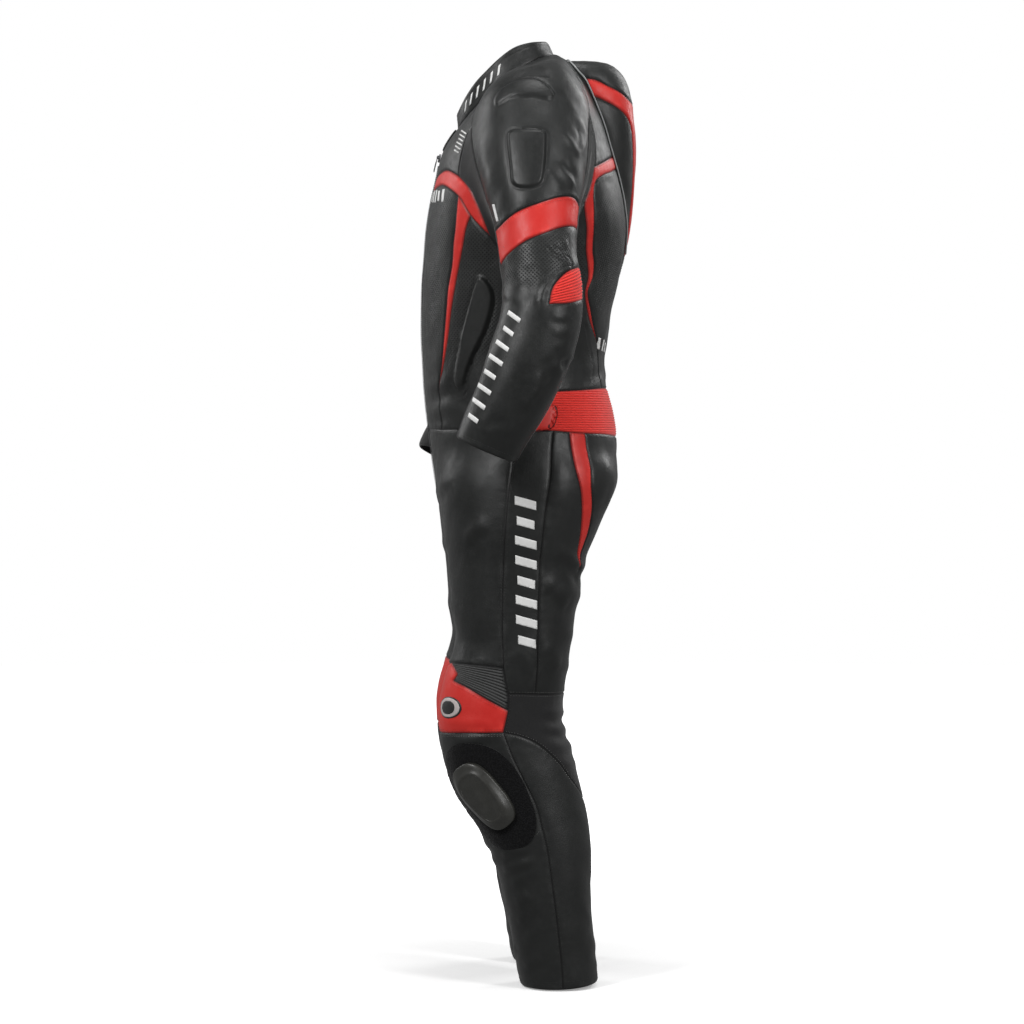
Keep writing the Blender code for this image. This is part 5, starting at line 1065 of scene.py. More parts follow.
ZONES_COLUMNS = ("u_low", "u_high", "v_low", "v_high")     # chart metres, with closer points for a shape that needs them
ZONES = {
    "sleeve_out": ((-0.030, 0.054, -0.205, -0.168), (-0.026, 0.050, -0.158, -0.030), (0.058, 0.098, -0.040, 0.020),
                   (-0.062, 0.004, 0.040, 0.140)),
    "trunk": ((0.150, 0.235, -0.470, -0.290),),
    "leg_front": (),
    "leg_back": (), "sleeve_in": (),
}


def map_fine(chart, seams, rows, pitch, rings=()):
    """As map_chart, with rows beside the seams and the zones' closer points; it also gives each point's place in the
    chart."""
    names, seeds = PANELS[chart]
    half_turn = 180 * CHARTS[chart][2]
    flat, solid_pts, index, edges = [], [], {}, []
    for line in [seams[n] for n in names] + list(rings):
        uv = chart_uv(chart, line)
        ids = []
        for q, f in zip(line, uv):
            key = tuple(np.round(q, 7))
            if key not in index:
                index[key] = len(flat)
                flat.append(f)
                solid_pts.append(q)
            ids.append(index[key])
        for a, b in zip(ids[:-1], ids[1:]):
            if a != b and abs(flat[a][0] - flat[b][0]) < half_turn:
                edges.append((a, b))
    flat = np.array(flat)
    fixed = len(flat)
    lo, hi = flat.min(0), flat.max(0)
    near = rows[np.abs(rows[:, 0]) < 1]
    beside = chart_uv(chart, near)
    beside = beside[((beside > lo - 0.006) & (beside < hi + 0.006)).all(1)]
    closer = [grid_points(chart, np.array([z[0], z[2]]), np.array([z[1], z[3]]), 0.0022)
              for z in ZONES[chart]]
    closer = np.vstack(closer) if closer else np.zeros((0, 2))
    grid = grid_points(chart, lo, hi, pitch)
    parts = [(flat, 0), (beside, 0.0008), (closer, 0.0014), (grid, pitch * 0.62)]
    if chart == "trunk":
        parts.insert(1, (pleat_rows(seams), 0.0004))
    free = accept(parts)
    every = np.vstack([flat, free])
    verts, out_edges, faces, from_v, from_e, _ = delaunay_2d_cdt(
        [Vector(q) for q in every], edges, [], 0, 1e-7, True)
    verts = np.array([tuple(v) for v in verts])
    points = np.zeros((len(verts), 3))
    cast = np.ones(len(verts), bool)
    for i, o in enumerate(from_v):
        known = [k for k in o if k < fixed]
        if known:
            points[i] = solid_pts[known[0]]
            cast[i] = False
    faces = np.array(faces)
    scale = CHARTS[chart][2]
    wall_keys = set()
    n = len(verts)
    for e, o in zip(out_edges, from_e):
        if o:
            a, b = (e[0], e[1]) if e[0] < e[1] else (e[1], e[0])
            wall_keys.add(a * n + b)
    ea = np.concatenate([faces[:, [0, 1]], faces[:, [1, 2]], faces[:, [2, 0]]])
    ea.sort(axis=1)
    keys = ea[:, 0].astype(np.int64) * n + ea[:, 1]
    owner = np.tile(np.arange(len(faces)), 3)
    order = np.argsort(keys, kind="stable")
    keys, owner = keys[order], owner[order]
    same = np.flatnonzero(keys[:-1] == keys[1:])
    links = [[] for _ in range(len(faces))]
    for i in same:
        if int(keys[i]) not in wall_keys:
            a, b = int(owner[i]), int(owner[i + 1])
            links[a].append(b)
            links[b].append(a)
    label = {}
    tri = verts[faces]
    for name, seed in seeds:
        s = chart_uv(chart, snap(np.array([seed], float) / 1000, CHARTS[chart][5]))[0]
        e1, e2, w = tri[:, 1] - tri[:, 0], tri[:, 2] - tri[:, 0], s - tri[:, 0]
        den = e1[:, 0] * e2[:, 1] - e1[:, 1] * e2[:, 0]
        a = (w[:, 0] * e2[:, 1] - w[:, 1] * e2[:, 0]) / den
        b = (e1[:, 0] * w[:, 1] - e1[:, 1] * w[:, 0]) / den
        hits = np.flatnonzero((a >= 0) & (b >= 0) & (a + b <= 1))
        stack = [int(hits[0])]
        if stack[0] in label:
            raise ValueError(name + " runs into " + label[stack[0]])
        while stack:
            f = stack.pop()
            if f in label:
                continue
            label[f] = name
            stack.extend(g for g in links[f] if g not in label)
    ids = np.array(list(label))
    used = np.unique(faces[ids])
    need = used[cast[used]]
    points[need] = reach(chart, verts[need, 0] / scale, verts[need, 1])
    panels = {}
    for f, name in label.items():
        panels.setdefault(name, []).append(f)
    return points, {k: faces[v] for k, v in panels.items()}, verts


def one_fine(points, verts, faces):
    ids, inverse = np.unique(faces, return_inverse=True)
    p, f, uv = points[ids], inverse.reshape(faces.shape), verts[ids]
    n = unit(slope_of(p))
    a, b, c = p[f[:, 0]], p[f[:, 1]], p[f[:, 2]]
    if (np.cross(b - a, c - a) * n[f].mean(1)).sum() < 0:
        f = f[:, ::-1]
    area = np.linalg.norm(np.cross(b - a, c - a), axis=1)
    f = f[area > 1e-12]
    return {"p": p, "n": n, "f": f, "uv": uv}


def finer(panel, levels=1):
    """Each triangle split in four, with the new points set on the form."""
    for _ in range(levels):
        p, n, f, uv = panel["p"], panel["n"], panel["f"], panel["uv"]
        e = np.concatenate([f[:, [0, 1]], f[:, [1, 2]], f[:, [2, 0]]])
        e.sort(axis=1)
        pairs, back = np.unique(e, axis=0, return_inverse=True)
        back = back.reshape(-1)
        k, m = len(p), len(f)
        ab, bc, ca = back[:m] + k, back[m:2 * m] + k, back[2 * m:] + k
        q = (p[pairs[:, 0]] + p[pairs[:, 1]]) / 2
        out = unit(n[pairs[:, 0]] + n[pairs[:, 1]])
        count = np.bincount(back, minlength=len(pairs))
        inner = count > 1
        g = slope_of(q[inner])
        q[inner] -= g * (body(q[inner]) / ((g**2).sum(-1) + 1e-9))[:, None]
        panel = {"p": np.vstack([p, q]), "n": np.vstack([n, out]),
                 "uv": np.vstack([uv, (uv[pairs[:, 0]] + uv[pairs[:, 1]]) / 2]),
                 "f": np.concatenate([np.stack([f[:, 0], ab, ca], -1), np.stack([ab, f[:, 1], bc], -1),
                                      np.stack([ca, bc, f[:, 2]], -1), np.stack([ab, bc, ca], -1)])}
        if "s" in panel:
            del panel["s"]
    return panel


RIBBED = ("waist", "knee_pleats", "elbow_pleats")


def fine_panels():
    fine, marks = make_seams()
    seams = sample(fine, marks, SEAM_STEP)
    dense = np.vstack([resampled(line, 0.0005) for line in seams.values()])
    tree = kd_of(dense)
    rows = side_rows(seams, tree)
    out = {}
    for chart in PANELS:
        rings = []
        if chart == "leg_front":
            for ring, count in zip((GROUND, PUCK), (96, 72)):
                r = knee_ring(ring, count)
                rings.append(np.vstack([r, r[:1]]))
        points, panels, flat = map_fine(chart, seams, rows, PANEL_PITCH, rings)
        if chart == "leg_front":
            panels["knee_ground"] = np.vstack([panels["knee_ground"], panels["knee_foot"]])
            panels["shin"] = np.vstack([panels["shin"], panels["knee_ground"]])
        for name, faces in panels.items():
            panel = one_fine(points, flat, faces)
            if name in RIBBED:
                ribbing = Ribbing(name, seams)
                panel = combed(panel, ribbing, chart)
                panel["ribbing"] = ribbing
            panel["chart"] = chart
            panel["s"], at = nearest(tree, panel["p"])
            panel["arc"] = at * 0.0005
            if name == "knee_ground":
                ring = knee_ring(GROUND, 600)
                panel["ring"], _ = nearest(kd_of(ring), panel["p"])
            out[name] = panel
    return out, seams, fine, dense


# ---------------------------------------------------------------- the side view
# Shapes on the outer side are drawn in the side view, in units of 1.52 mm on the plane x = 0, 1024 units each way,
# as they are seen from 4.4 m.
VIEW_D, VIEW_TURN, VIEW_UNIT = 4.4, math.radians(2.5), 0.00152
VIEW_AIM = np.array([0.0, -0.020, -0.645])
VIEW_FWD = np.array([-math.cos(VIEW_TURN), math.sin(VIEW_TURN), 0.0])
VIEW_RIGHT = np.array([math.sin(VIEW_TURN), math.cos(VIEW_TURN), 0.0])
VIEW_UP = np.array([0.0, 0.0, 1.0])
VIEW_FROM = VIEW_AIM - VIEW_FWD * VIEW_D


def seen(p):
    """Side-view units of points, as if they were all on the left half."""
    q = np.array(p, float)
    q[..., 0] = np.abs(q[..., 0])
    r = q - VIEW_FROM
    w = r @ VIEW_FWD
    return np.stack([512 + (r @ VIEW_RIGHT) / w * VIEW_D / VIEW_UNIT,
                     512 - (r @ VIEW_UP) / w * VIEW_D / VIEW_UNIT], -1)


def looked_at(units, parts="trunk hump legs arms"):
    """The form's points that are seen at these side-view units; those that miss it take the nearest one that hits."""
    u = np.asarray(units, float)
    a, b = (u[:, 0] - 512) * VIEW_UNIT / VIEW_D, (512 - u[:, 1]) * VIEW_UNIT / VIEW_D
    way = unit(VIEW_FWD + a[:, None] * VIEW_RIGHT + b[:, None] * VIEW_UP)
    t, hit, live = np.full(len(u), 3.9), np.zeros(len(u), bool), np.ones(len(u), bool)
    for _ in range(110):
        ids = np.flatnonzero(live)
        if not len(ids):
            break
        f = body(VIEW_FROM + way[ids] * t[ids][:, None], parts)
        done = f < 0.0004
        hit[ids[done]] = True
        t[ids[~done]] += np.maximum(f[~done] * 0.8, 0.0004)
        live[ids[done | (t[ids] > 4.75)]] = False
    p = VIEW_FROM + way * t[:, None]
    good = np.flatnonzero(hit)
    for i in np.flatnonzero(~hit):
        j = good[np.abs(u[good] - u[i]).sum(1).argmin()]
        p[i] = p[j]
    return p


def curve2(points, step):
    """A smooth flat curve through points, sampled about every step."""
    p = np.asarray(points, float)
    c = through(np.column_stack([p, np.zeros(len(p))]), step)
    return c[:, :2]


def closed2(points, step):
    """A smooth closed flat curve through points."""
    p = np.asarray(points, float)
    ring = np.vstack([p[-2:], p, p[:3]])
    c = through(np.column_stack([ring, np.zeros(len(ring))]), step)[:, :2]
    first = int(np.linalg.norm(c - p[0], axis=1).argmin())
    rest = c[first + 5:]
    last = first + 5 + int(np.linalg.norm(rest - p[0], axis=1).argmin())
    return c[first:last]


def inside(loop, q):
    """Which flat points lie in a closed loop."""
    out = np.zeros(len(q), bool)
    a, b = loop, np.roll(loop, -1, axis=0)
    for (x0, y0), (x1, y1) in zip(a, b):
        if y0 == y1:
            continue
        cross = (y0 > q[:, 1]) != (y1 > q[:, 1])
        out ^= cross & (q[:, 0] < x0 + (q[:, 1] - y0) * (x1 - x0) / (y1 - y0))
    return out


def smoothstep(x, lo=0.0, hi=1.0):
    t = np.clip((np.asarray(x, float) - lo) / (hi - lo), 0, 1)
    return t * t * (3 - 2 * t)


# ---------------------------------------------------------------- folds, armour and ribs
ARM = ("shoulder", "sleeve_band", "sleeve_outer", "elbow_pleats", "sleeve_under")
LEG_PANELS = ("thigh_front", "thigh_side", "seat", "hip_stripe", "knee_pleats", "knee_panel", "shin", "knee_ground",
              "knee_back", "calf")


def group_of(name):
    return "arm" if name in ARM else "leg" if name in LEG_PANELS else "trunk"


# Each fold: where it is, how wide it is on its two sides and how high, in millimetres (a minus is a crease), and
# the side-view points that it runs through. A plus width comes first on the left of its way.
FOLD_COLUMNS = ("group", "width_left", "width_right", "height", "points")
FOLDS = (
    # shoulder and upper arm
    ("arm", 6, 9, 1.6, ((570, 118), (579, 121), (585, 131), (585, 145), (577, 152))),
    ("arm", 4, 4, -1.2, ((572, 126), (578, 130), (580, 139), (577, 147), (571, 149))),
    ("arm", 7, 5, 1.8, ((562, 130), (569, 140), (577, 150), (581, 160))),
    ("arm", 5, 8, 1.9, ((556, 160), (563, 171), (572, 181), (577, 190))),
    ("arm", 6, 5, -1.4, ((562, 158), (570, 168), (578, 177))),
    ("arm", 6, 10, 1.3, ((548, 168), (554, 180), (564, 190))),
    ("arm", 10, 14, 1.0, ((484, 130), (483, 150), (489, 175), (494, 195))),
    ("arm", 9, 9, 0.9, ((560, 95), (570, 105), (576, 114))),
    # upper sleeve under the band, and round the elbow
    ("arm", 4, 7, 2.2, ((548, 238), (551, 246), (560, 253), (569, 257))),
    ("arm", 5, 3, -2.2, ((546, 243), (551, 251), (560, 257), (568, 260))),
    ("arm", 8, 8, 1.4, ((556, 236), (562, 242), (569, 245))),
    ("arm", 9, 7, 1.6, ((501, 292), (508, 296), (517, 299), (525, 306))),
    ("arm", 7, 9, -1.0, ((503, 302), (512, 306), (520, 312))),
    ("arm", 12, 12, -1.6, ((527, 262), (530, 275), (533, 290), (532, 303))),
    ("arm", 8, 8, 1.2, ((512, 262), (517, 275), (523, 288))),
    # forearm
    ("arm", 5, 6, 1.5, ((549, 315), (560, 317), (571, 315))),
    ("arm", 5, 5, -1.0, ((548, 321), (560, 323), (571, 320))),
    ("arm", 6, 6, 1.2, ((550, 330), (561, 332), (572, 329))),
    ("arm", 6, 6, 0.9, ((551, 343), (561, 346), (571, 343))),
    ("arm", 5, 7, -3.2, ((560, 364), (564, 363), (569, 362))),
    ("arm", 7, 5, 1.6, ((555, 358), (560, 354), (568, 354), (574, 359))),
    ("arm", 6, 8, 1.7, ((552, 372), (557, 366), (561, 372), (559, 380))),
    ("arm", 9, 9, -1.6, ((545, 356), (548, 370), (546, 386))),
    ("arm", 10, 10, 1.5, ((536, 372), (538, 384), (533, 398))),
    ("arm", 7, 9, 1.2, ((541, 388), (530, 400), (518, 408))),
    ("arm", 8, 6, -1.2, ((543, 396), (532, 408), (520, 416))),
    ("arm", 8, 8, 1.0, ((486, 436), (496, 430), (507, 431), (517, 425))),
    ("arm", 7, 7, -0.9, ((484, 428), (496, 422), (508, 422))),
    ("arm", 12, 16, 1.0, ((495, 335), (489, 355), (482, 380), (473, 405))),
    # front and side of the chest
    ("trunk", 9, 9, 1.3, ((431, 410), (444, 404), (456, 408), (466, 416))),
    ("trunk", 8, 8, -1.0, ((430, 422), (442, 418), (454, 424))),
    ("trunk", 9, 9, 1.1, ((428, 434), (440, 430), (452, 436))),
    ("trunk", 10, 10, 1.0, ((462, 228), (472, 238), (480, 252), (486, 266))),
    ("trunk", 9, 7, -1.2, ((486, 238), (491, 252), (496, 268))),
    ("trunk", 10, 10, -1.2, ((424, 250), (425, 300), (426, 350))),
    # side of the back
    ("trunk", 9, 9, 1.3, ((600, 272), (608, 262), (617, 255), (625, 250))),
    ("trunk", 8, 8, -1.1, ((598, 283), (608, 272), (620, 264))),
    ("trunk", 10, 10, 1.0, ((604, 205), (608, 225), (610, 245))),
    ("trunk", 10, 10, 1.2, ((580, 378), (590, 368), (600, 362), (608, 360))),
    ("trunk", 8, 8, -1.2, ((584, 386), (594, 376), (606, 372))),
    ("trunk", 8, 10, 1.1, ((592, 160), (594, 140), (590, 120))),
    # seat and thigh
    ("leg", 9, 14, 3.0, ((553, 543), (561, 550), (571, 558), (580, 569), (584, 582))),
    ("leg", 9, 8, -2.2, ((556, 556), (565, 564), (574, 574), (579, 586))),
    ("leg", 10, 14, 2.4, ((545, 573), (551, 583), (561, 596), (570, 606))),
    ("leg", 9, 9, -1.7, ((546, 588), (554, 600), (563, 610))),
    ("leg", 12, 14, 1.5, ((545, 640), (553, 654), (561, 668))),
    ("leg", 12, 12, 1.5, ((512, 645), (521, 656), (529, 668), (532, 680))),
    ("leg", 10, 10, -1.0, ((512, 658), (520, 668), (525, 680))),
    ("leg", 10, 12, 2.0, ((464, 546), (470, 535), (478, 527), (490, 520))),
    ("leg", 9, 8, -1.5, ((466, 556), (476, 542), (492, 532))),
    ("leg", 14, 14, 1.1, ((556, 445), (562, 465), (563, 490), (560, 512))),
    ("leg", 12, 12, 1.2, ((604, 455), (606, 480), (600, 505))),
    ("leg", 10, 12, 1.5, ((447, 600), (458, 610), (470, 616), (484, 615))),
    ("leg", 12, 12, 1.1, ((449, 640), (462, 650), (478, 655), (492, 652))),
    # knee and shin
    ("leg", 6, 7, 1.2, ((440, 720), (455, 722), (475, 722), (500, 724))),
    ("leg", 6, 6, 1.6, ((448, 741), (470, 740), (490, 737), (501, 742))),
    ("leg", 5, 6, -1.3, ((450, 748), (468, 747), (486, 744), (500, 748))),
    ("leg", 7, 8, 2.0, ((500, 857), (508, 853), (519, 850), (531, 846))),
    ("leg", 6, 6, -1.5, ((502, 863), (512, 859), (524, 856), (534, 852))),
    ("leg", 7, 8, 2.2, ((501, 871), (509, 869), (519, 866), (530, 862), (540, 857))),
    ("leg", 6, 6, -1.5, ((504, 877), (514, 874), (526, 870), (537, 865))),
    ("leg", 8, 8, 1.6, ((508, 884), (520, 878), (532, 871), (541, 865))),
    ("leg", 10, 12, 1.3, ((515, 905), (522, 900), (531, 893))),
    ("leg", 9, 11, 1.5, ((524, 944), (530, 937), (538, 929), (546, 923))),
    ("leg", 9, 9, 1.2, ((519, 925), (524, 915), (530, 908))),
    ("leg", 8, 8, 1.3, ((524, 968), (533, 962), (545, 958))),
    ("leg", 8, 8, -0.9, ((526, 974), (536, 969), (548, 966))),
    ("leg", 9, 9, 1.0, ((582, 905), (589, 915), (591, 930))),
)
# Folds where the side view doesn't reach: the chart, widths, height, and points as degrees and height (or, on a
# sleeve, distance) in millimetres.
FOLDS_ROUND_COLUMNS = ("chart", "width_left", "width_right", "height", "points")
FOLDS_ROUND = (
    # backs of the thighs and the seat
    ("leg_back", 10, 12, 3.0, ((322, -712), (300, -722), (278, -724), (250, -716), (222, -704))),
    ("leg_back", 9, 9, -2.2, ((318, -730), (296, -738), (272, -740), (244, -734))),
    ("leg_back", 10, 12, 2.4, ((330, -752), (304, -764), (276, -770), (248, -764))),
    ("leg_back", 9, 9, -1.4, ((322, -786), (296, -792), (270, -792))),
    ("leg_back", 12, 12, 1.6, ((318, -822), (290, -828), (262, -826), (236, -816))),
    ("leg_back", 14, 14, 1.6, ((300, -560), (288, -590), (282, -620), (284, -650))),
    ("leg_back", 12, 12, 1.4, ((240, -604), (236, -636), (242, -668))),
    ("leg_back", 9, 9, 1.8, ((330, -868), (300, -872), (270, -874), (240, -870))),
    # behind the knee
    ("leg_back", 6, 7, 1.9, ((330, -936), (300, -940), (270, -942), (240, -940), (212, -936))),
    ("leg_back", 5, 6, -1.6, ((326, -945), (298, -950), (270, -952), (242, -950))),
    ("leg_back", 6, 7, 2.1, ((334, -958), (302, -963), (270, -966), (238, -963), (206, -958))),
    ("leg_back", 5, 6, -1.6, ((326, -968), (298, -974), (270, -977), (242, -974))),
    ("leg_back", 6, 8, 1.8, ((330, -982), (302, -988), (270, -991), (238, -988), (210, -982))),
    ("leg_back", 7, 8, 1.2, ((318, -1008), (294, -1014), (270, -1016), (246, -1014))),
    # calf
    ("leg_back", 14, 14, 1.3, ((300, -1130), (286, -1160), (280, -1195))),
    ("leg_back", 12, 12, 1.3, ((236, -1190), (250, -1215), (262, -1245))),
    ("leg_back", 10, 12, 1.7, ((312, -1272), (290, -1282), (266, -1284), (242, -1276))),
    ("leg_back", 9, 9, 1.4, ((300, -1306), (276, -1312), (250, -1310))),
    # fronts of the thighs, crotch and shins
    ("leg_front", 10, 12, 2.6, ((158, -690), (136, -700), (112, -700), (88, -690), (66, -676))),
    ("leg_front", 9, 9, -1.8, ((150, -706), (128, -714), (104, -712), (80, -702))),
    ("leg_front", 10, 12, 2.2, ((164, -728), (142, -742), (118, -744), (96, -736))),
    ("leg_front", 10, 12, 1.8, ((60, -592), (82, -606), (106, -620), (130, -640))),
    ("leg_front", 9, 9, -1.2, ((64, -610), (86, -624), (108, -638), (128, -656))),
    ("leg_front", 12, 14, 1.6, ((150, -776), (126, -788), (100, -790), (76, -780))),
    ("leg_front", 10, 12, 1.4, ((138, -822), (112, -832), (88, -832))),
    ("leg_front", 8, 9, 1.8, ((62, -1128), (86, -1134), (110, -1134), (134, -1128))),
    ("leg_front", 8, 9, 1.8, ((56, -1150), (80, -1158), (106, -1160), (130, -1154), (150, -1142))),
    ("leg_front", 7, 7, -1.2, ((66, -1142), (90, -1148), (114, -1148))),
    ("leg_front", 12, 12, 1.4, ((104, -1200), (92, -1230), (90, -1262))),
    ("leg_front", 9, 10, 1.6, ((60, -1284), (84, -1294), (110, -1296), (134, -1288))),
    ("leg_front", 9, 10, 1.3, ((76, -1316), (100, -1322), (126, -1320))),
    ("leg_front", 10, 12, 1.6, ((168, -760), (172, -790), (170, -830), (164, -860))),
    # chest, belly and lower back
    ("trunk", 10, 12, 1.4, ((4, -440), (18, -444), (34, -440), (50, -430))),
    ("trunk", 9, 9, -1.1, ((6, -458), (22, -462), (38, -458), (52, -448))),
    ("trunk", 10, 12, 1.3, ((4, -480), (20, -486), (38, -482), (54, -472))),
    ("trunk", 14, 14, 1.2, ((24, -250), (20, -290), (22, -330), (28, -370))),
    ("trunk", 10, 12, 1.3, ((158, -330), (150, -352), (144, -372), (140, -392))),
    ("trunk", 10, 12, 1.6, ((176, -432), (162, -426), (148, -430), (134, -438))),
    ("trunk", 9, 9, -1.1, ((178, -444), (162, -440), (148, -444))),
    ("trunk", 12, 14, 1.3, ((178, -340), (170, -372), (166, -402))),
    ("trunk", 12, 14, 1.0, ((160, -286), (152, -306), (146, -328))),
    # inner arm
    ("sleeve_in", 7, 8, 2.2, ((112, 92), (142, 100), (176, 103), (210, 100), (244, 92))),
    ("sleeve_in", 6, 6, -1.8, ((118, 104), (146, 112), (176, 115), (208, 112))),
    ("sleeve_in", 7, 8, 2.2, ((106, 116), (140, 125), (176, 129), (212, 125), (248, 116))),
    ("sleeve_in", 6, 6, -1.8, ((120, 130), (148, 137), (178, 140), (206, 138))),
    ("sleeve_in", 7, 8, 1.9, ((112, 142), (142, 150), (176, 153), (212, 150))),
    ("sleeve_in", 8, 10, 1.5, ((120, 168), (150, 176), (182, 178))),
    ("sleeve_in", 8, 10, 1.5, ((134, 60), (164, 66), (196, 66), (226, 60))),
    ("sleeve_in", 8, 10, 1.6, ((128, 34), (158, 40), (192, 41), (224, 36))),
    ("sleeve_in", 9, 12, 1.2, ((110, 230), (136, 246), (166, 256))),
    ("sleeve_in", 9, 12, 1.4, ((236, 262), (212, 274), (186, 280))),
    ("sleeve_in", 8, 9, 1.4, ((120, 300), (150, 310), (184, 314), (218, 308))),
)
# Padded or moulded areas with a clear edge: how high, how wide the rounded edge is and how deep the groove round
# it, in millimetres, and the side-view outline.
STAMP_COLUMNS = ("name", "group", "height", "edge", "groove", "points")
STAMPS = (
    ("plate", "arm", 3.0, 6.0, 1.1, ((506.5, 140), (507, 133), (511, 129.4), (520, 128.2), (528, 128), (537, 128.3),
                                     (544, 129.6), (547.3, 133), (547.6, 141), (547, 158), (545.2, 174), (542.6, 183),
                                     (536, 187.2), (525, 189), (516, 187.6), (511.3, 183), (509.2, 166), (507.3, 150))),
    ("crescent", "arm", 2.3, 4.2, 0.5, ((494, 105), (493.6, 100), (497, 93), (504, 86.5), (513, 81.5), (524, 78.6),
                                        (536, 78.4), (545, 82.5), (551, 88.5), (554.6, 94.5), (553, 98.5),
                                        (548.5, 100.5), (543, 98.3), (532, 96.4), (520, 96.8), (509, 99.4),
                                        (501, 103.6), (497, 106.4))),
    ("vent", "arm", -3.2, 2.6, 0.0, ((514, 79), (516.5, 74.5), (522, 70.5), (530, 67.2), (539, 65.6), (546, 69),
                                     (550.5, 73), (549.5, 76.4), (542, 76), (532, 75.4), (522, 77))),
    ("waist_tab", "trunk", 1.5, 1.6, 1.5, ((528, 405.0), (540, 404.6), (549, 404.8), (554.4, 406.6), (556.4, 411),
                                           (555.6, 418), (553, 425), (549, 429), (540, 430.4), (528, 430.4), (520, 430),
                                           (516, 418), (519, 406))),
    ("leaf", "trunk", 3.8, 7.0, 1.4, ((478.5, 273.5), (484.5, 276.5), (491, 284), (494.6, 293), (495.2, 301),
                                      (492.2, 316), (486.5, 333), (476.5, 353), (469.6, 369), (465, 384),
                                      (461.5, 390.5), (457, 390.2), (453.6, 384), (453, 374.5), (457, 349),
                                      (462.7, 323.6), (469, 300), (474, 283.6))),
)
# Welts and sewn lines that aren't a panel's edge: height and half width in millimetres, and side-view points
LINES = (
    ("arm", -1.5, 1.3, ((550, 240), (552.5, 247.5), (561, 253.4), (569, 257), (572.6, 263.5))),
    ("arm", -1.5, 1.3, ((572, 265), (564, 267.4), (556, 271.4), (546.5, 280), (540, 290), (537.2, 301), (540.6, 308.6),
                        (546, 310.4))),
    ("arm", 1.3, 2.6, ((570, 268), (562, 270.6), (555, 274.6), (548.6, 281.6), (543, 291), (541, 300))),
    ("trunk", -1.4, 1.3, ((579, 258), (581.5, 275), (583, 292), (585, 321), (588.5, 340), (591.5, 356), (593.4, 380))),
    ("trunk", -1.2, 1.2, ((450.4, 378), (450.6, 386), (453.6, 393.4), (459, 396.6), (464.4, 394), (468, 386))),
    ("trunk", -1.0, 1.0, ((434.6, 268.4), (438.4, 268.2), (437.8, 284), (436.8, 300.6), (433, 300.8), (433.6, 284),
                          (434.6, 268.4))),
    ("leg", -0.9, 1.1, ((474, 662), (488, 664.6), (503, 667.8))),
)


def noise3(p, size, seed):
    """A smooth field of about -1 to 1, as a fixed sum of waves about size long."""
    out = np.zeros(len(p))
    for i in range(6):
        a = seed * 12.9898 + i * 78.233
        way = unit(np.array([math.sin(a), math.sin(a * 1.7 + 1.3), math.sin(a * 2.3 + 4.1)]))
        out += np.sin(p @ way * (2 * math.pi / (size * (0.75 + 0.13 * i))) + a * 3.1)
    return out / 3.4


class Line3:
    """A line on the form: distance from it, on which side, and how far along."""

    def __init__(self, pts, closed=False):
        self.p = pts
        self.closed = closed
        d = np.roll(pts, -1, axis=0) - np.roll(pts, 1, axis=0) if closed else np.gradient(pts, axis=0)
        self.t = unit(d)
        self.side = np.cross(unit(slope_of(pts)), self.t)
        run = np.concatenate([[0], np.cumsum(np.linalg.norm(np.diff(pts, axis=0), axis=1))])
        self.length = run[-1]
        self.run = run / max(run[-1], 1e-9)
        self.lo, self.hi = pts.min(0), pts.max(0)

    def near(self, p, reach_out):
        return np.flatnonzero(((p > self.lo - reach_out) & (p < self.hi + reach_out)).all(1))

    def measure(self, p):
        d, side, run = np.empty(len(p)), np.empty(len(p)), np.empty(len(p))
        for a in range(0, len(p), 4000):
            q = p[a:a + 4000]
            w = ((q[:, None] - self.p[None]) ** 2).sum(-1)
            i = w.argmin(1)
            rel = q - self.p[i]
            along = (rel * self.t[i]).sum(-1)
            if not self.closed:
                end = ((i == 0) & (along < 0)) | ((i == len(self.p) - 1) & (along > 0))
                square = np.where(end, w[np.arange(len(q)), i], np.maximum(w[np.arange(len(q)), i] - along**2, 0))
            else:
                square = np.maximum(w[np.arange(len(q)), i] - along**2, 0)
            d[a:a + 4000] = np.sqrt(square)
            side[a:a + 4000] = (rel * self.side[i]).sum(-1)
            run[a:a + 4000] = self.run[i]
        return d, side, run


def seen_line(points, step=1.2, parts="trunk hump legs arms"):
    return Line3(looked_at(curve2(points, step), parts))


ALL_PARTS, NO_ARMS = "trunk hump legs arms", "trunk hump legs"


def make_features():
    folds = [(g, wl, wr, h, seen_line(pts)) for g, wl, wr, h, pts in FOLDS]
    for chart, wl, wr, h, pts in FOLDS_ROUND:
        q = curve2(pts, 2.5)
        g = {"t": "trunk", "l": "leg", "s": "arm"}[chart[0]]
        folds.append((g, wl, wr, h, Line3(reach(chart, q[:, 0], q[:, 1] / 1000))))
    stamps = []
    for name, g, h, edge, groove, pts in STAMPS:
        loop = closed2(pts, 0.8)
        stamps.append((name, g, h, edge, groove, loop, Line3(looked_at(loop, NO_ARMS if g == "trunk" else ALL_PARTS), True)))
    lines = [(g, h, w, seen_line(pts, 0.8, NO_ARMS if g == "trunk" else ALL_PARTS)) for g, h, w, pts in LINES]
    return folds, stamps, lines


def facing(p, n):
    """How much the surface faces the side view, on either half."""
    m = n.copy()
    m[:, 0] *= np.sign(p[:, 0] + 1e-9)
    return -(m @ VIEW_FWD)


# How strong the painted shade is in the groove round each moulded shape (0.45 for those not listed)
STAMP_GROOVE_SHADE = {"waist_tab": 0.0, "plate": 0.35, "vent": 0.8, "crescent": 0.25}
SEAM_DIP, SEAM_PULL = 0.0012, 0.0007
LEATHER_WAVES = ((0.105, 0.0009), (0.048, 0.00040), (0.023, 0.00014))


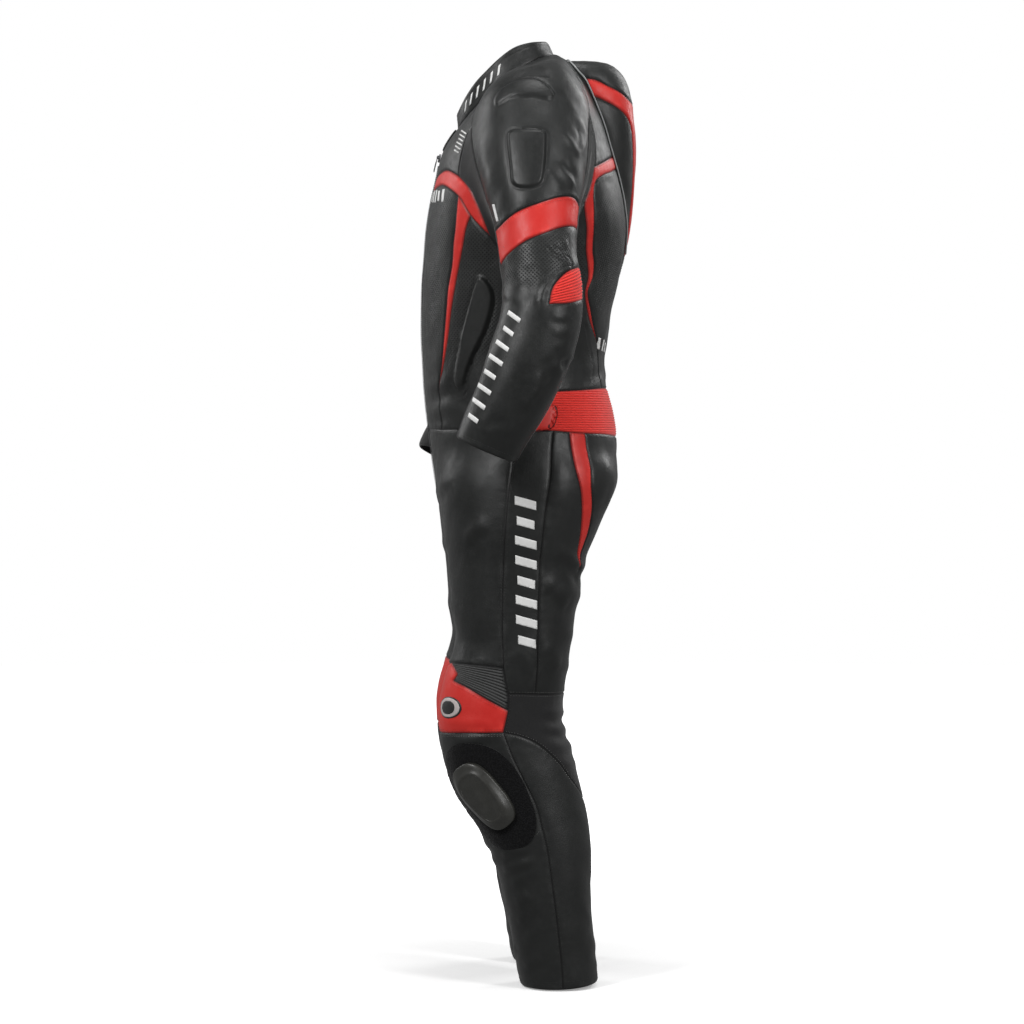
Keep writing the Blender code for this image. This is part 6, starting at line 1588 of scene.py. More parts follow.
def relief(name, panel, features, side=1):
    """How far each point of a panel stands out of the form, in metres, and its masks: where it is raised, and where
    shade is painted in grooves and along sunk lines.
    """
    p, n, s = panel["p"].copy(), panel["n"], panel["s"]
    folds, stamps, lines = features
    group = group_of(name)
    look = p.copy()
    p[:, 0] = np.abs(p[:, 0])
    n = n * np.where(look[:, :1] < 0, [-1.0, 1, 1], [1.0, 1, 1])
    h = np.zeros(len(p))
    for i, (size, amount) in enumerate(LEATHER_WAVES):
        h += amount * noise3(look, size, 3 + i + (0 if side > 0 else 7))
    h *= smoothstep(s, 0.0, 0.012)
    vary = 1.0 if side > 0 else 0.85
    faces_view = facing(p, n)
    on_leaf = np.zeros(len(p))
    for g, wl, wr, height, line in folds:
        if g != group:
            continue
        ids = line.near(p, 0.003 * max(wl, wr))
        if not len(ids):
            continue
        d, sd, run = line.measure(p[ids])
        w = np.where(sd > 0, wl, wr) / 1000
        fade = smoothstep(run, 0.0, 0.28) * smoothstep(1 - run, 0.0, 0.28)
        h[ids] += vary * height / 1000 * np.exp(-(d / w) ** 2) * fade
    raised, outline = np.zeros(len(p)), np.zeros(len(p))
    for word, g, height, edge, groove, loop, line in stamps:
        if g != group:
            continue
        ids = line.near(p, 0.010)
        ids = ids[faces_view[ids] > 0.02]
        if not len(ids):
            continue
        d, _, _ = line.measure(p[ids])
        within = inside(loop, seen(p[ids]))
        d = np.where(within, d, -d)
        rise = smoothstep(d, 0.0, edge / 1000)
        h[ids] = h[ids] * (1 - 0.75 * rise) + height / 1000 * rise
        h[ids] -= groove / 1000 * np.exp(-(np.minimum(d, 0) / 0.0016) ** 2) * (1 - rise)
        raised[ids] = np.maximum(raised[ids], smoothstep(d, -0.001, 0.001))
        # painted shade in the groove round the shape
        outline[ids] = np.maximum(outline[ids], STAMP_GROOVE_SHADE.get(word, 0.45) * np.exp(-((d + 0.0004) / 0.0010) ** 2))
    for g, height, w, line in lines:
        if g != group:
            continue
        ids = line.near(p, 0.008)
        if not len(ids):
            continue
        d, _, _ = line.measure(p[ids])
        h[ids] += height / 1000 * np.exp(-(d / (w / 1000)) ** 2)
        # painted shade along a sunk line
        if height < 0:
            outline[ids] = np.maximum(outline[ids], 0.6 * np.exp(-(d / 0.0009) ** 2))
    seam = np.exp(-(s / 0.0014) ** 2)
    h -= SEAM_DIP * seam + SEAM_PULL * np.exp(-s / 0.006)
    arc = panel["arc"]
    h += 0.00028 * np.exp(-s / 0.008) * smoothstep(s, 0.001, 0.004) * np.sin(arc * (2 * math.pi / 0.0145)
                                                                             + 2.5 * np.sin(arc * 31))
    return h, raised, outline


def rounded_ribs(phase, sharp=0.62):
    """Rounded ribs with narrow valleys, from 0 to 1, one for each whole number of phase."""
    return np.abs(np.sin(math.pi * phase)) ** sharp


class Ribbing:
    """The ribs of one panel: across (phase, in ribs) and along them (metres) at a place of its chart, and back."""

    def __init__(self, name, seams):
        self.name = name
        if name == "waist":
            self.pitch, self.high = 0.0036, 0.0013
        elif name == "knee_pleats":
            self.pitch, self.high = 0.0050, 0.0027
            top, low = (chart_uv("leg_front", seams[k]) for k in ("pleats_top", "pleats_low"))
            self.top, self.low = np.polyfit(top[:, 0], top[:, 1], 2), np.polyfit(low[:, 0], low[:, 1], 2)
            self.count = 12.0
        else:
            self.pitch, self.high = 0.0040, 0.0020
            # the ribs run between a low line and a high one, and would all meet far in front of the elbow
            a, b, c, d = chart_uv("sleeve_out", looked_at(np.array([[552, 302.6], [574, 298.6], [565, 278.0], [575, 273.6]])))
            t = np.linalg.solve(np.column_stack([b - a, c - d]), c - a)[0]
            self.centre = a + t * (b - a)
            angles = [math.degrees(math.atan2(-(q - self.centre)[1], -(q - self.centre)[0])) for q in (b, d)]
            self.first, self.sweep, self.count = angles[0], angles[1] - angles[0], 8.0

    def across(self, uv):
        u, v = uv[:, 0], uv[:, 1]
        if self.name == "waist":
            return v / self.pitch, u
        if self.name == "knee_pleats":
            top, low = np.polyval(self.top, u), np.polyval(self.low, u)
            return self.count * (top - v) / (top - low), u
        d = uv - self.centre
        a = np.degrees(np.arctan2(-d[:, 1], -d[:, 0]))
        return (a - self.first) / self.sweep * self.count, np.hypot(d[:, 0], d[:, 1])

    def place(self, phase, along):
        if self.name == "waist":
            return np.stack([along, phase * self.pitch], -1)
        if self.name == "knee_pleats":
            top, low = np.polyval(self.top, along), np.polyval(self.low, along)
            return np.stack([along, top - phase / self.count * (top - low)], -1)
        a = np.radians(self.first + phase / self.count * self.sweep)
        return self.centre - np.stack([np.cos(a), np.sin(a)], -1) * along[:, None]


def combed(panel, ribbing, chart, rows=5, long=0.0055):
    """The panel's mesh again, with rows of points that follow its ribs. Its outline stays as it is."""
    p, n, f, uv = panel["p"], panel["n"], panel["f"], panel["uv"]
    e = rim(f, len(p))
    after = {int(a): int(b) for a, b in e}
    first = int(e[0, 0])
    loop = [first]
    while after[loop[-1]] != first:
        loop.append(after[loop[-1]])
    squeeze = ribbing.pitch / rows / long
    phase, along = ribbing.across(uv[loop])
    edge = np.stack([phase * ribbing.pitch, along * squeeze], -1)
    lo, hi = edge.min(0), edge.max(0)
    step = ribbing.pitch / rows
    across = np.arange(math.floor(lo[0] / step), math.ceil(hi[0] / step) + 1) * step
    down = np.arange(math.floor(lo[1] / step), math.ceil(hi[1] / step) + 1) * step
    grid = np.array([(a, b + (i % 2) * step / 2) for i, a in enumerate(across) for b in down])
    grid = grid[inside(edge, grid)]
    closed = np.vstack([edge, edge[:1]])
    dense = np.vstack([resampled(closed[i:i + 2], step * 0.4) for i in range(len(closed) - 1)])
    d, _ = nearest(kd_of(np.column_stack([dense, 0 * dense[:, 0]])), np.column_stack([grid, 0 * grid[:, 0]]))
    grid = grid[d > step * 0.55]
    every = np.vstack([edge, grid])
    k = len(edge)
    verts, _, faces, from_v, _, _ = delaunay_2d_cdt([Vector(q) for q in every], [(i, (i + 1) % k) for i in range(k)], [],
                                                    1, 1e-8, True)
    verts = np.array([tuple(v) for v in verts])
    faces = np.array([tuple(t) for t in faces])
    flat = ribbing.place(verts[:, 0] / ribbing.pitch, verts[:, 1] / squeeze)
    points = np.zeros((len(verts), 3))
    cast = np.ones(len(verts), bool)
    for i, o in enumerate(from_v):
        known = [j for j in o if j < k]
        if known:
            points[i], flat[i], cast[i] = p[loop[known[0]]], uv[loop[known[0]]], False
    points[cast] = reach(chart, flat[cast, 0] / CHARTS[chart][2], flat[cast, 1])
    return one_fine(points, flat, faces)


def ribs(name, panel, side=1):
    """The height of a gathered panel's ribs at each point, in metres, how far they show, and how deep in the valleys
    they lie, the mask of the shade painted there.
    """
    p, s = panel["p"], panel["s"]
    edge = smoothstep(s, 0.0004, 0.0036)
    if "ribbing" in panel:
        rib = panel["ribbing"]
        phase, along = rib.across(panel["uv"])
        r = rounded_ribs(phase)
        uneven = 1 + 0.22 * noise3(p, 0.028, 6)
        return rib.high * uneven * (r - 0.72) * edge, edge, edge * (1 - smoothstep(r, 0.20, 0.66))
    if name == "armhole_gusset":
        back = smoothstep(p[:, 1], 0.030, 0.055) * smoothstep(p[:, 2], -0.235, -0.205)
        phase = s / 0.0031 + 0.5
        show = back * smoothstep(s, 0.001, 0.003)
        r = rounded_ribs(phase)
        return 0.0022 * (r - 0.7) * show, show, show * (1 - smoothstep(r, 0.25, 0.70))
    return np.zeros(len(p)), np.zeros(len(p)), np.zeros(len(p))


def perforated(name, panel):
    """How far the leather is pierced with small holes at each point, 0 to 1."""
    p, s = panel["p"], panel["s"]
    away = smoothstep(s, 0.004, 0.007)
    z = p[:, 2]
    if name == "chest_centre":
        return away * smoothstep(-z, 0.150, 0.170) * (1 - smoothstep(-z, 0.375, 0.425))
    if name == "flank":
        front = smoothstep(-p[:, 1], 0.035, 0.055) * smoothstep(-z, 0.205, 0.235) * (1 - smoothstep(-z, 0.395, 0.445))
        rear = smoothstep(p[:, 1], 0.048, 0.062) * smoothstep(-z, 0.225, 0.245) * (1 - smoothstep(-z, 0.30, 0.36))
        return away * np.maximum(front, rear)
    if name == "sleeve_outer":
        u = panel["uv"][:, 0] / CHARTS["sleeve_out"][2]
        v = panel["uv"][:, 1]
        low = 0.112 - 0.00042 * np.abs(u - 20)
        return away * (1 - smoothstep(v, low - 0.018, low + 0.010)) * smoothstep(u, -52, -36)
    if name == "back_centre":
        return away * smoothstep(np.abs(p[:, 0]), 0.012, 0.03) * smoothstep(-z, 0.17, 0.20) * (1 - smoothstep(-z, 0.30, 0.37))
    return np.zeros(len(p))


# ---------------------------------------------------------------- meshes
def rim(f, count):
    """Directed edges of a triangle mesh's outline, as an array of pairs."""
    e = np.concatenate([f[:, [0, 1]], f[:, [1, 2]], f[:, [2, 0]]]).astype(np.int64)
    there, back = e[:, 0] * count + e[:, 1], e[:, 1] * count + e[:, 0]
    return e[~np.isin(there, back)]


def pulled_in(p, n, f, gap):
    """The points with the outline moved in by gap."""
    e = rim(f, len(p))
    d = unit(p[e[:, 1]] - p[e[:, 0]])
    total = np.zeros_like(p)
    for k in (0, 1):
        v = e[:, k]
        np.add.at(total, v, unit(np.cross(n[v], d)))
    size2 = (total**2).sum(-1)
    step = total / np.maximum(size2 / 2, 0.35)[:, None]
    length = np.linalg.norm(step, axis=1)
    step *= np.minimum(1.0, 2.5 / np.maximum(length, 1e-9))[:, None]
    return p + step * gap


def closed_wall(outer, n, f, thickness):
    """Points and triangles of the outer face, the inner face and the edges between."""
    k = len(outer)
    e = rim(f, k)
    inner = outer - n * thickness
    faces = np.vstack([f, f[:, ::-1] + k,
                       np.stack([e[:, 1], e[:, 0], e[:, 0] + k], -1), np.stack([e[:, 1], e[:, 0] + k, e[:, 1] + k], -1)])
    return np.vstack([outer, inner]), faces


ALL = []


def new_mesh(name, points, faces, material=None, uv=None, layers=None, smooth=True, sharp=None, lining=None):
    """An object from arrays. faces is an array of triangles or a list of polygons. lining is the material of the
    inner face, which closed_wall puts second."""
    mesh = bpy.data.meshes.new(name)
    points = np.asarray(points, float)
    if isinstance(faces, np.ndarray) and faces.ndim == 2:
        m, k = faces.shape
        mesh.vertices.add(len(points))
        mesh.vertices.foreach_set("co", points.astype(np.float32).ravel())
        mesh.loops.add(m * k)
        mesh.loops.foreach_set("vertex_index", faces.astype(np.int32).ravel())
        mesh.polygons.add(m)
        mesh.polygons.foreach_set("loop_start", np.arange(0, m * k, k, dtype=np.int32))
        mesh.update(calc_edges=True)
    else:
        mesh.from_pydata([tuple(q) for q in points], [], [tuple(int(i) for i in f) for f in faces])
    corner = np.empty(len(mesh.loops), np.int32)
    mesh.loops.foreach_get("vertex_index", corner)
    if uv is not None:
        layer = mesh.uv_layers.new(name="flat")
        layer.uv.foreach_set("vector", uv[corner].astype(np.float32).ravel())
    for key, values in (layers or {}).items():
        a = mesh.attributes.new(key, "FLOAT", "POINT")
        a.data.foreach_set("value", np.asarray(values, np.float32))
    if smooth:
        mesh.shade_smooth()
    if sharp is not None:
        mesh.set_sharp_from_angle(angle=math.radians(sharp))
    if material is not None:
        mesh.materials.append(material)
    if lining is not None:
        mesh.materials.append(lining[0])
        index = np.zeros(len(mesh.polygons), np.int32)
        index[lining[1]:2 * lining[1]] = 1
        mesh.polygons.foreach_set("material_index", index)
    obj = bpy.data.objects.new(name, mesh)
    bpy.context.scene.collection.objects.link(obj)
    ALL.append(obj)
    return obj


def turned_out(p, f, out):
    """Triangles turned to face the given directions at their points."""
    a, b, c = p[f[:, 0]], p[f[:, 1]], p[f[:, 2]]
    return f[:, ::-1] if (np.cross(b - a, c - a) * out[f].mean(1)).sum() < 0 else f


def on_suit(obj, nodes=(), body_name="suit"):
    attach(obj, body_name)
    if nodes:
        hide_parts(*nodes)
    return obj


# ---------------------------------------------------------------- materials
class Nodes:
    """A material's nodes, with short names for what the leather and cloth need."""

    def __init__(self, name):
        self.mat = bpy.data.materials.new(name)
        self.mat.use_nodes = True
        self.t = self.mat.node_tree
        self.t.nodes.clear()
        self.out = self.add("ShaderNodeOutputMaterial")
        self.bsdf = self.add("ShaderNodeBsdfPrincipled")
        self.join(self.bsdf.outputs[0], self.out.inputs[0])

    def add(self, kind, **settings):
        node = self.t.nodes.new(kind)
        for key, value in settings.items():
            setattr(node, key, value)
        return node

    def join(self, a, b):
        self.t.links.new(a, b)

    def put(self, node, socket, value):
        if hasattr(value, "is_output") or isinstance(value, bpy.types.NodeSocket):
            self.join(value, node.inputs[socket])
        else:
            node.inputs[socket].default_value = value

    def place(self):
        return self.add("ShaderNodeTexCoord").outputs["Object"]

    def flat(self):
        return self.add("ShaderNodeUVMap", uv_map="flat").outputs[0]

    def layer(self, name):
        return self.add("ShaderNodeAttribute", attribute_name=name).outputs["Fac"]

    def noise(self, where, scale, detail=3.0, rough=0.55, stretch=None):
        if stretch is not None:
            m = self.add("ShaderNodeMapping")
            self.join(where, m.inputs[0])
            m.inputs["Scale"].default_value = stretch
            where = m.outputs[0]
        n = self.add("ShaderNodeTexNoise")
        self.join(where, n.inputs["Vector"])
        n.inputs["Scale"].default_value = scale
        n.inputs["Detail"].default_value = detail
        n.inputs["Roughness"].default_value = rough
        return n.outputs["Fac"]

    def cells(self, where, scale, feature="F1"):
        n = self.add("ShaderNodeTexVoronoi", feature=feature)
        self.join(where, n.inputs["Vector"])
        n.inputs["Scale"].default_value = scale
        return n.outputs["Distance"]

    def math(self, op, a, b=0.0, c=0.0, clamp=False):
        n = self.add("ShaderNodeMath", operation=op, use_clamp=clamp)
        for i, v in enumerate((a, b, c)):
            self.put(n, i, v)
        return n.outputs[0]

    def span(self, value, a, b, c=0.0, d=1.0):
        n = self.add("ShaderNodeMapRange")
        self.put(n, 0, value)
        for i, v in enumerate((a, b, c, d)):
            n.inputs[i + 1].default_value = v
        return n.outputs[0]

    def mix(self, how_much, a, b, blend="MIX"):
        n = self.add("ShaderNodeMix", data_type="RGBA", blend_type=blend)
        self.put(n, 0, how_much)
        for socket, v in ((6, a), (7, b)):
            if isinstance(v, (tuple, list)):
                n.inputs[socket].default_value = (*v[:3], 1.0)
            else:
                self.join(v, n.inputs[socket])
        return n.outputs[2]

    def bump(self, height, distance, strength=1.0, under=None):
        n = self.add("ShaderNodeBump")
        n.inputs["Strength"].default_value = strength
        n.inputs["Distance"].default_value = distance
        self.join(height, n.inputs["Height"])
        if under is not None:
            self.join(under, n.inputs["Normal"])
        return n.outputs[0]

    def holes(self, pitch, radius):
        """Round holes in staggered rows over the flat cut, 1 inside a hole."""
        m = self.add("ShaderNodeMapping")
        self.join(self.flat(), m.inputs[0])
        m.inputs["Rotation"].default_value = (0, 0, math.radians(45))
        m.inputs["Scale"].default_value = (1 / pitch,) * 3
        frac = self.add("ShaderNodeVectorMath", operation="FRACTION")
        self.join(m.outputs[0], frac.inputs[0])
        sub = self.add("ShaderNodeVectorMath", operation="SUBTRACT")
        self.join(frac.outputs[0], sub.inputs[0])
        sub.inputs[1].default_value = (0.5, 0.5, 0.0)
        sep = self.add("ShaderNodeSeparateXYZ")
        self.join(sub.outputs[0], sep.inputs[0])
        r = self.math("SQRT", self.math("ADD", self.math("MULTIPLY", sep.outputs[0], sep.outputs[0]),
                                        self.math("MULTIPLY", sep.outputs[1], sep.outputs[1])))
        return self.span(r, radius * 1.25, radius * 0.75)


# dark is the colour of the painted shade in seams, grooves and sunk lines, and also the colour of the holes
def leather(name, colour, light, rough, dark=(0.004, 0.004, 0.004)):
    k = Nodes(name)
    at = k.place()
    seam, raised, holed = k.layer("seam"), k.layer("raised"), k.layer("holed")
    broad = k.noise(at, 9.0, 3.0)
    fine = k.noise(at, 120.0, 4.0, 0.6)
    colour_node = k.mix(k.span(broad, 0.35, 0.70, 0.0, 0.75), colour, light)
    colour_node = k.mix(k.span(fine, 0.42, 0.72, 0.0, 0.30), colour_node, light)
    # A lighter band beside each seam, broken up by noise: partly wear, partly a painted highlight on the seam's rolled
    # edge
    wear_and_highlight = k.math("MULTIPLY", k.span(k.noise(at, 38.0, 4.0), 0.50, 0.68), k.layer("edge"), clamp=True)
    colour_node = k.mix(k.math("MULTIPLY", wear_and_highlight, 0.45), colour_node, tuple(min(1.0, c * 1.6 + 0.02) for c in light))
    # Painted shade: darker in each seam's groove, in the groove round raised shapes and along sunk lines, from the seam
    # layer
    colour_node = k.mix(k.math("MULTIPLY", seam, 0.92), colour_node, dark)
    colour_node = k.mix(k.math("MULTIPLY", holed, 0.55), colour_node, tuple(c * 1.5 for c in light))
    hole = k.math("MULTIPLY", k.holes(0.0042, 0.27), holed)
    colour_node = k.mix(k.math("MULTIPLY", hole, 0.92), colour_node, dark)
    k.join(colour_node, k.bsdf.inputs["Base Color"])
    rough_node = k.math("ADD", k.span(fine, 0.3, 0.7, rough - 0.05, rough + 0.07), k.span(broad, 0.3, 0.7, -0.03, 0.04))
    rough_node = k.math("ADD", rough_node, k.math("MULTIPLY", hole, 0.3), clamp=True)
    k.join(rough_node, k.bsdf.inputs["Roughness"])
    k.bsdf.inputs["Specular IOR Level"].default_value = 0.36
    pebble = k.cells(at, 820.0)
    crease = k.cells(at, 260.0, "DISTANCE_TO_EDGE")
    grain = k.math("ADD", k.span(pebble, 0.0, 0.7, 1.0, 0.0), k.span(crease, 0.0, 0.10, -0.6, 0.0))
    n = k.bump(grain, 0.00012, 0.55)
    n = k.bump(k.noise(at, 55.0, 4.0, 0.6, (1.0, 1.0, 1.6)), 0.0007, 0.35, n)
    n = k.bump(hole, -0.0006, 0.9, n)
    k.join(n, k.bsdf.inputs["Normal"])
    return k.mat


def stretch_cloth(name, colour, light, crest_highlight=None, depth=0.80, rough=0.88):
    k = Nodes(name)
    at = k.place()
    uv = k.flat()
    sep = k.add("ShaderNodeSeparateXYZ")
    k.join(uv, sep.inputs[0])
    weave = k.math("SINE", k.math("MULTIPLY", sep.outputs[1], 2 * math.pi * 620.0))
    cross = k.math("SINE", k.math("MULTIPLY", sep.outputs[0], 2 * math.pi * 480.0))
    cloth = k.math("MULTIPLY", k.math("ADD", weave, 1.2), k.math("ADD", k.math("MULTIPLY", cross, 0.35), 1.0))
    fuzz = k.noise(at, 420.0, 3.0, 0.7)
    tone = k.span(cloth, 0.0, 2.6, 0.0, 0.8)
    colour_node = k.mix(tone, colour, light)
    colour_node = k.mix(k.span(k.noise(at, 16.0, 3.0), 0.35, 0.7, 0.0, 0.45), colour_node, light)
    # Painted highlight along the ribs' crests
    if crest_highlight is not None:
        colour_node = k.mix(k.math("MULTIPLY", k.layer("crest_highlight"), 0.85), colour_node, crest_highlight)
    # Painted shade in the ribs' valleys
    valley = k.layer("valley")
    colour_node = k.mix(k.math("MULTIPLY", valley, depth), colour_node, tuple(c * 0.10 for c in colour))
    # Painted shade along the seams
    colour_node = k.mix(k.math("MULTIPLY", k.layer("seam"), 0.85), colour_node, tuple(c * 0.15 for c in colour))
    k.join(colour_node, k.bsdf.inputs["Base Color"])
    k.join(k.span(fuzz, 0.3, 0.7, rough - 0.06, min(rough + 0.08, 1.0)), k.bsdf.inputs["Roughness"])
    k.bsdf.inputs["Sheen Weight"].default_value = 0.20
    k.bsdf.inputs["Sheen Roughness"].default_value = 0.5
    k.bsdf.inputs["Specular IOR Level"].default_value = 0.30
    n = k.bump(cloth, 0.00010, 0.6)
    n = k.bump(fuzz, 0.00025, 0.5, n)
    k.join(n, k.bsdf.inputs["Normal"])
    return k.mat


def plain(name, colour, light, rough, metal=0.0, scale=300.0, depth=0.0001, scratch=True):
    k = Nodes(name)
    at = k.place()
    a, b = k.noise(at, scale, 4.0, 0.65), k.noise(at, scale * 0.13, 3.0)
    colour_node = k.mix(k.span(a, 0.35, 0.7, 0.0, 0.6), colour, light)
    colour_node = k.mix(k.span(b, 0.45, 0.75, 0.0, 0.6), colour_node, light)
    k.join(colour_node, k.bsdf.inputs["Base Color"])
    k.join(k.span(b, 0.3, 0.7, rough - 0.07, rough + 0.08), k.bsdf.inputs["Roughness"])
    k.bsdf.inputs["Metallic"].default_value = metal
    n = k.bump(a, depth, 0.6)
    if scratch:
        n = k.bump(k.noise(at, scale * 0.6, 2.0, 0.5, (0.15, 1.0, 3.0)), depth * 0.8, 0.5, n)
    k.join(n, k.bsdf.inputs["Normal"])
    return k.mat


def hooked(name):
    k = Nodes(name)
    at = k.place()
    tuft, fibre = k.cells(at, 520.0), k.noise(at, 1400.0, 3.0, 0.8)
    colour_node = k.mix(k.span(tuft, 0.05, 0.6, 0.0, 1.0), (0.012, 0.012, 0.013), (0.0022, 0.0022, 0.0024))
    colour_node = k.mix(k.span(fibre, 0.52, 0.75, 0.0, 0.5), colour_node, (0.024, 0.024, 0.026))
    k.join(colour_node, k.bsdf.inputs["Base Color"])
    k.bsdf.inputs["Roughness"].default_value = 0.97
    k.bsdf.inputs["Specular IOR Level"].default_value = 0.12
    k.bsdf.inputs["Sheen Weight"].default_value = 0.10
    n = k.bump(tuft, -0.0006, 0.9)
    n = k.bump(fibre, 0.0004, 0.8, n)
    k.join(n, k.bsdf.inputs["Normal"])
    return k.mat


RED_BASE, RED_LIGHT = (0.560, 0.017, 0.013), (0.630, 0.030, 0.021)
BLACK_BASE, BLACK_LIGHT = (0.0080, 0.0088, 0.0085), (0.0150, 0.0160, 0.0155)


# ---------------------------------------------------------------- panels into pieces
NAME_OF_HALF = {"waist": "waist_back"}


def halves(name, panel):
    """The full pieces made from a left-half panel."""
    flip = np.array([-1.0, 1, 1])
    if name in CROSSING:
        p, n, f = panel["p"], panel["n"].copy(), panel["f"]
        on = np.abs(p[:, 0]) < 1e-6
        n[on, 0] = 0
        n = unit(n)
        other = np.zeros(len(p), int)
        other[on] = np.flatnonzero(on)
        other[~on] = len(p) + np.arange((~on).sum())
        out = {"p": np.vstack([p, p[~on] * flip]), "n": np.vstack([n, n[~on] * flip]),
               "f": np.vstack([f, other[f[:, ::-1]]]), "side": 0, "chart": panel["chart"]}
        if "ribbing" in panel:
            out["ribbing"] = panel["ribbing"]
        for key in ("uv", "s", "arc"):
            out[key] = np.concatenate([panel[key], panel[key][~on]])
        return {NAME_OF_HALF.get(name, name): out}
    left = dict(panel, side=1)
    right = dict(panel, side=-1, p=panel["p"] * flip, n=panel["n"] * flip, f=panel["f"][:, ::-1])
    return {name + "_left": left, name + "_right": right}


def mirror_if(side, v):
    return v * np.array([-1.0, 1, 1]) if side < 0 else v


def unrolled(p, f):
    """The flat cut of a panel, with its own up kept up: a place in metres for each point."""
    obj = new_mesh("cut", p, f)
    ALL.pop()
    view = bpy.context.view_layer
    for o in view.objects:
        o.select_set(False)
    view.objects.active = obj
    obj.select_set(True)
    obj.data.uv_layers.new(name="cut")
    bpy.ops.object.mode_set(mode="EDIT")
    bpy.ops.mesh.select_all(action="SELECT")
    bpy.ops.uv.unwrap(method="CONFORMAL", margin=0.0, correct_aspect=False)
    bpy.ops.object.mode_set(mode="OBJECT")
    mesh = obj.data
    uv = np.empty(len(mesh.loops) * 2, np.float32)
    mesh.uv_layers["cut"].uv.foreach_get("vector", uv)
    corner = np.empty(len(mesh.loops), np.int32)
    mesh.loops.foreach_get("vertex_index", corner)
    flat = np.zeros((len(p), 2))
    flat[corner] = uv.reshape(-1, 2)
    bpy.data.objects.remove(obj, do_unlink=True)
    bpy.data.meshes.remove(mesh)
    a, b, c = flat[f[:, 0]], flat[f[:, 1]], flat[f[:, 2]]
    signed = ((b - a)[:, 0] * (c - a)[:, 1] - (b - a)[:, 1] * (c - a)[:, 0]) / 2
    if signed.sum() < 0:
        flat[:, 0] *= -1
    area3 = np.linalg.norm(np.cross(p[f[:, 1]] - p[f[:, 0]], p[f[:, 2]] - p[f[:, 0]]), axis=1).sum() / 2
    flat *= math.sqrt(area3 / max(abs(signed.sum()), 1e-12))
    flat -= flat.mean(0)
    fit, *_ = np.linalg.lstsq(np.column_stack([flat, np.ones(len(flat))]), p[:, 2], rcond=None)
    a = math.atan2(fit[0], fit[1])
    turn = np.array([[math.cos(a), -math.sin(a)], [math.sin(a), math.cos(a)]])
    return flat @ turn.T, area3


def cut_size(flat):
    """Sides of the smallest rectangle round a flat cut."""
    best = None
    for d in range(0, 90, 1):
        a = math.radians(d)
        q = flat @ np.array([[math.cos(a), math.sin(a)], [-math.sin(a), math.cos(a)]])
        w, h = q.max(0) - q.min(0)
        if best is None or w * h < best[0] * best[1]:
            best = (min(w, h), max(w, h))
    return best


LOOK_OF = {
    "hump_stripe": "red_leather", "chest_band": "red_leather", "chest_stripe": "red_leather",
    "back_band": "red_leather", "sleeve_band": "red_leather", "hip_stripe": "red_leather",
    "knee_panel": "red_leather", "elbow_pleats": "red_stretch", "waist": "red_stretch",
    "armhole_gusset": "black_stretch", "knee_pleats": "black_stretch", "knee_back": "black_stretch",
    "sleeve_under": "black_stretch", "knee_ground": "hook_and_loop",
}


def look_of(name):
    for key, look in LOOK_OF.items():
        if name.startswith(key):
            return look
    return "black_leather"


TOUCHING = 0.00002          # sewn panels meet, so that no light comes through a seam


def make_cloth(panels, features, looks):
    """Every panel as a closed shell. It gives the finished outer faces, for what is sewn on them."""
    outer_faces = {}
    cuts = {}
    for name, panel in panels.items():
        if name == "knee_foot":
            continue
        for full, piece in halves(name, panel).items():
            side = piece["side"]
            p, n, f = piece["p"], piece["n"], piece["f"]
            if side < 0:
                flat, area = cuts[name]
            else:
                flat, area = unrolled(p, f)
                cuts[name] = (flat, area)
            h, raised, outline = relief(name, piece, features, side)
            rib, show, valley = ribs(name, piece)
            h = h + rib * (1 - raised)
            if name == "knee_ground":
                outer = p + n * (GROUND_THICK + SEAM_GAP)
                edge_d = piece["ring"]
                outer = outer - n * (0.0011 * np.exp(-(edge_d / 0.0012) ** 2))[:, None]
                outer = outer - n * (0.0007 * np.exp(-((edge_d - 0.0125) / 0.0009) ** 2))[:, None]
                outer = outer + n * (0.00035 * noise3(p, 0.004, 2) * smoothstep(edge_d, 0.001, 0.004))[:, None]
                thick = GROUND_THICK - 0.0003
            else:
                outer = pulled_in(p, n, f, TOUCHING) + n * h[:, None]
                thick = WALL
            if name in ARM:
                outer = swing(outer, side)
            pts, faces = closed_wall(outer, n, f, thick)
            look = look_of(name)
            s2 = np.tile(piece["s"], 2)
            # Layers for the materials. seam: painted shade in the seams' grooves, round raised shapes and along sunk
            # lines. edge: the band beside the seams painted lighter, partly wear, partly highlight. The ribs' valleys
            # carry painted shade and their crests painted highlight.
            layers = {"seam": np.maximum(np.exp(-(s2 / 0.0015) ** 2), np.tile(outline, 2)), "edge": np.exp(-((s2 - 0.0035) / 0.003) ** 2),
                      "raised": np.tile(raised, 2), "holed": np.tile(perforated(name, piece) * (1 - raised), 2),
                      "valley": np.tile(valley * (1 - raised), 2),
                      "crest_highlight": np.tile(np.clip(show - 1.6 * valley, 0, 1) * (1 - raised), 2)}
            obj = new_mesh("cloth_" + full, pts, faces, looks[look], np.tile(flat, (2, 1)), layers, sharp=50,
                           lining=(looks["lining"], len(f)))
            e = rim(f, len(p))
            obj["rim"] = float(np.linalg.norm(p[e[:, 0]] - p[e[:, 1]], axis=1).sum())
            on_suit(obj, (full,))
            outer_faces[full] = (outer, n, f)
            w, l = cut_size(flat)
            gather = 1.22 if "ribbing" in piece else 1.0
            obj["cut"] = (w * gather, l, area * gather)
    return outer_faces, cuts


def ease(rows, count):
    """A table's rows read at count even steps between its first and last row."""
    t = np.asarray(rows, float)
    x = np.linspace(0, len(t) - 1, count)
    return np.stack([np.interp(x, np.arange(len(t)), t[:, k]) for k in range(t.shape[1])], -1)


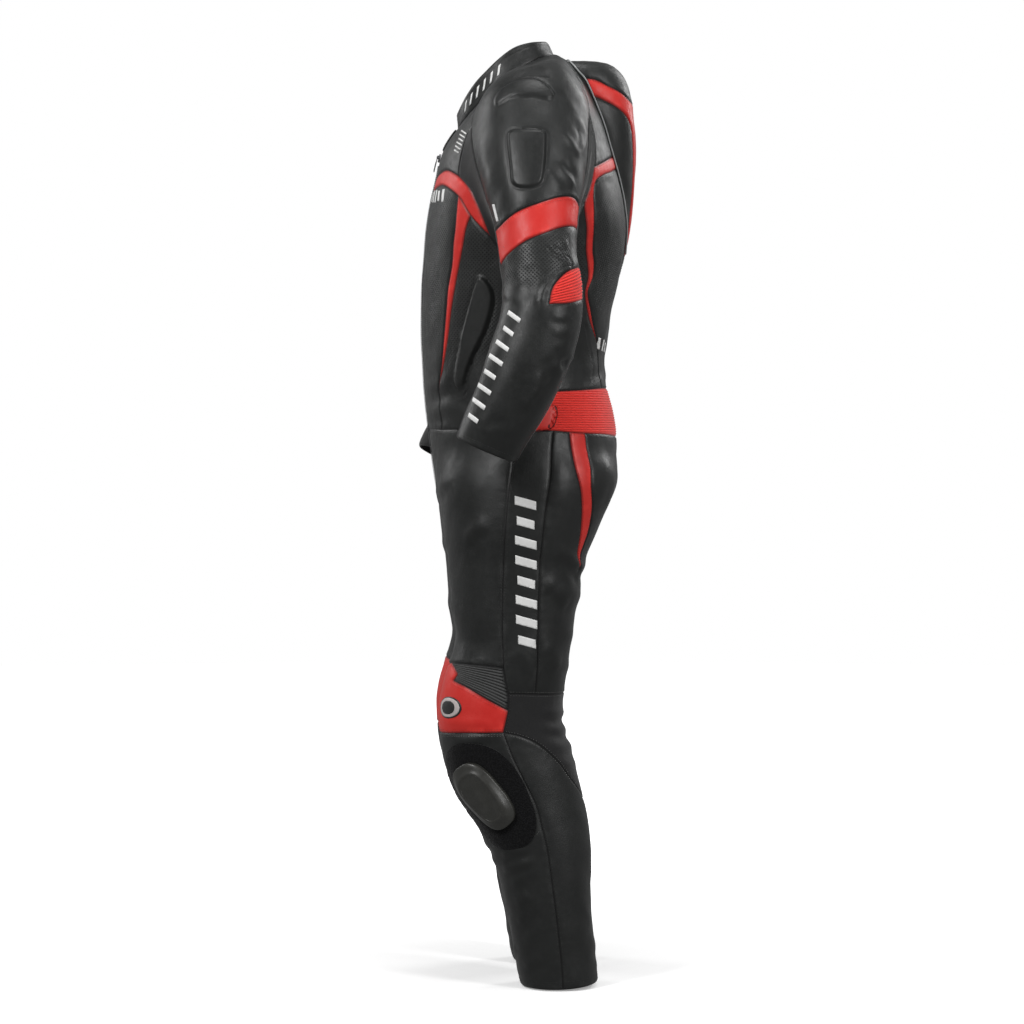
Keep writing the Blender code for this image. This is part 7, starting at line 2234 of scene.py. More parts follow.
def make_collar(neck, looks):
    rows = 17
    g = collar_grid(neck, rows)
    n = grid_normals(g)
    n = n * np.sign((n * (g - [0, -0.03, 0])).sum(-1))[..., None]
    up = np.concatenate([[0], np.cumsum(np.linalg.norm(np.diff(g, axis=0), axis=-1).mean(1))])
    along = np.concatenate([[0], np.cumsum(np.linalg.norm(np.diff(g[rows // 2], axis=0), axis=-1))])
    from_top = (up[-1] - up)[:, None] + 0 * along[None]
    from_seam = up[:, None] + 0 * along[None]
    h = -0.0009 * np.exp(-(from_seam / 0.0013) ** 2) - 0.0005 * np.exp(-from_seam / 0.006)
    h -= 0.0010 * np.exp(-(from_top / 0.0016) ** 2)
    h -= 0.0006 * np.exp(-((from_top - 0.0068) / 0.0011) ** 2)
    flat = g.reshape(-1, 3)
    wave = 0.0009 * noise3(flat, 0.055, 4) + 0.00035 * noise3(flat, 0.022, 9)
    h += wave.reshape(h.shape) * smoothstep(from_seam, 0, 0.008) * smoothstep(from_top, 0, 0.006)
    for at in (0.30, 0.70):
        h -= 0.0009 * np.exp(-((along[None] - along[-1] * at) / 0.0012) ** 2) * smoothstep(from_top, 0.0, 0.003)
    outer = g + n * h[..., None]
    p, nn = outer.reshape(-1, 3), n.reshape(-1, 3)
    f = turned_out(p, strip_faces(*g.shape[:2]), nn)
    pts, faces = closed_wall(p, nn, f, 0.0026)
    uv = np.stack(np.broadcast_arrays(along[None], up[:, None]), -1).reshape(-1, 2)
    s = np.minimum(from_seam, from_top + 0.0008).ravel()
    # seam: painted shade in the collar's seam. edge: a band beside the seam and the top edge painted lighter, partly
    # wear, partly highlight
    layers = {"seam": np.tile(np.exp(-(from_seam.ravel() / 0.0012) ** 2), 2),
              "edge": np.tile(np.exp(-((s - 0.0035) / 0.003) ** 2), 2)}
    obj = new_mesh("cloth_collar", pts, faces, looks["black_leather"], np.tile(uv, (2, 1)), layers, sharp=50,
                   lining=(looks["lining"], len(f)))
    # its stitches: one row under the edge and one on both sides of each upright seam
    rows_at = []
    top = along[-1]
    for depth in (0.0068,):
        x = np.arange(0.004, top - 0.004, STITCH_PITCH)
        rows_at.append(np.stack([x, np.full(len(x), up[-1] - depth)], -1))
    for at in (0.30, 0.70):
        for off in (-0.0024, 0.0024):
            y = np.arange(0.004, up[-1] - 0.009, STITCH_PITCH)
            rows_at.append(np.stack([np.full(len(y), at * top + off), y], -1))
    parts = []

    def on_collar(q):
        i = np.interp(q[:, 1], up, np.arange(len(up)))
        j = np.interp(q[:, 0], along, np.arange(len(along)))
        i0, j0 = np.minimum(i.astype(int), rows - 2), np.minimum(j.astype(int), len(along) - 2)
        a, b = (i - i0)[:, None], (j - j0)[:, None]
        return ((outer[i0, j0] * (1 - a) + outer[i0 + 1, j0] * a) * (1 - b)
                + (outer[i0, j0 + 1] * (1 - a) + outer[i0 + 1, j0 + 1] * a) * b), unit(
            n[np.round(i).astype(int), np.round(j).astype(int)])

    for q in rows_at:
        c, out = on_collar(q)
        way = unit(np.gradient(c, axis=0))
        parts.append(stitch_mesh(c + out * 0.0002, way, out))
    q, fq = gathered(parts)
    on_suit(new_mesh("stitches_collar", q, fq, looks["thread_dark"], smooth=False), ())
    for side, word in ((1, "left"), (-1, "right")):
        parts = []
        for i in range(6):
            mid = top * (0.5 - side * (0.5 - 0.085 - 0.030 * i))
            xs, ys = np.meshgrid(np.linspace(-0.0022, 0.0022, 3), np.linspace(0.30, 0.70, 7))
            lean = (ys - 0.5) * 0.016 * side
            c, out = on_collar(np.stack([(mid + xs + lean).ravel(), (ys * up[-1]).ravel()], -1))
            fb = turned_out(c, strip_faces(7, 3), out)
            parts.append(closed_wall(c + out * 0.0005, out, fb, 0.0004))
        q, fq = gathered(parts)
        on_suit(new_mesh("bars_collar_" + word, q, fq, looks["white_print"]), ())
    on_suit(obj, ("collar",))
    obj["cut"] = (up[-1] * 1.28, along[-1], float(up[-1] * along[-1]))
    return outer, n


def box_at(centre, axes, half, top=1.0, bevel=0.0):
    """A small block with a tapered top, as points and triangles."""
    x, y, z = axes
    pts = []
    for sz, k in ((-1, 1.0), (1, top)):
        for sx, sy in ((-1, -1), (1, -1), (1, 1), (-1, 1)):
            pts.append(centre + x * (sx * half[0] * k) + y * (sy * half[1] * k) + z * (sz * half[2]))
    f = [(0, 2, 1), (0, 3, 2), (4, 5, 6), (4, 6, 7), (0, 1, 5), (0, 5, 4), (1, 2, 6), (1, 6, 5), (2, 3, 7), (2, 7, 6),
         (3, 0, 4), (3, 4, 7)]
    return np.array(pts), np.array(f)


def gathered(parts):
    """Many small meshes as one."""
    pts, faces, k = [], [], 0
    for p, f in parts:
        pts.append(p)
        faces.append(np.asarray(f) + k)
        k += len(p)
    return np.vstack(pts), np.vstack(faces)


def make_zip(seams, looks):
    edge = resampled(seams["zip"], 0.004)
    columns = 7
    g = zip_grid(edge, columns)
    flat = g.reshape(-1, 3)
    n = unit(slope_of(flat)).reshape(g.shape)
    x = np.abs(g[..., 0])
    h = -0.0012 * np.exp(-((ZIP_HALF - x) / 0.0012) ** 2)
    outer = g + n * h[..., None]
    p, nn = outer.reshape(-1, 3), n.reshape(-1, 3)
    f = turned_out(p, strip_faces(*g.shape[:2]), nn)
    pts, faces = closed_wall(pulled_in(p, nn, f, SEAM_GAP / 2), nn, f, WALL)
    run = np.concatenate([[0], np.cumsum(np.linalg.norm(np.diff(edge, axis=0), axis=1))])
    uv = np.stack(np.broadcast_arrays(g[..., 0], run[:, None]), -1).reshape(-1, 2)
    # The tape is painted darker at its outer edges, as shade where it dips in beside the panels
    obj = new_mesh("cloth_front_zip", pts, faces, looks["zip_tape"], np.tile(uv, (2, 1)),
                   {"seam": np.tile(np.exp(-((ZIP_HALF - x).ravel() / 0.0008) ** 2), 2)}, sharp=50)
    on_suit(obj, ("front_zip",))
    obj["cut"] = (2 * ZIP_HALF, run[-1], 2 * ZIP_HALF * run[-1])
    middle = front_at(0 * edge[:, 2], edge[:, 2])
    run = np.concatenate([[0], np.cumsum(np.linalg.norm(np.diff(middle, axis=0), axis=1))])
    step = 0.0016
    first = np.interp(-SLIDER_Z + 0.012, -middle[:, 2], run)
    parts = []
    for i in range(int((run[-1] - 0.006 - first) / step)):
        t = first + i * step
        c = np.array([np.interp(t, run, middle[:, k]) for k in range(3)])
        d = np.array([np.interp(t + 0.001, run, middle[:, k]) for k in range(3)]) - c
        d[0] = 0
        d = unit(d)
        out = np.array([0.0, d[2], -d[1]])
        way = 1 if i % 2 else -1
        q, fq = box_at(c + out * 0.0006 + np.array([way * 0.0009, 0, 0]), (np.array([1.0, 0, 0]), d, out),
                       (0.0019, 0.00058, 0.0011), 0.8)
        parts.append((q, turned_out(q, fq, q - c)))
    q, f = gathered(parts)
    teeth = new_mesh("zip_teeth", q, f, looks["zip_metal"], smooth=False)
    on_suit(teeth, ())
    return obj, teeth


def lathe_ring(loop_points, rings):
    """Faces between successive rings of the same number of points, as quads."""
    k = len(loop_points)
    faces = []
    for r in range(rings - 1):
        for i in range(k):
            j = (i + 1) % k
            faces.append((r * k + i, r * k + j, (r + 1) * k + j, (r + 1) * k + i))
    return faces


PUCK_PROFILE = ((0.0000, 1.000), (0.0008, 1.004), (0.0030, 1.004), (0.0052, 1.001), (0.0060, 0.997), (0.0065, 0.990),
                (0.0069, 0.981), (0.0076, 0.958), (0.0092, 0.905), (0.0108, 0.852), (0.0124, 0.799), (0.0133, 0.769),
                (0.01375, 0.752), (0.01400, 0.738), (0.01410, 0.724), (0.01412, 0.700), (0.01405, 0.692),
                (0.01375, 0.684), (0.01370, 0.672), (0.0138, 0.600), (0.0140, 0.500), (0.0142, 0.400), (0.0144, 0.300),
                (0.0146, 0.200), (0.0147, 0.100))


def puck_fine(foot, side):
    """The knee slider with its rounded rim, long bevel and shallow sunk top."""
    p, n, f = foot["p"], foot["n"], foot["f"]
    e = rim(f, len(p))
    after = {int(a): int(b) for a, b in e}
    first = min(after)
    loop = [first]
    while after[loop[-1]] != first:
        loop.append(after[loop[-1]])
    ring, out_ring = p[loop], n[loop]
    fine_ring = closed_resample(ring, 144)
    fine_out = unit(closed_resample(out_ring, 144))
    centre, out = ring.mean(0), unit(out_ring.mean(0))
    lift = GROUND_THICK + 2 * SEAM_GAP
    k = len(fine_ring)
    pts = []
    top = PUCK_RINGS[-1][0]
    for height, scale in PUCK_PROFILE:
        lean = min(height / top, 1.0)
        q = centre + (fine_ring - centre) * scale + (fine_out * (1 - lean) + out * lean) * (lift + height)
        if height > 0.0080:
            level = ((q - centre) @ out).mean() + 0.001 * lean
            flatten = 0.85 * smoothstep(height, 0.0080, 0.0125)
            q = q + out[None] * (level - (q - centre) @ out)[:, None] * flatten
        pts.append(q)
    rings = len(pts)
    pts = np.vstack(pts)
    faces = lathe_ring(fine_ring, rings)
    pts = np.vstack([pts, pts[-k:].mean(0)[None]])
    faces += [((rings - 1) * k + i, (rings - 1) * k + (i + 1) % k, rings * k) for i in range(k)]
    base = pts[:k].copy() - fine_out * 0.0002
    faces += [tuple(range(k - 1, -1, -1))]
    return mirror_if(side, pts), [t[::-1] for t in faces] if side < 0 else faces, centre, out


def closed_resample(loop, count):
    ring = np.vstack([loop, loop[:1]])
    run = np.concatenate([[0], np.cumsum(np.linalg.norm(np.diff(ring, axis=0), axis=1))])
    t = np.arange(count) * run[-1] / count
    return np.stack([np.interp(t, run, ring[:, i]) for i in range(3)], -1)


def make_pucks(foot, looks):
    for side, word in ((1, "left"), (-1, "right")):
        pts, faces, centre, out = puck_fine(foot, side)
        obj = new_mesh("puck_" + word, pts, faces, looks["slider_plastic"], sharp=38)
        on_suit(obj, ("knee_slider_" + word,))


# ---------------------------------------------------------------- stitching, piping and trimmings
class Skin:
    """The finished outer faces of all the pieces, for what lies on them."""

    def __init__(self, outer_faces):
        pts, faces, owner, self.names, k = [], [], [], [], 0
        for name, (p, n, f) in outer_faces.items():
            pts.append(p)
            faces.append(f + k)
            owner.append(np.full(len(f), len(self.names)))
            self.names.append(name)
            k += len(p)
        self.owner = np.concatenate(owner)
        self.tree = BVHTree.FromPolygons(np.vstack(pts).tolist(), np.vstack(faces).tolist())

    def lay(self, q, far=0.012):
        """The nearest places on the skin, the directions out of it, the pieces hit and which points found any."""
        at, out, hit = np.array(q, float), np.zeros_like(q), np.full(len(q), -1)
        for i, v in enumerate(np.asarray(q, float)):
            a, n, index, _ = self.tree.find_nearest(v, far)
            if index is not None:
                at[i], out[i], hit[i] = a, n, self.owner[index]
        return at, out, hit


SLEEVE_LINES = ("cuff_out", "cuff_in", "sleeve_front", "sleeve_back", "arm_band_top", "arm_band_low", "elbow_top",
                "elbow_low")
STITCH_PITCH, STITCH_LONG, STITCH_WIDE = 0.0042, 0.0028, 0.00046
# On these seams the stitches are pale grey: partly the thread's own colour, partly painted sheen
LIGHT_SEAMS = ("arc", "pleats_low", "thigh_end", "knee_low")
DOUBLE_SEAMS = {"pleats_low": 0.0052, "arm_band_top": 0.0050, "waist": 0.0050, "side_front": 0.0052, "knee_low": 0.0050}
# Rows of stitches that aren't beside a seam: the group, how light the thread is and side-view points
STITCHED_COLUMNS = ("group", "light", "points")
STITCHED = (
    ("leg", 1, ((493, 846.4), (502, 848.4), (514, 847.4), (526, 842.4), (536, 835), (541, 829.5))),
    ("leg", 0, ((474, 663.4), (488, 665.8), (503, 669.2))),
    ("trunk", 0, ((446, 376), (446.4, 387), (450.6, 396), (458.6, 400), (466.4, 396.4), (470.6, 387))),
    ("trunk", 0, ((577, 258), (579.5, 275), (581, 292), (583, 321), (586.5, 340), (589.5, 356))),
)


def stitch_mesh(at, way, out):
    """Stitches as long diamonds, lying on the skin: middles, directions along and directions out."""
    side = unit(np.cross(out, way))
    k = len(at)
    pts = np.stack([at - way * STITCH_LONG / 2, at + way * STITCH_LONG / 2, at + side * STITCH_WIDE / 2,
                    at - side * STITCH_WIDE / 2, at + out * 0.00052, at - out * 0.00025], 1).reshape(-1, 3)
    one = np.array([(0, 3, 4), (3, 1, 4), (1, 2, 4), (2, 0, 4), (3, 0, 5), (1, 3, 5), (2, 1, 5), (0, 2, 5)])
    faces = (one[None] + 6 * np.arange(k)[:, None, None]).reshape(-1, 3)
    return pts, turned_out(pts, faces, np.repeat(out, 6, 0) * 0 + (pts - np.repeat(at, 6, 0)))


def make_stitches(seams, skin, looks):
    heap = {}

    def sew(line, group, light=0, arm=False, keep=None):
        for side, word in ((1, "left"), (-1, "right")):
            q = mirror_if(side, line)
            if arm:
                q = swing(q, side)
            at, out, hit = skin.lay(q)
            names = [skin.names[h] if h >= 0 else "" for h in hit]
            good = np.array([bool(n) and not n.startswith(("waist", "knee_pleats", "elbow_pleats", "knee_ground",
                                                            "armhole_gusset", "sleeve_under")) for n in names])
            red = np.array([look_of(n) == "red_leather" for n in names])
            if len(at) < 3 or not good.any():
                continue
            way = unit(np.gradient(at, axis=0))
            way = unit(way - out * (way * out).sum(-1, keepdims=True))
            far = np.linalg.norm(np.diff(at, axis=0, prepend=at[:1] - way[:1] * STITCH_PITCH), axis=1)
            good &= (far > STITCH_PITCH * 0.5) & (far < STITCH_PITCH * 1.8)
            for colour, on in (("red", good & red), ("light" if light else "dark", good & ~red)):
                if on.any():
                    heap.setdefault((colour, group, word), []).append((at[on] + out[on] * 0.0001, way[on], out[on]))

    for name, line in seams.items():
        arm = name in SLEEVE_LINES
        group = "arm" if arm else "leg" if line[:, 2].max() < -0.50 else "trunk"
        q = resampled(line, STITCH_PITCH)
        if len(q) < 4:
            continue
        if name == "hem":
            for up in (0.0085, 0.0115):
                sew(q + [0, 0, up], group)
            continue
        if name in ("cuff_out", "cuff_in"):
            sew(q - AX_T[-3] * 0.0090, group, arm=True)
            continue
        t, n = unit(np.gradient(q, axis=0)), unit(slope_of(q))
        s = np.cross(n, t)
        middle = np.abs(q[:, 0]).max() < 0.002
        light = name in LIGHT_SEAMS
        offs = [0.0025] + ([DOUBLE_SEAMS[name]] if name in DOUBLE_SEAMS else [])
        for off in offs:
            for way in (-1, 1):
                a = q + s * off * way
                if middle and a[:, 0].mean() < 0:
                    continue
                sew(a[1:-1], group, light, arm)
    for group, light, pts in STITCHED:
        sew(resampled(looked_at(curve2(pts, 1.0), ALL_PARTS if group == "arm" else NO_ARMS), STITCH_PITCH), group, light, group == "arm")
    for (colour, group, word), parts in heap.items():
        at, way, out = (np.vstack([q[i] for q in parts]) for i in range(3))
        pts, faces = stitch_mesh(at, way, out)
        obj = new_mesh("stitches_%s_%s_%s" % (colour, group, word), pts, faces, looks["thread_" + colour], smooth=False)
        on_suit(obj, ())


def tube(line, radius, sides=8):
    """A round cord along a line of points, closed at its ends."""
    t = unit(np.gradient(line, axis=0))
    a = unit(np.cross(t, np.array([0.31, 0.17, 0.93])))
    b = np.cross(t, a)
    ang = np.arange(sides) * 2 * math.pi / sides
    ring = np.cos(ang)[None, :, None] * a[:, None] + np.sin(ang)[None, :, None] * b[:, None]
    taper = np.ones(len(line))
    taper[0] = taper[-1] = 0.45
    pts = (line[:, None] + ring * radius * taper[:, None, None]).reshape(-1, 3)
    f = []
    for i in range(len(line) - 1):
        for j in range(sides):
            k = (j + 1) % sides
            f += [(i * sides + j, i * sides + k, (i + 1) * sides + k), (i * sides + j, (i + 1) * sides + k, (i + 1) * sides + j)]
    m = len(line) * sides
    pts = np.vstack([pts, line[:1], line[-1:]])
    for j in range(sides):
        k = (j + 1) % sides
        f += [(m, k, j), (m + 1, m - sides + j, m - sides + k)]
    f = np.array(f)
    return pts, turned_out(pts, f, np.vstack([np.repeat(line, sides, 0) - pts[:m], t[:1], -t[-1:]]) * -1)


def make_piping(seams, skin, looks):
    line = resampled(seams["piping"], 0.0025)
    line = line[np.abs(line[:, 0]) > 0.012]
    for side, word in ((1, "left"), (-1, "right")):
        at, out, _ = skin.lay(mirror_if(side, line))
        n = unit(slope_of(mirror_if(side, line)))
        q = mirror_if(side, line) + n * 0.0006
        pts, faces = tube(q, 0.00125)
        obj = new_mesh("piping_" + word, pts, faces, looks["piping_grey"])
        on_suit(obj, ())


def plate_on(loop, skin, side, lift=0.0, thick=0.0006, pitch=2.0, arm=False, crown=0.0, parts=ALL_PARTS, place=None):
    """A thin plate on the skin with an outline drawn in the side view: points, triangles and outward directions."""
    flat, f = filled(loop, pitch)
    q = mirror_if(side, looked_at(flat, parts) if place is None else place(flat))
    if arm:
        q = swing(q, side)
    at, out, hit = skin.lay(q, 0.02)
    edge = np.vstack([loop, loop[:1]])
    dense = np.vstack([resampled(edge[i:i + 2], 0.5 if place is None else 0.0006) for i in range(len(edge) - 1)])
    d, _ = nearest(kd_of(np.column_stack([dense, 0 * dense[:, 0]])), np.column_stack([flat, 0 * flat[:, 0]]))
    d = d * (VIEW_UNIT if place is None else 1.0)
    level = lift + thick - thick * 0.35 * np.exp(-(d / 0.0006) ** 2) + crown * smoothstep(d, 0.0, 0.008)
    f = turned_out(at, f, out)
    p = at + out * level[:, None]
    pts, faces = closed_wall(p, out, f, thick * 0.9)
    return pts, faces, out


# Plain marks where the real suit carries its maker's lettering: the group, the colour, and for a row of slanted
# bars the first and last bar's middle, how many, the bar's half length across the row and half width, and its lean,
# all in side-view units and degrees.
MARK_COLUMNS = ("name", "group", "first", "last", "count", "half_across", "half_wide", "lean")
MARKS = (
    ("leg", "leg", (527.0, 642.0), (525.4, 503.0), 8, 11.2, 4.4, -16.0),
    ("sleeve", "arm", (472.6, 418.0), (514.0, 316.5), 8, 7.6, 2.3, -14.0),
    ("collar", "collar", (466.0, 105.0), (486.5, 83.0), 6, 4.6, 1.15, -14.0),
    ("strip", "trunk", (455.4, 151.0), (463.4, 132.0), 6, 3.0, 0.75, -12.0),
)
# The same for rows laid from the front or from behind, in metres across and up
FLAT_MARKS = (
    ("chest", -1, (0.030, -0.170), (0.106, -0.176), 5, 0.0100, 0.0042, -20.0),
    ("back", 1, (0.058, -0.398), (0.092, -0.394), 3, 0.0085, 0.0036, 20.0),
)


def bars(first, last, count, across, wide, lean, pitch=1.6):
    """The outlines of a row of slanted bars."""
    first, last = np.array(first), np.array(last)
    run = unit(last - first)
    over = np.array([-run[1], run[0]])
    a = math.radians(lean)
    long = over * math.cos(a) + run * math.sin(a)
    out = []
    for i in range(count):
        c = first + (last - first) * i / (count - 1)
        h, w = across * (1.0 if i % 3 else 0.82), wide
        loop = [c - long * h - run * w, c + long * h - run * w, c + long * h + run * w, c - long * h + run * w]
        out.append(np.vstack([resampled(np.array([p, q]), pitch)[:-1] for p, q in zip(loop, loop[1:] + loop[:1])]))
    return out


def make_marks(skin, looks):
    for name, group, first, last, count, across, wide, lean in MARKS:
        if group == "collar":
            continue
        for side, word in ((1, "left"), (-1, "right")):
            parts = []
            for loop in bars(first, last, count, across, wide, lean):
                p, f, _ = plate_on(loop, skin, side, 0.00005, 0.00045, 1.6, group == "arm")
                parts.append((p, f))
            p, f = gathered(parts)
            on_suit(new_mesh("bars_%s_%s" % (name, word), p, f, looks["white_print"]), ())
    for name, way, first, last, count, across, wide, lean in FLAT_MARKS:
        def from_there(flat, way=way):
            found = [skin.tree.ray_cast(Vector((x, way * 0.6, z)), Vector((0, -way, 0)))[0] for x, z in flat]
            return np.array([tuple(v) for v in found])

        for side, word in ((1, "left"), (-1, "right")):
            parts = []
            for loop in bars(first, last, count, across, wide, lean, 0.0015):
                p, f, _ = plate_on(loop, skin, side, 0.00005, 0.00045, 0.0022, place=from_there)
                parts.append((p, f))
            p, f = gathered(parts)
            on_suit(new_mesh("bars_%s_%s" % (name, word), p, f, looks["white_print"]), ())

    def on_knee(flat):
        return reach("leg_front", flat[:, 0] / CHARTS["leg_front"][2], flat[:, 1])

    middle, edge = chart_uv("leg_front", looked_at(np.array([[448.5, 707.6], [461.8, 707.6]])))
    oval = np.array([(abs(edge[0] - middle[0]) * math.cos(t), 0.0158 * math.sin(t)) for t in np.linspace(0, 2 * math.pi, 60)[:-1]])
    rings = ((1.0, "badge_black", 0.0, 0.0011, "edge"), (0.89, "badge_rim", 0.0009, 0.0006, "rim"),
             (0.66, "badge_black", 0.0012, 0.0008, "middle"))
    for side, word in ((1, "left"), (-1, "right")):
        for size, look, lift, thick, ring in rings:
            p, f, _ = plate_on(oval * size + middle, skin, side, lift, thick, 0.0016, crown=0.0006, place=on_knee)
            on_suit(new_mesh("badge_%s_%s" % (ring, word), p, f, looks[look]), ())
        # A white strip on the front of the upper sleeve: painted highlight on a small black tag, made in the white
        # print
        strip = np.array([(491.6, 204.6), (493.8, 204.2), (496.0, 212), (498.2, 221.0), (496.2, 221.6), (493.6, 213)])
        loop = np.vstack([resampled(np.vstack([strip, strip[:1]])[i:i + 2], 1.2)[:-1] for i in range(len(strip))])
        p, f, _ = plate_on(loop, skin, side, 0.0002, 0.0009, 1.0, arm=True)
        on_suit(new_mesh("sleeve_tag_highlight_" + word, p, f, looks["white_print"]), ())


WAIST_TAB = ((526, 404.2), (540, 404.0), (549, 404.4), (554.6, 406.2), (556.8, 411), (556.0, 418.5), (553.2, 425.5),
             (548, 429.4), (540, 430.4), (526, 430.4))


def make_waist_tabs(skin, looks):
    """The plain leather tab at each side of the waist, over the ends of the ribs, with its bound edge."""
    outline = closed2(WAIST_TAB, 1.2)
    middle = outline.mean(0)
    for side, word in ((1, "left"), (-1, "right")):
        for grow, look, lift, thick, part in ((0.7, "red_edge", 0.0, 0.0012, "edge"), (-0.5, "red_leather", 0.0007, 0.0011, "tab")):
            way = outline - middle
            loop = middle + way * (1 + grow / np.linalg.norm(way, axis=1))[:, None]
            p, f, _ = plate_on(loop, skin, side, lift, thick, 1.3, crown=0.0004, parts=NO_ARMS)
            area = np.linalg.norm(np.cross(p[f[:, 1]] - p[f[:, 0]], p[f[:, 2]] - p[f[:, 0]]), axis=1).sum() / 4
            flat = np.column_stack([p[:, 1], p[:, 2]])
            obj = new_mesh("waist_%s_%s" % (part, word), p, f, looks[look], flat)
            on_suit(obj, ())
            obj["cut"] = (*(flat.max(0) - flat.min(0)), area)
            obj["rim"] = float(2 * (flat.max(0) - flat.min(0)).sum())


def make_tab(skin, looks):
    """The leather flap over the top of the zip, with a turned edge and a row of stitches."""
    outline = tab_outline(9)
    loop = np.vstack([outline, outline[:1]])
    loop = np.vstack([resampled(loop[i:i + 2], 0.0012)[:-1] for i in range(len(loop) - 1)])
    flat, f = filled(loop, 0.0011)
    p = front_at(flat[:, 0], flat[:, 1])
    n = unit(slope_of(p))
    f = turned_out(p, f, n)
    edge = np.vstack([loop, loop[:1]])
    dense = np.vstack([resampled(edge[i:i + 2], 0.0004) for i in range(len(edge) - 1)])
    d, _ = nearest(kd_of(np.column_stack([dense, 0 * dense[:, 0]])), np.column_stack([flat, 0 * flat[:, 0]]))
    h = 0.0026 - 0.0008 * np.exp(-(d / 0.0007) ** 2) - 0.0004 * np.exp(-((d - 0.0026) / 0.0006) ** 2)
    h += 0.0005 * smoothstep(d, 0.003, 0.008)
    outer = p + n * h[:, None]
    pts, faces = closed_wall(outer, n, f, 0.0021)
    s = np.tile(d, 2)
    # edge: a band inside the tab's rim painted lighter, partly wear, partly highlight on the turned edge
    obj = new_mesh("cloth_collar_tab", pts, faces, looks["black_leather"], np.tile(flat, (2, 1)),
                   {"seam": np.zeros(len(pts)), "edge": np.exp(-((s - 0.002) / 0.002) ** 2)}, sharp=50)
    on_suit(obj, ("collar_tab",))
    half, low, high, _ = TAB
    area = np.linalg.norm(np.cross(p[f[:, 1]] - p[f[:, 0]], p[f[:, 2]] - p[f[:, 0]]), axis=1).sum() / 2
    obj["cut"] = (2 * half, high - low, area)
    ring = resampled(loop * (1 - 0.0026 / np.abs(loop - [0, (low + high) / 2]).max()) + [0, (low + high) / 2 * 0.0], 0.003)
    middle = np.array([0, (low + high) / 2])
    way = loop - middle
    ring = middle + way * (1 - 0.0027 / np.linalg.norm(way, axis=1))[:, None]
    ring = closed_resample(np.column_stack([ring, 0 * ring[:, 0]]), 30)[:, :2]
    q = front_at(ring[:, 0], ring[:, 1])
    out = unit(slope_of(q))
    q = q + out * 0.0024
    t = unit(np.roll(q, -1, axis=0) - np.roll(q, 1, axis=0))
    pts, faces = stitch_mesh(q, t, out)
    on_suit(new_mesh("stitches_tab", pts, faces, looks["thread_dark"], smooth=False), ())


def softened(bm, name, material, width, segments=2, sharp=40):
    """A mesh from bm with its edges rounded."""
    bmesh.ops.recalc_face_normals(bm, faces=bm.faces[:])
    bmesh.ops.bevel(bm, geom=bm.edges[:], offset=width, segments=segments, profile=0.6, affect="EDGES", clamp_overlap=True)
    bmesh.ops.triangulate(bm, faces=[f for f in bm.faces if len(f.verts) > 4])
    mesh = bpy.data.meshes.new(name)
    bm.to_mesh(mesh)
    bm.free()
    mesh.shade_smooth()
    mesh.set_sharp_from_angle(angle=math.radians(sharp))
    mesh.materials.append(material)
    obj = bpy.data.objects.new(name, mesh)
    bpy.context.scene.collection.objects.link(obj)
    ALL.append(obj)
    return obj


def solid_outline(bm, rings, place):
    """A prism between two copies of an outline (x, s), at two heights."""
    lower, upper = ([bm.verts.new(place(x, s, t)) for x, s in ring] for ring, t in rings)
    k = len(lower)
    bm.faces.new(upper)
    bm.faces.new(lower[::-1])
    for i in range(k):
        bm.faces.new((lower[i], lower[(i + 1) % k], upper[(i + 1) % k], upper[i]))


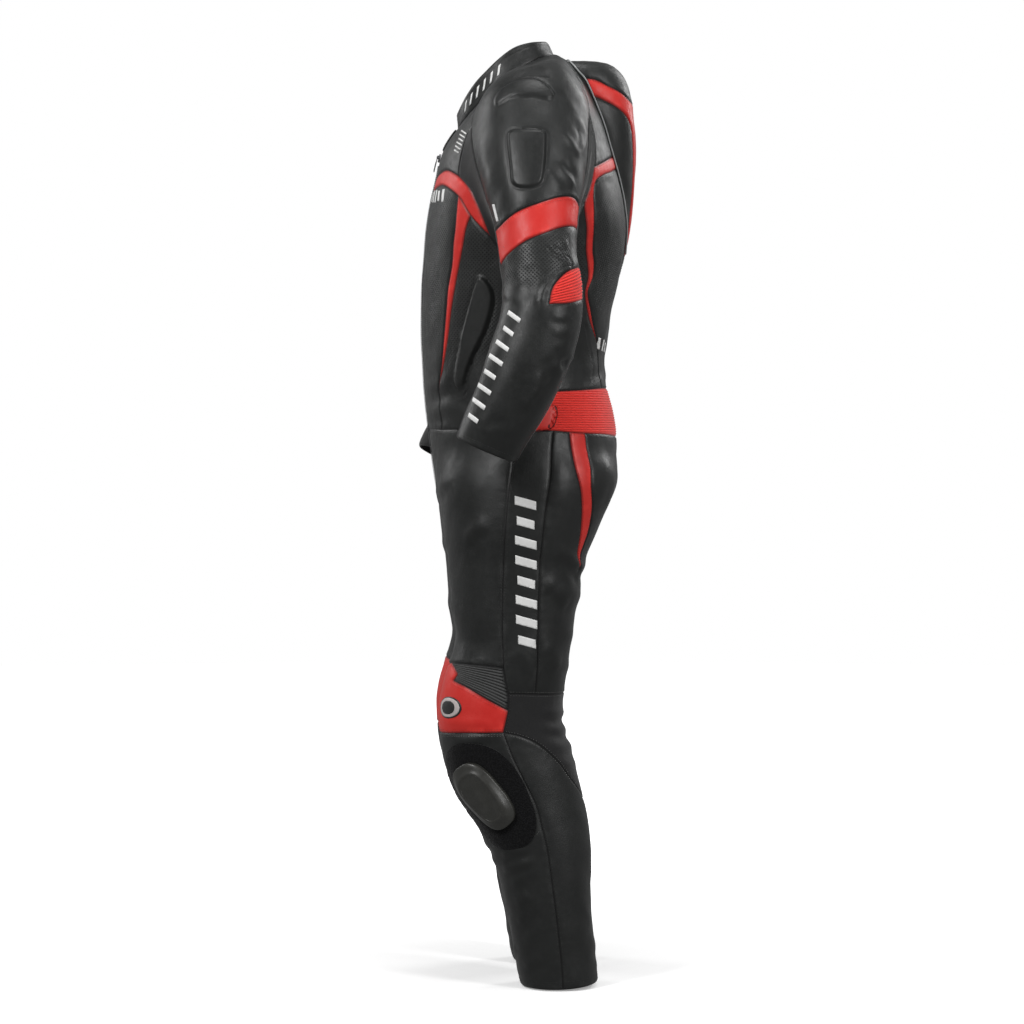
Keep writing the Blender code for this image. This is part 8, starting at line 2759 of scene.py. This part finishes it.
def make_slider(looks):
    foot, down, out = slider_frame()
    half, long_half, high = SLIDER
    base = SEAM_GAP + 0.0001
    shape = [(-half * 0.62, -long_half), (half * 0.62, -long_half), (half, -long_half * 0.45), (half, 0.0006),
             (half * 0.80, long_half * 0.72), (half * 0.42, long_half), (-half * 0.42, long_half),
             (-half * 0.80, long_half * 0.72), (-half, 0.0006), (-half, -long_half * 0.45)]

    def place(x, s, t):
        return Vector(foot + np.array([x, 0, 0]) + down * s + out * t)

    bm = bmesh.new()
    solid_outline(bm, ((shape, base), ([(x * 0.92, s * 0.95) for x, s in shape], base + high)), place)
    body_part = softened(bm, "slider_body", looks["zip_metal"], 0.00045)
    on_suit(body_part, ("zip_slider",))
    lug_in = PULL[0] + SEAM_GAP
    for word, x0 in (("left", lug_in), ("right", -lug_in - 0.0015)):
        bm = bmesh.new()
        cheek = [(-0.0033, 0.0), (0.0013, 0.0), (0.0013, LUG[2] * 0.62), (0.0006, LUG[2] * 0.95), (-0.0012, LUG[2]),
                 (-0.0026, LUG[2] * 0.84), (-0.0033, LUG[2] * 0.5)]
        verts = [[bm.verts.new(Vector(foot + np.array([x, 0, 0]) + down * s + out * (base + high - 0.0003 + t)))
                  for s, t in cheek] for x in (x0, x0 + 0.0015)]
        bm.faces.new(verts[0])
        bm.faces.new(verts[1][::-1])
        for i in range(len(cheek)):
            j = (i + 1) % len(cheek)
            bm.faces.new((verts[0][j], verts[0][i], verts[1][i], verts[1][j]))
        on_suit(softened(bm, "slider_lug_" + word, looks["zip_metal"], 0.0003), ())
    pivot = foot + down * -0.001 + out * PIVOT_HEIGHT
    a = np.arange(14) * 2 * math.pi / 14
    pin = []
    for x in (-lug_in - 0.0013, lug_in + 0.0013):
        pin.append(pivot + np.array([x, 0, 0]) + down * (0.0006 * np.cos(a))[:, None] + out * (0.0006 * np.sin(a))[:, None])
    pts = np.vstack(pin)
    faces = [tuple(range(13, -1, -1)), tuple(range(14, 28))] + [(i, (i + 1) % 14, (i + 1) % 14 + 14, i + 14) for i in range(14)]
    on_suit(new_mesh("slider_pin", pts, faces, looks["zip_metal"], sharp=40), ())

    near, far, length, thick = PULL
    hole = 0.0010
    outer = [(-near, -0.0014), (near, -0.0014), (near, 0.0045), (far, 0.0070), (far, length - 0.0030),
             (far - 0.0016, length - 0.0006), (far - 0.0030, length), (-far + 0.0030, length),
             (-far + 0.0016, length - 0.0006), (-far, length - 0.0030), (-far, 0.0070), (-near, 0.0045)]
    bm = bmesh.new()

    def hang(x, s, t):
        return Vector(pivot + np.array([x, 0, 0]) + down * s + out * t)

    solid_outline(bm, ((outer, -thick / 2), (outer, thick / 2)), hang)
    pull = softened(bm, "pull_tab", looks["zip_metal"], 0.00040)
    on_suit(pull, ("zip_pull",), "zip_pull")
    for word, t0, t1 in (("front", thick / 2 - 0.0001, thick / 2 + 0.0004),):
        bm = bmesh.new()
        grip = [(-far + 0.0012, 0.0085), (far - 0.0012, 0.0085), (far - 0.0012, length - 0.0042), (far - 0.0024, length - 0.0022),
                (-far + 0.0024, length - 0.0022), (-far + 0.0012, length - 0.0042)]
        solid_outline(bm, ((grip, t0), (grip, t1)), hang)
        on_suit(softened(bm, "pull_grip_" + word, looks["rubber_grip"], 0.00015), (), "zip_pull")


def declare_sheets():
    for obj in ALL:
        if "cut" not in obj:
            continue
        w, l, area = (float(v) for v in obj["cut"])
        share = area / (w * l)
        if share < 0.34:
            # a long curved band: the straight strip with its area and half its rim
            half_rim = max(float(obj["rim"]) / 2, 2.02 * math.sqrt(area))
            root = math.sqrt(max(half_rim**2 / 4 - area, 0.0))
            w, l = half_rim / 2 - root, half_rim / 2 + root
            area = w * l


# ---------------------------------------------------------------- the scene
def make_looks():
    return {
        # The last colour given to a leather is its painted shade in seams and grooves, which also colours its holes
        "red_leather": leather("red_leather", RED_BASE, RED_LIGHT, 0.42, (0.020, 0.002, 0.002)),
        "black_leather": leather("black_leather", BLACK_BASE, BLACK_LIGHT, 0.41),
        # black_stretch's third colour is the painted highlight on its ribs' crests; red_stretch's 0.42 is how dark the
        # painted shade in its ribs' valleys is
        "black_stretch": stretch_cloth("black_stretch", (0.0070, 0.0070, 0.0074), (0.0150, 0.0150, 0.0155), (0.075, 0.076, 0.075), 0.88),
        "red_stretch": stretch_cloth("red_stretch", (0.74, 0.024, 0.018), (0.86, 0.046, 0.032), None, 0.42, 0.80),
        "hook_and_loop": hooked("hook_and_loop"),
        "zip_tape": stretch_cloth("zip_tape", (0.0085, 0.0085, 0.0090), (0.017, 0.017, 0.018)),
        "zip_metal": plain("zip_metal", (0.10, 0.10, 0.105), (0.30, 0.30, 0.31), 0.34, 1.0, 500.0),
        "slider_plastic": plain("slider_plastic", (0.021, 0.021, 0.018), (0.040, 0.040, 0.036), 0.36, 0.0, 420.0, 0.00010),
        "rubber_grip": plain("rubber_grip", (0.012, 0.012, 0.012), (0.022, 0.022, 0.022), 0.62, 0.0, 600.0, 0.0001),
        "lining": stretch_cloth("lining", (0.010, 0.010, 0.011), (0.018, 0.018, 0.020)),
        "thread_dark": plain("thread_dark", (0.030, 0.031, 0.030), (0.060, 0.061, 0.060), 0.55, 0.0, 900.0, 0.0001, False),
        # pale grey thread: partly its own colour, partly painted sheen
        "thread_light": plain("thread_light", (0.17, 0.17, 0.165), (0.26, 0.26, 0.25), 0.60, 0.0, 900.0, 0.0001, False),
        "red_edge": leather("red_edge", (0.050, 0.003, 0.003), (0.080, 0.005, 0.004), 0.50, (0.010, 0.001, 0.001)),
        "thread_red": plain("thread_red", (0.24, 0.010, 0.008), (0.34, 0.018, 0.014), 0.55, 0.0, 900.0, 0.0001, False),
        "piping_grey": plain("piping_grey", (0.26, 0.27, 0.27), (0.38, 0.39, 0.39), 0.45, 0.0, 500.0, 0.0001, False),
        "white_print": plain("white_print", (0.70, 0.70, 0.69), (0.80, 0.80, 0.79), 0.50, 0.0, 240.0, 0.00008, False),
        "badge_rim": plain("badge_rim", (0.45, 0.40, 0.39), (0.60, 0.55, 0.54), 0.45, 0.0, 300.0, 0.0001, False),
        "badge_black": plain("badge_black", (0.012, 0.012, 0.012), (0.024, 0.024, 0.024), 0.38, 0.0, 300.0, 0.0001),
    }


def studio():
    scene = bpy.context.scene
    scene.view_settings.view_transform = "Standard"
    world = bpy.data.worlds.new("studio")
    world.use_nodes = True
    world.node_tree.nodes["Background"].inputs[0].default_value = (1.0, 1.0, 1.0, 1.0)
    world.node_tree.nodes["Background"].inputs[1].default_value = 0.30
    scene.world = world
    k = 96
    a = np.linspace(0, 2 * math.pi, k, endpoint=False)
    rings = [(0.0, 0)] + [(r, 0) for r in (0.5, 1.5, 4.0, 9.0)]
    pts, faces = [(0, 0, 0)], []
    for r in (0.5, 1.5, 4.0, 9.0):
        pts += [(r * math.cos(t), r * math.sin(t), 0) for t in a]
    faces += [(0, 1 + i, 1 + (i + 1) % k) for i in range(k)]
    for m in range(3):
        for i in range(k):
            j = (i + 1) % k
            faces.append((1 + m * k + i, 1 + (m + 1) * k + i, 1 + (m + 1) * k + j, 1 + m * k + j))
    floor = new_mesh("floor", np.array(pts) + [0, 0, CAD_BOX[0][2] - 0.0015], faces, smooth=False)
    ALL.remove(floor)
    k = Nodes("floor_pale_glowing")
    tone = k.noise(k.place(), 3.0, 2.0)
    k.join(k.mix(k.span(tone, 0.3, 0.7, 0.0, 1.0), (0.88, 0.88, 0.88), (0.90, 0.90, 0.90)), k.bsdf.inputs["Base Color"])
    k.bsdf.inputs["Roughness"].default_value = 0.7
    # The floor glows, which is painted light: at 0.3 near the middle, where the suit's shadow still shows, rising to
    # full from 1.6 m out, so that it fades into the white backdrop
    k.bsdf.inputs["Emission Color"].default_value = (1.0, 1.0, 1.0, 1.0)
    sep = k.add("ShaderNodeSeparateXYZ")
    k.join(k.place(), sep.inputs[0])
    far = k.math("SQRT", k.math("ADD", k.math("MULTIPLY", sep.outputs[0], sep.outputs[0]),
                                k.math("MULTIPLY", sep.outputs[1], sep.outputs[1])))
    k.join(k.span(far, 0.30, 1.6, 0.30, 1.0), k.bsdf.inputs["Emission Strength"])
    floor.data.materials.append(k.mat)
    floor.visible_diffuse = floor.visible_glossy = False
    bm = bmesh.new()
    bmesh.ops.create_uvsphere(bm, u_segments=48, v_segments=24, radius=14.0)
    bmesh.ops.reverse_faces(bm, faces=bm.faces[:])
    mesh = bpy.data.meshes.new("backdrop")
    bm.to_mesh(mesh)
    bm.free()
    dome = bpy.data.objects.new("backdrop", mesh)
    scene.collection.objects.link(dome)
    k = Nodes("backdrop_white")
    k.bsdf.inputs["Base Color"].default_value = (0.0, 0.0, 0.0, 1.0)
    k.bsdf.inputs["Specular IOR Level"].default_value = 0.0
    k.bsdf.inputs["Emission Color"].default_value = (1.0, 1.0, 1.0, 1.0)
    k.bsdf.inputs["Emission Strength"].default_value = 1.0
    mesh.materials.append(k.mat)
    for kind in ("diffuse", "glossy", "transmission", "volume_scatter", "shadow"):
        setattr(dome, "visible_" + kind, False)

    def lamp(name, at, aim, size, power):
        light = bpy.data.lights.new(name, "AREA")
        light.shape = "RECTANGLE"
        light.size, light.size_y = size
        light.energy = power
        obj = bpy.data.objects.new(name, light)
        obj.location = at
        obj.rotation_euler = (Vector(aim) - Vector(at)).to_track_quat("-Z", "Y").to_euler()
        scene.collection.objects.link(obj)

    lamp("key", (2.6, -2.4, 1.8), (0, 0, -0.5), (0.8, 1.2), 92)
    lamp("side", (2.6, 2.3, 1.0), (0, 0, -0.6), (0.6, 1.6), 56)
    lamp("top", (0.7, 0.3, 2.9), (0, 0, -0.3), (1.1, 1.1), 34)
    lamp("back", (-2.2, 2.4, 1.4), (0, 0, -0.4), (1.2, 1.8), 40)
    lamp("front", (-1.8, -2.8, 1.0), (0, 0, -0.5), (1.2, 1.8), 28)
    cam = bpy.data.cameras.new("camera")
    cam.sensor_width = cam.sensor_height = 36.0
    cam.sensor_fit = "HORIZONTAL"
    cam.lens = 36.0 * VIEW_D / (1024 * VIEW_UNIT)
    cam.clip_end = 80.0
    obj = bpy.data.objects.new("camera", cam)
    obj.location = VIEW_FROM
    obj.rotation_euler = Vector(VIEW_FWD).to_track_quat("-Z", "Y").to_euler()
    scene.collection.objects.link(obj)
    scene.camera = obj


def main():
    looks = make_looks()
    panels, seams, fine, dense = fine_panels()
    features = make_features()
    outer_faces, cuts = make_cloth(panels, features, looks)
    skin = Skin(outer_faces)
    make_collar(seams["neck"], looks)
    make_zip(seams, looks)
    make_tab(skin, looks)
    make_slider(looks)
    make_pucks(panels["knee_foot"], looks)
    make_stitches(seams, skin, looks)
    make_piping(seams, skin, looks)
    make_marks(skin, looks)
    make_waist_tabs(skin, looks)
    declare_sheets()
    studio()


main()
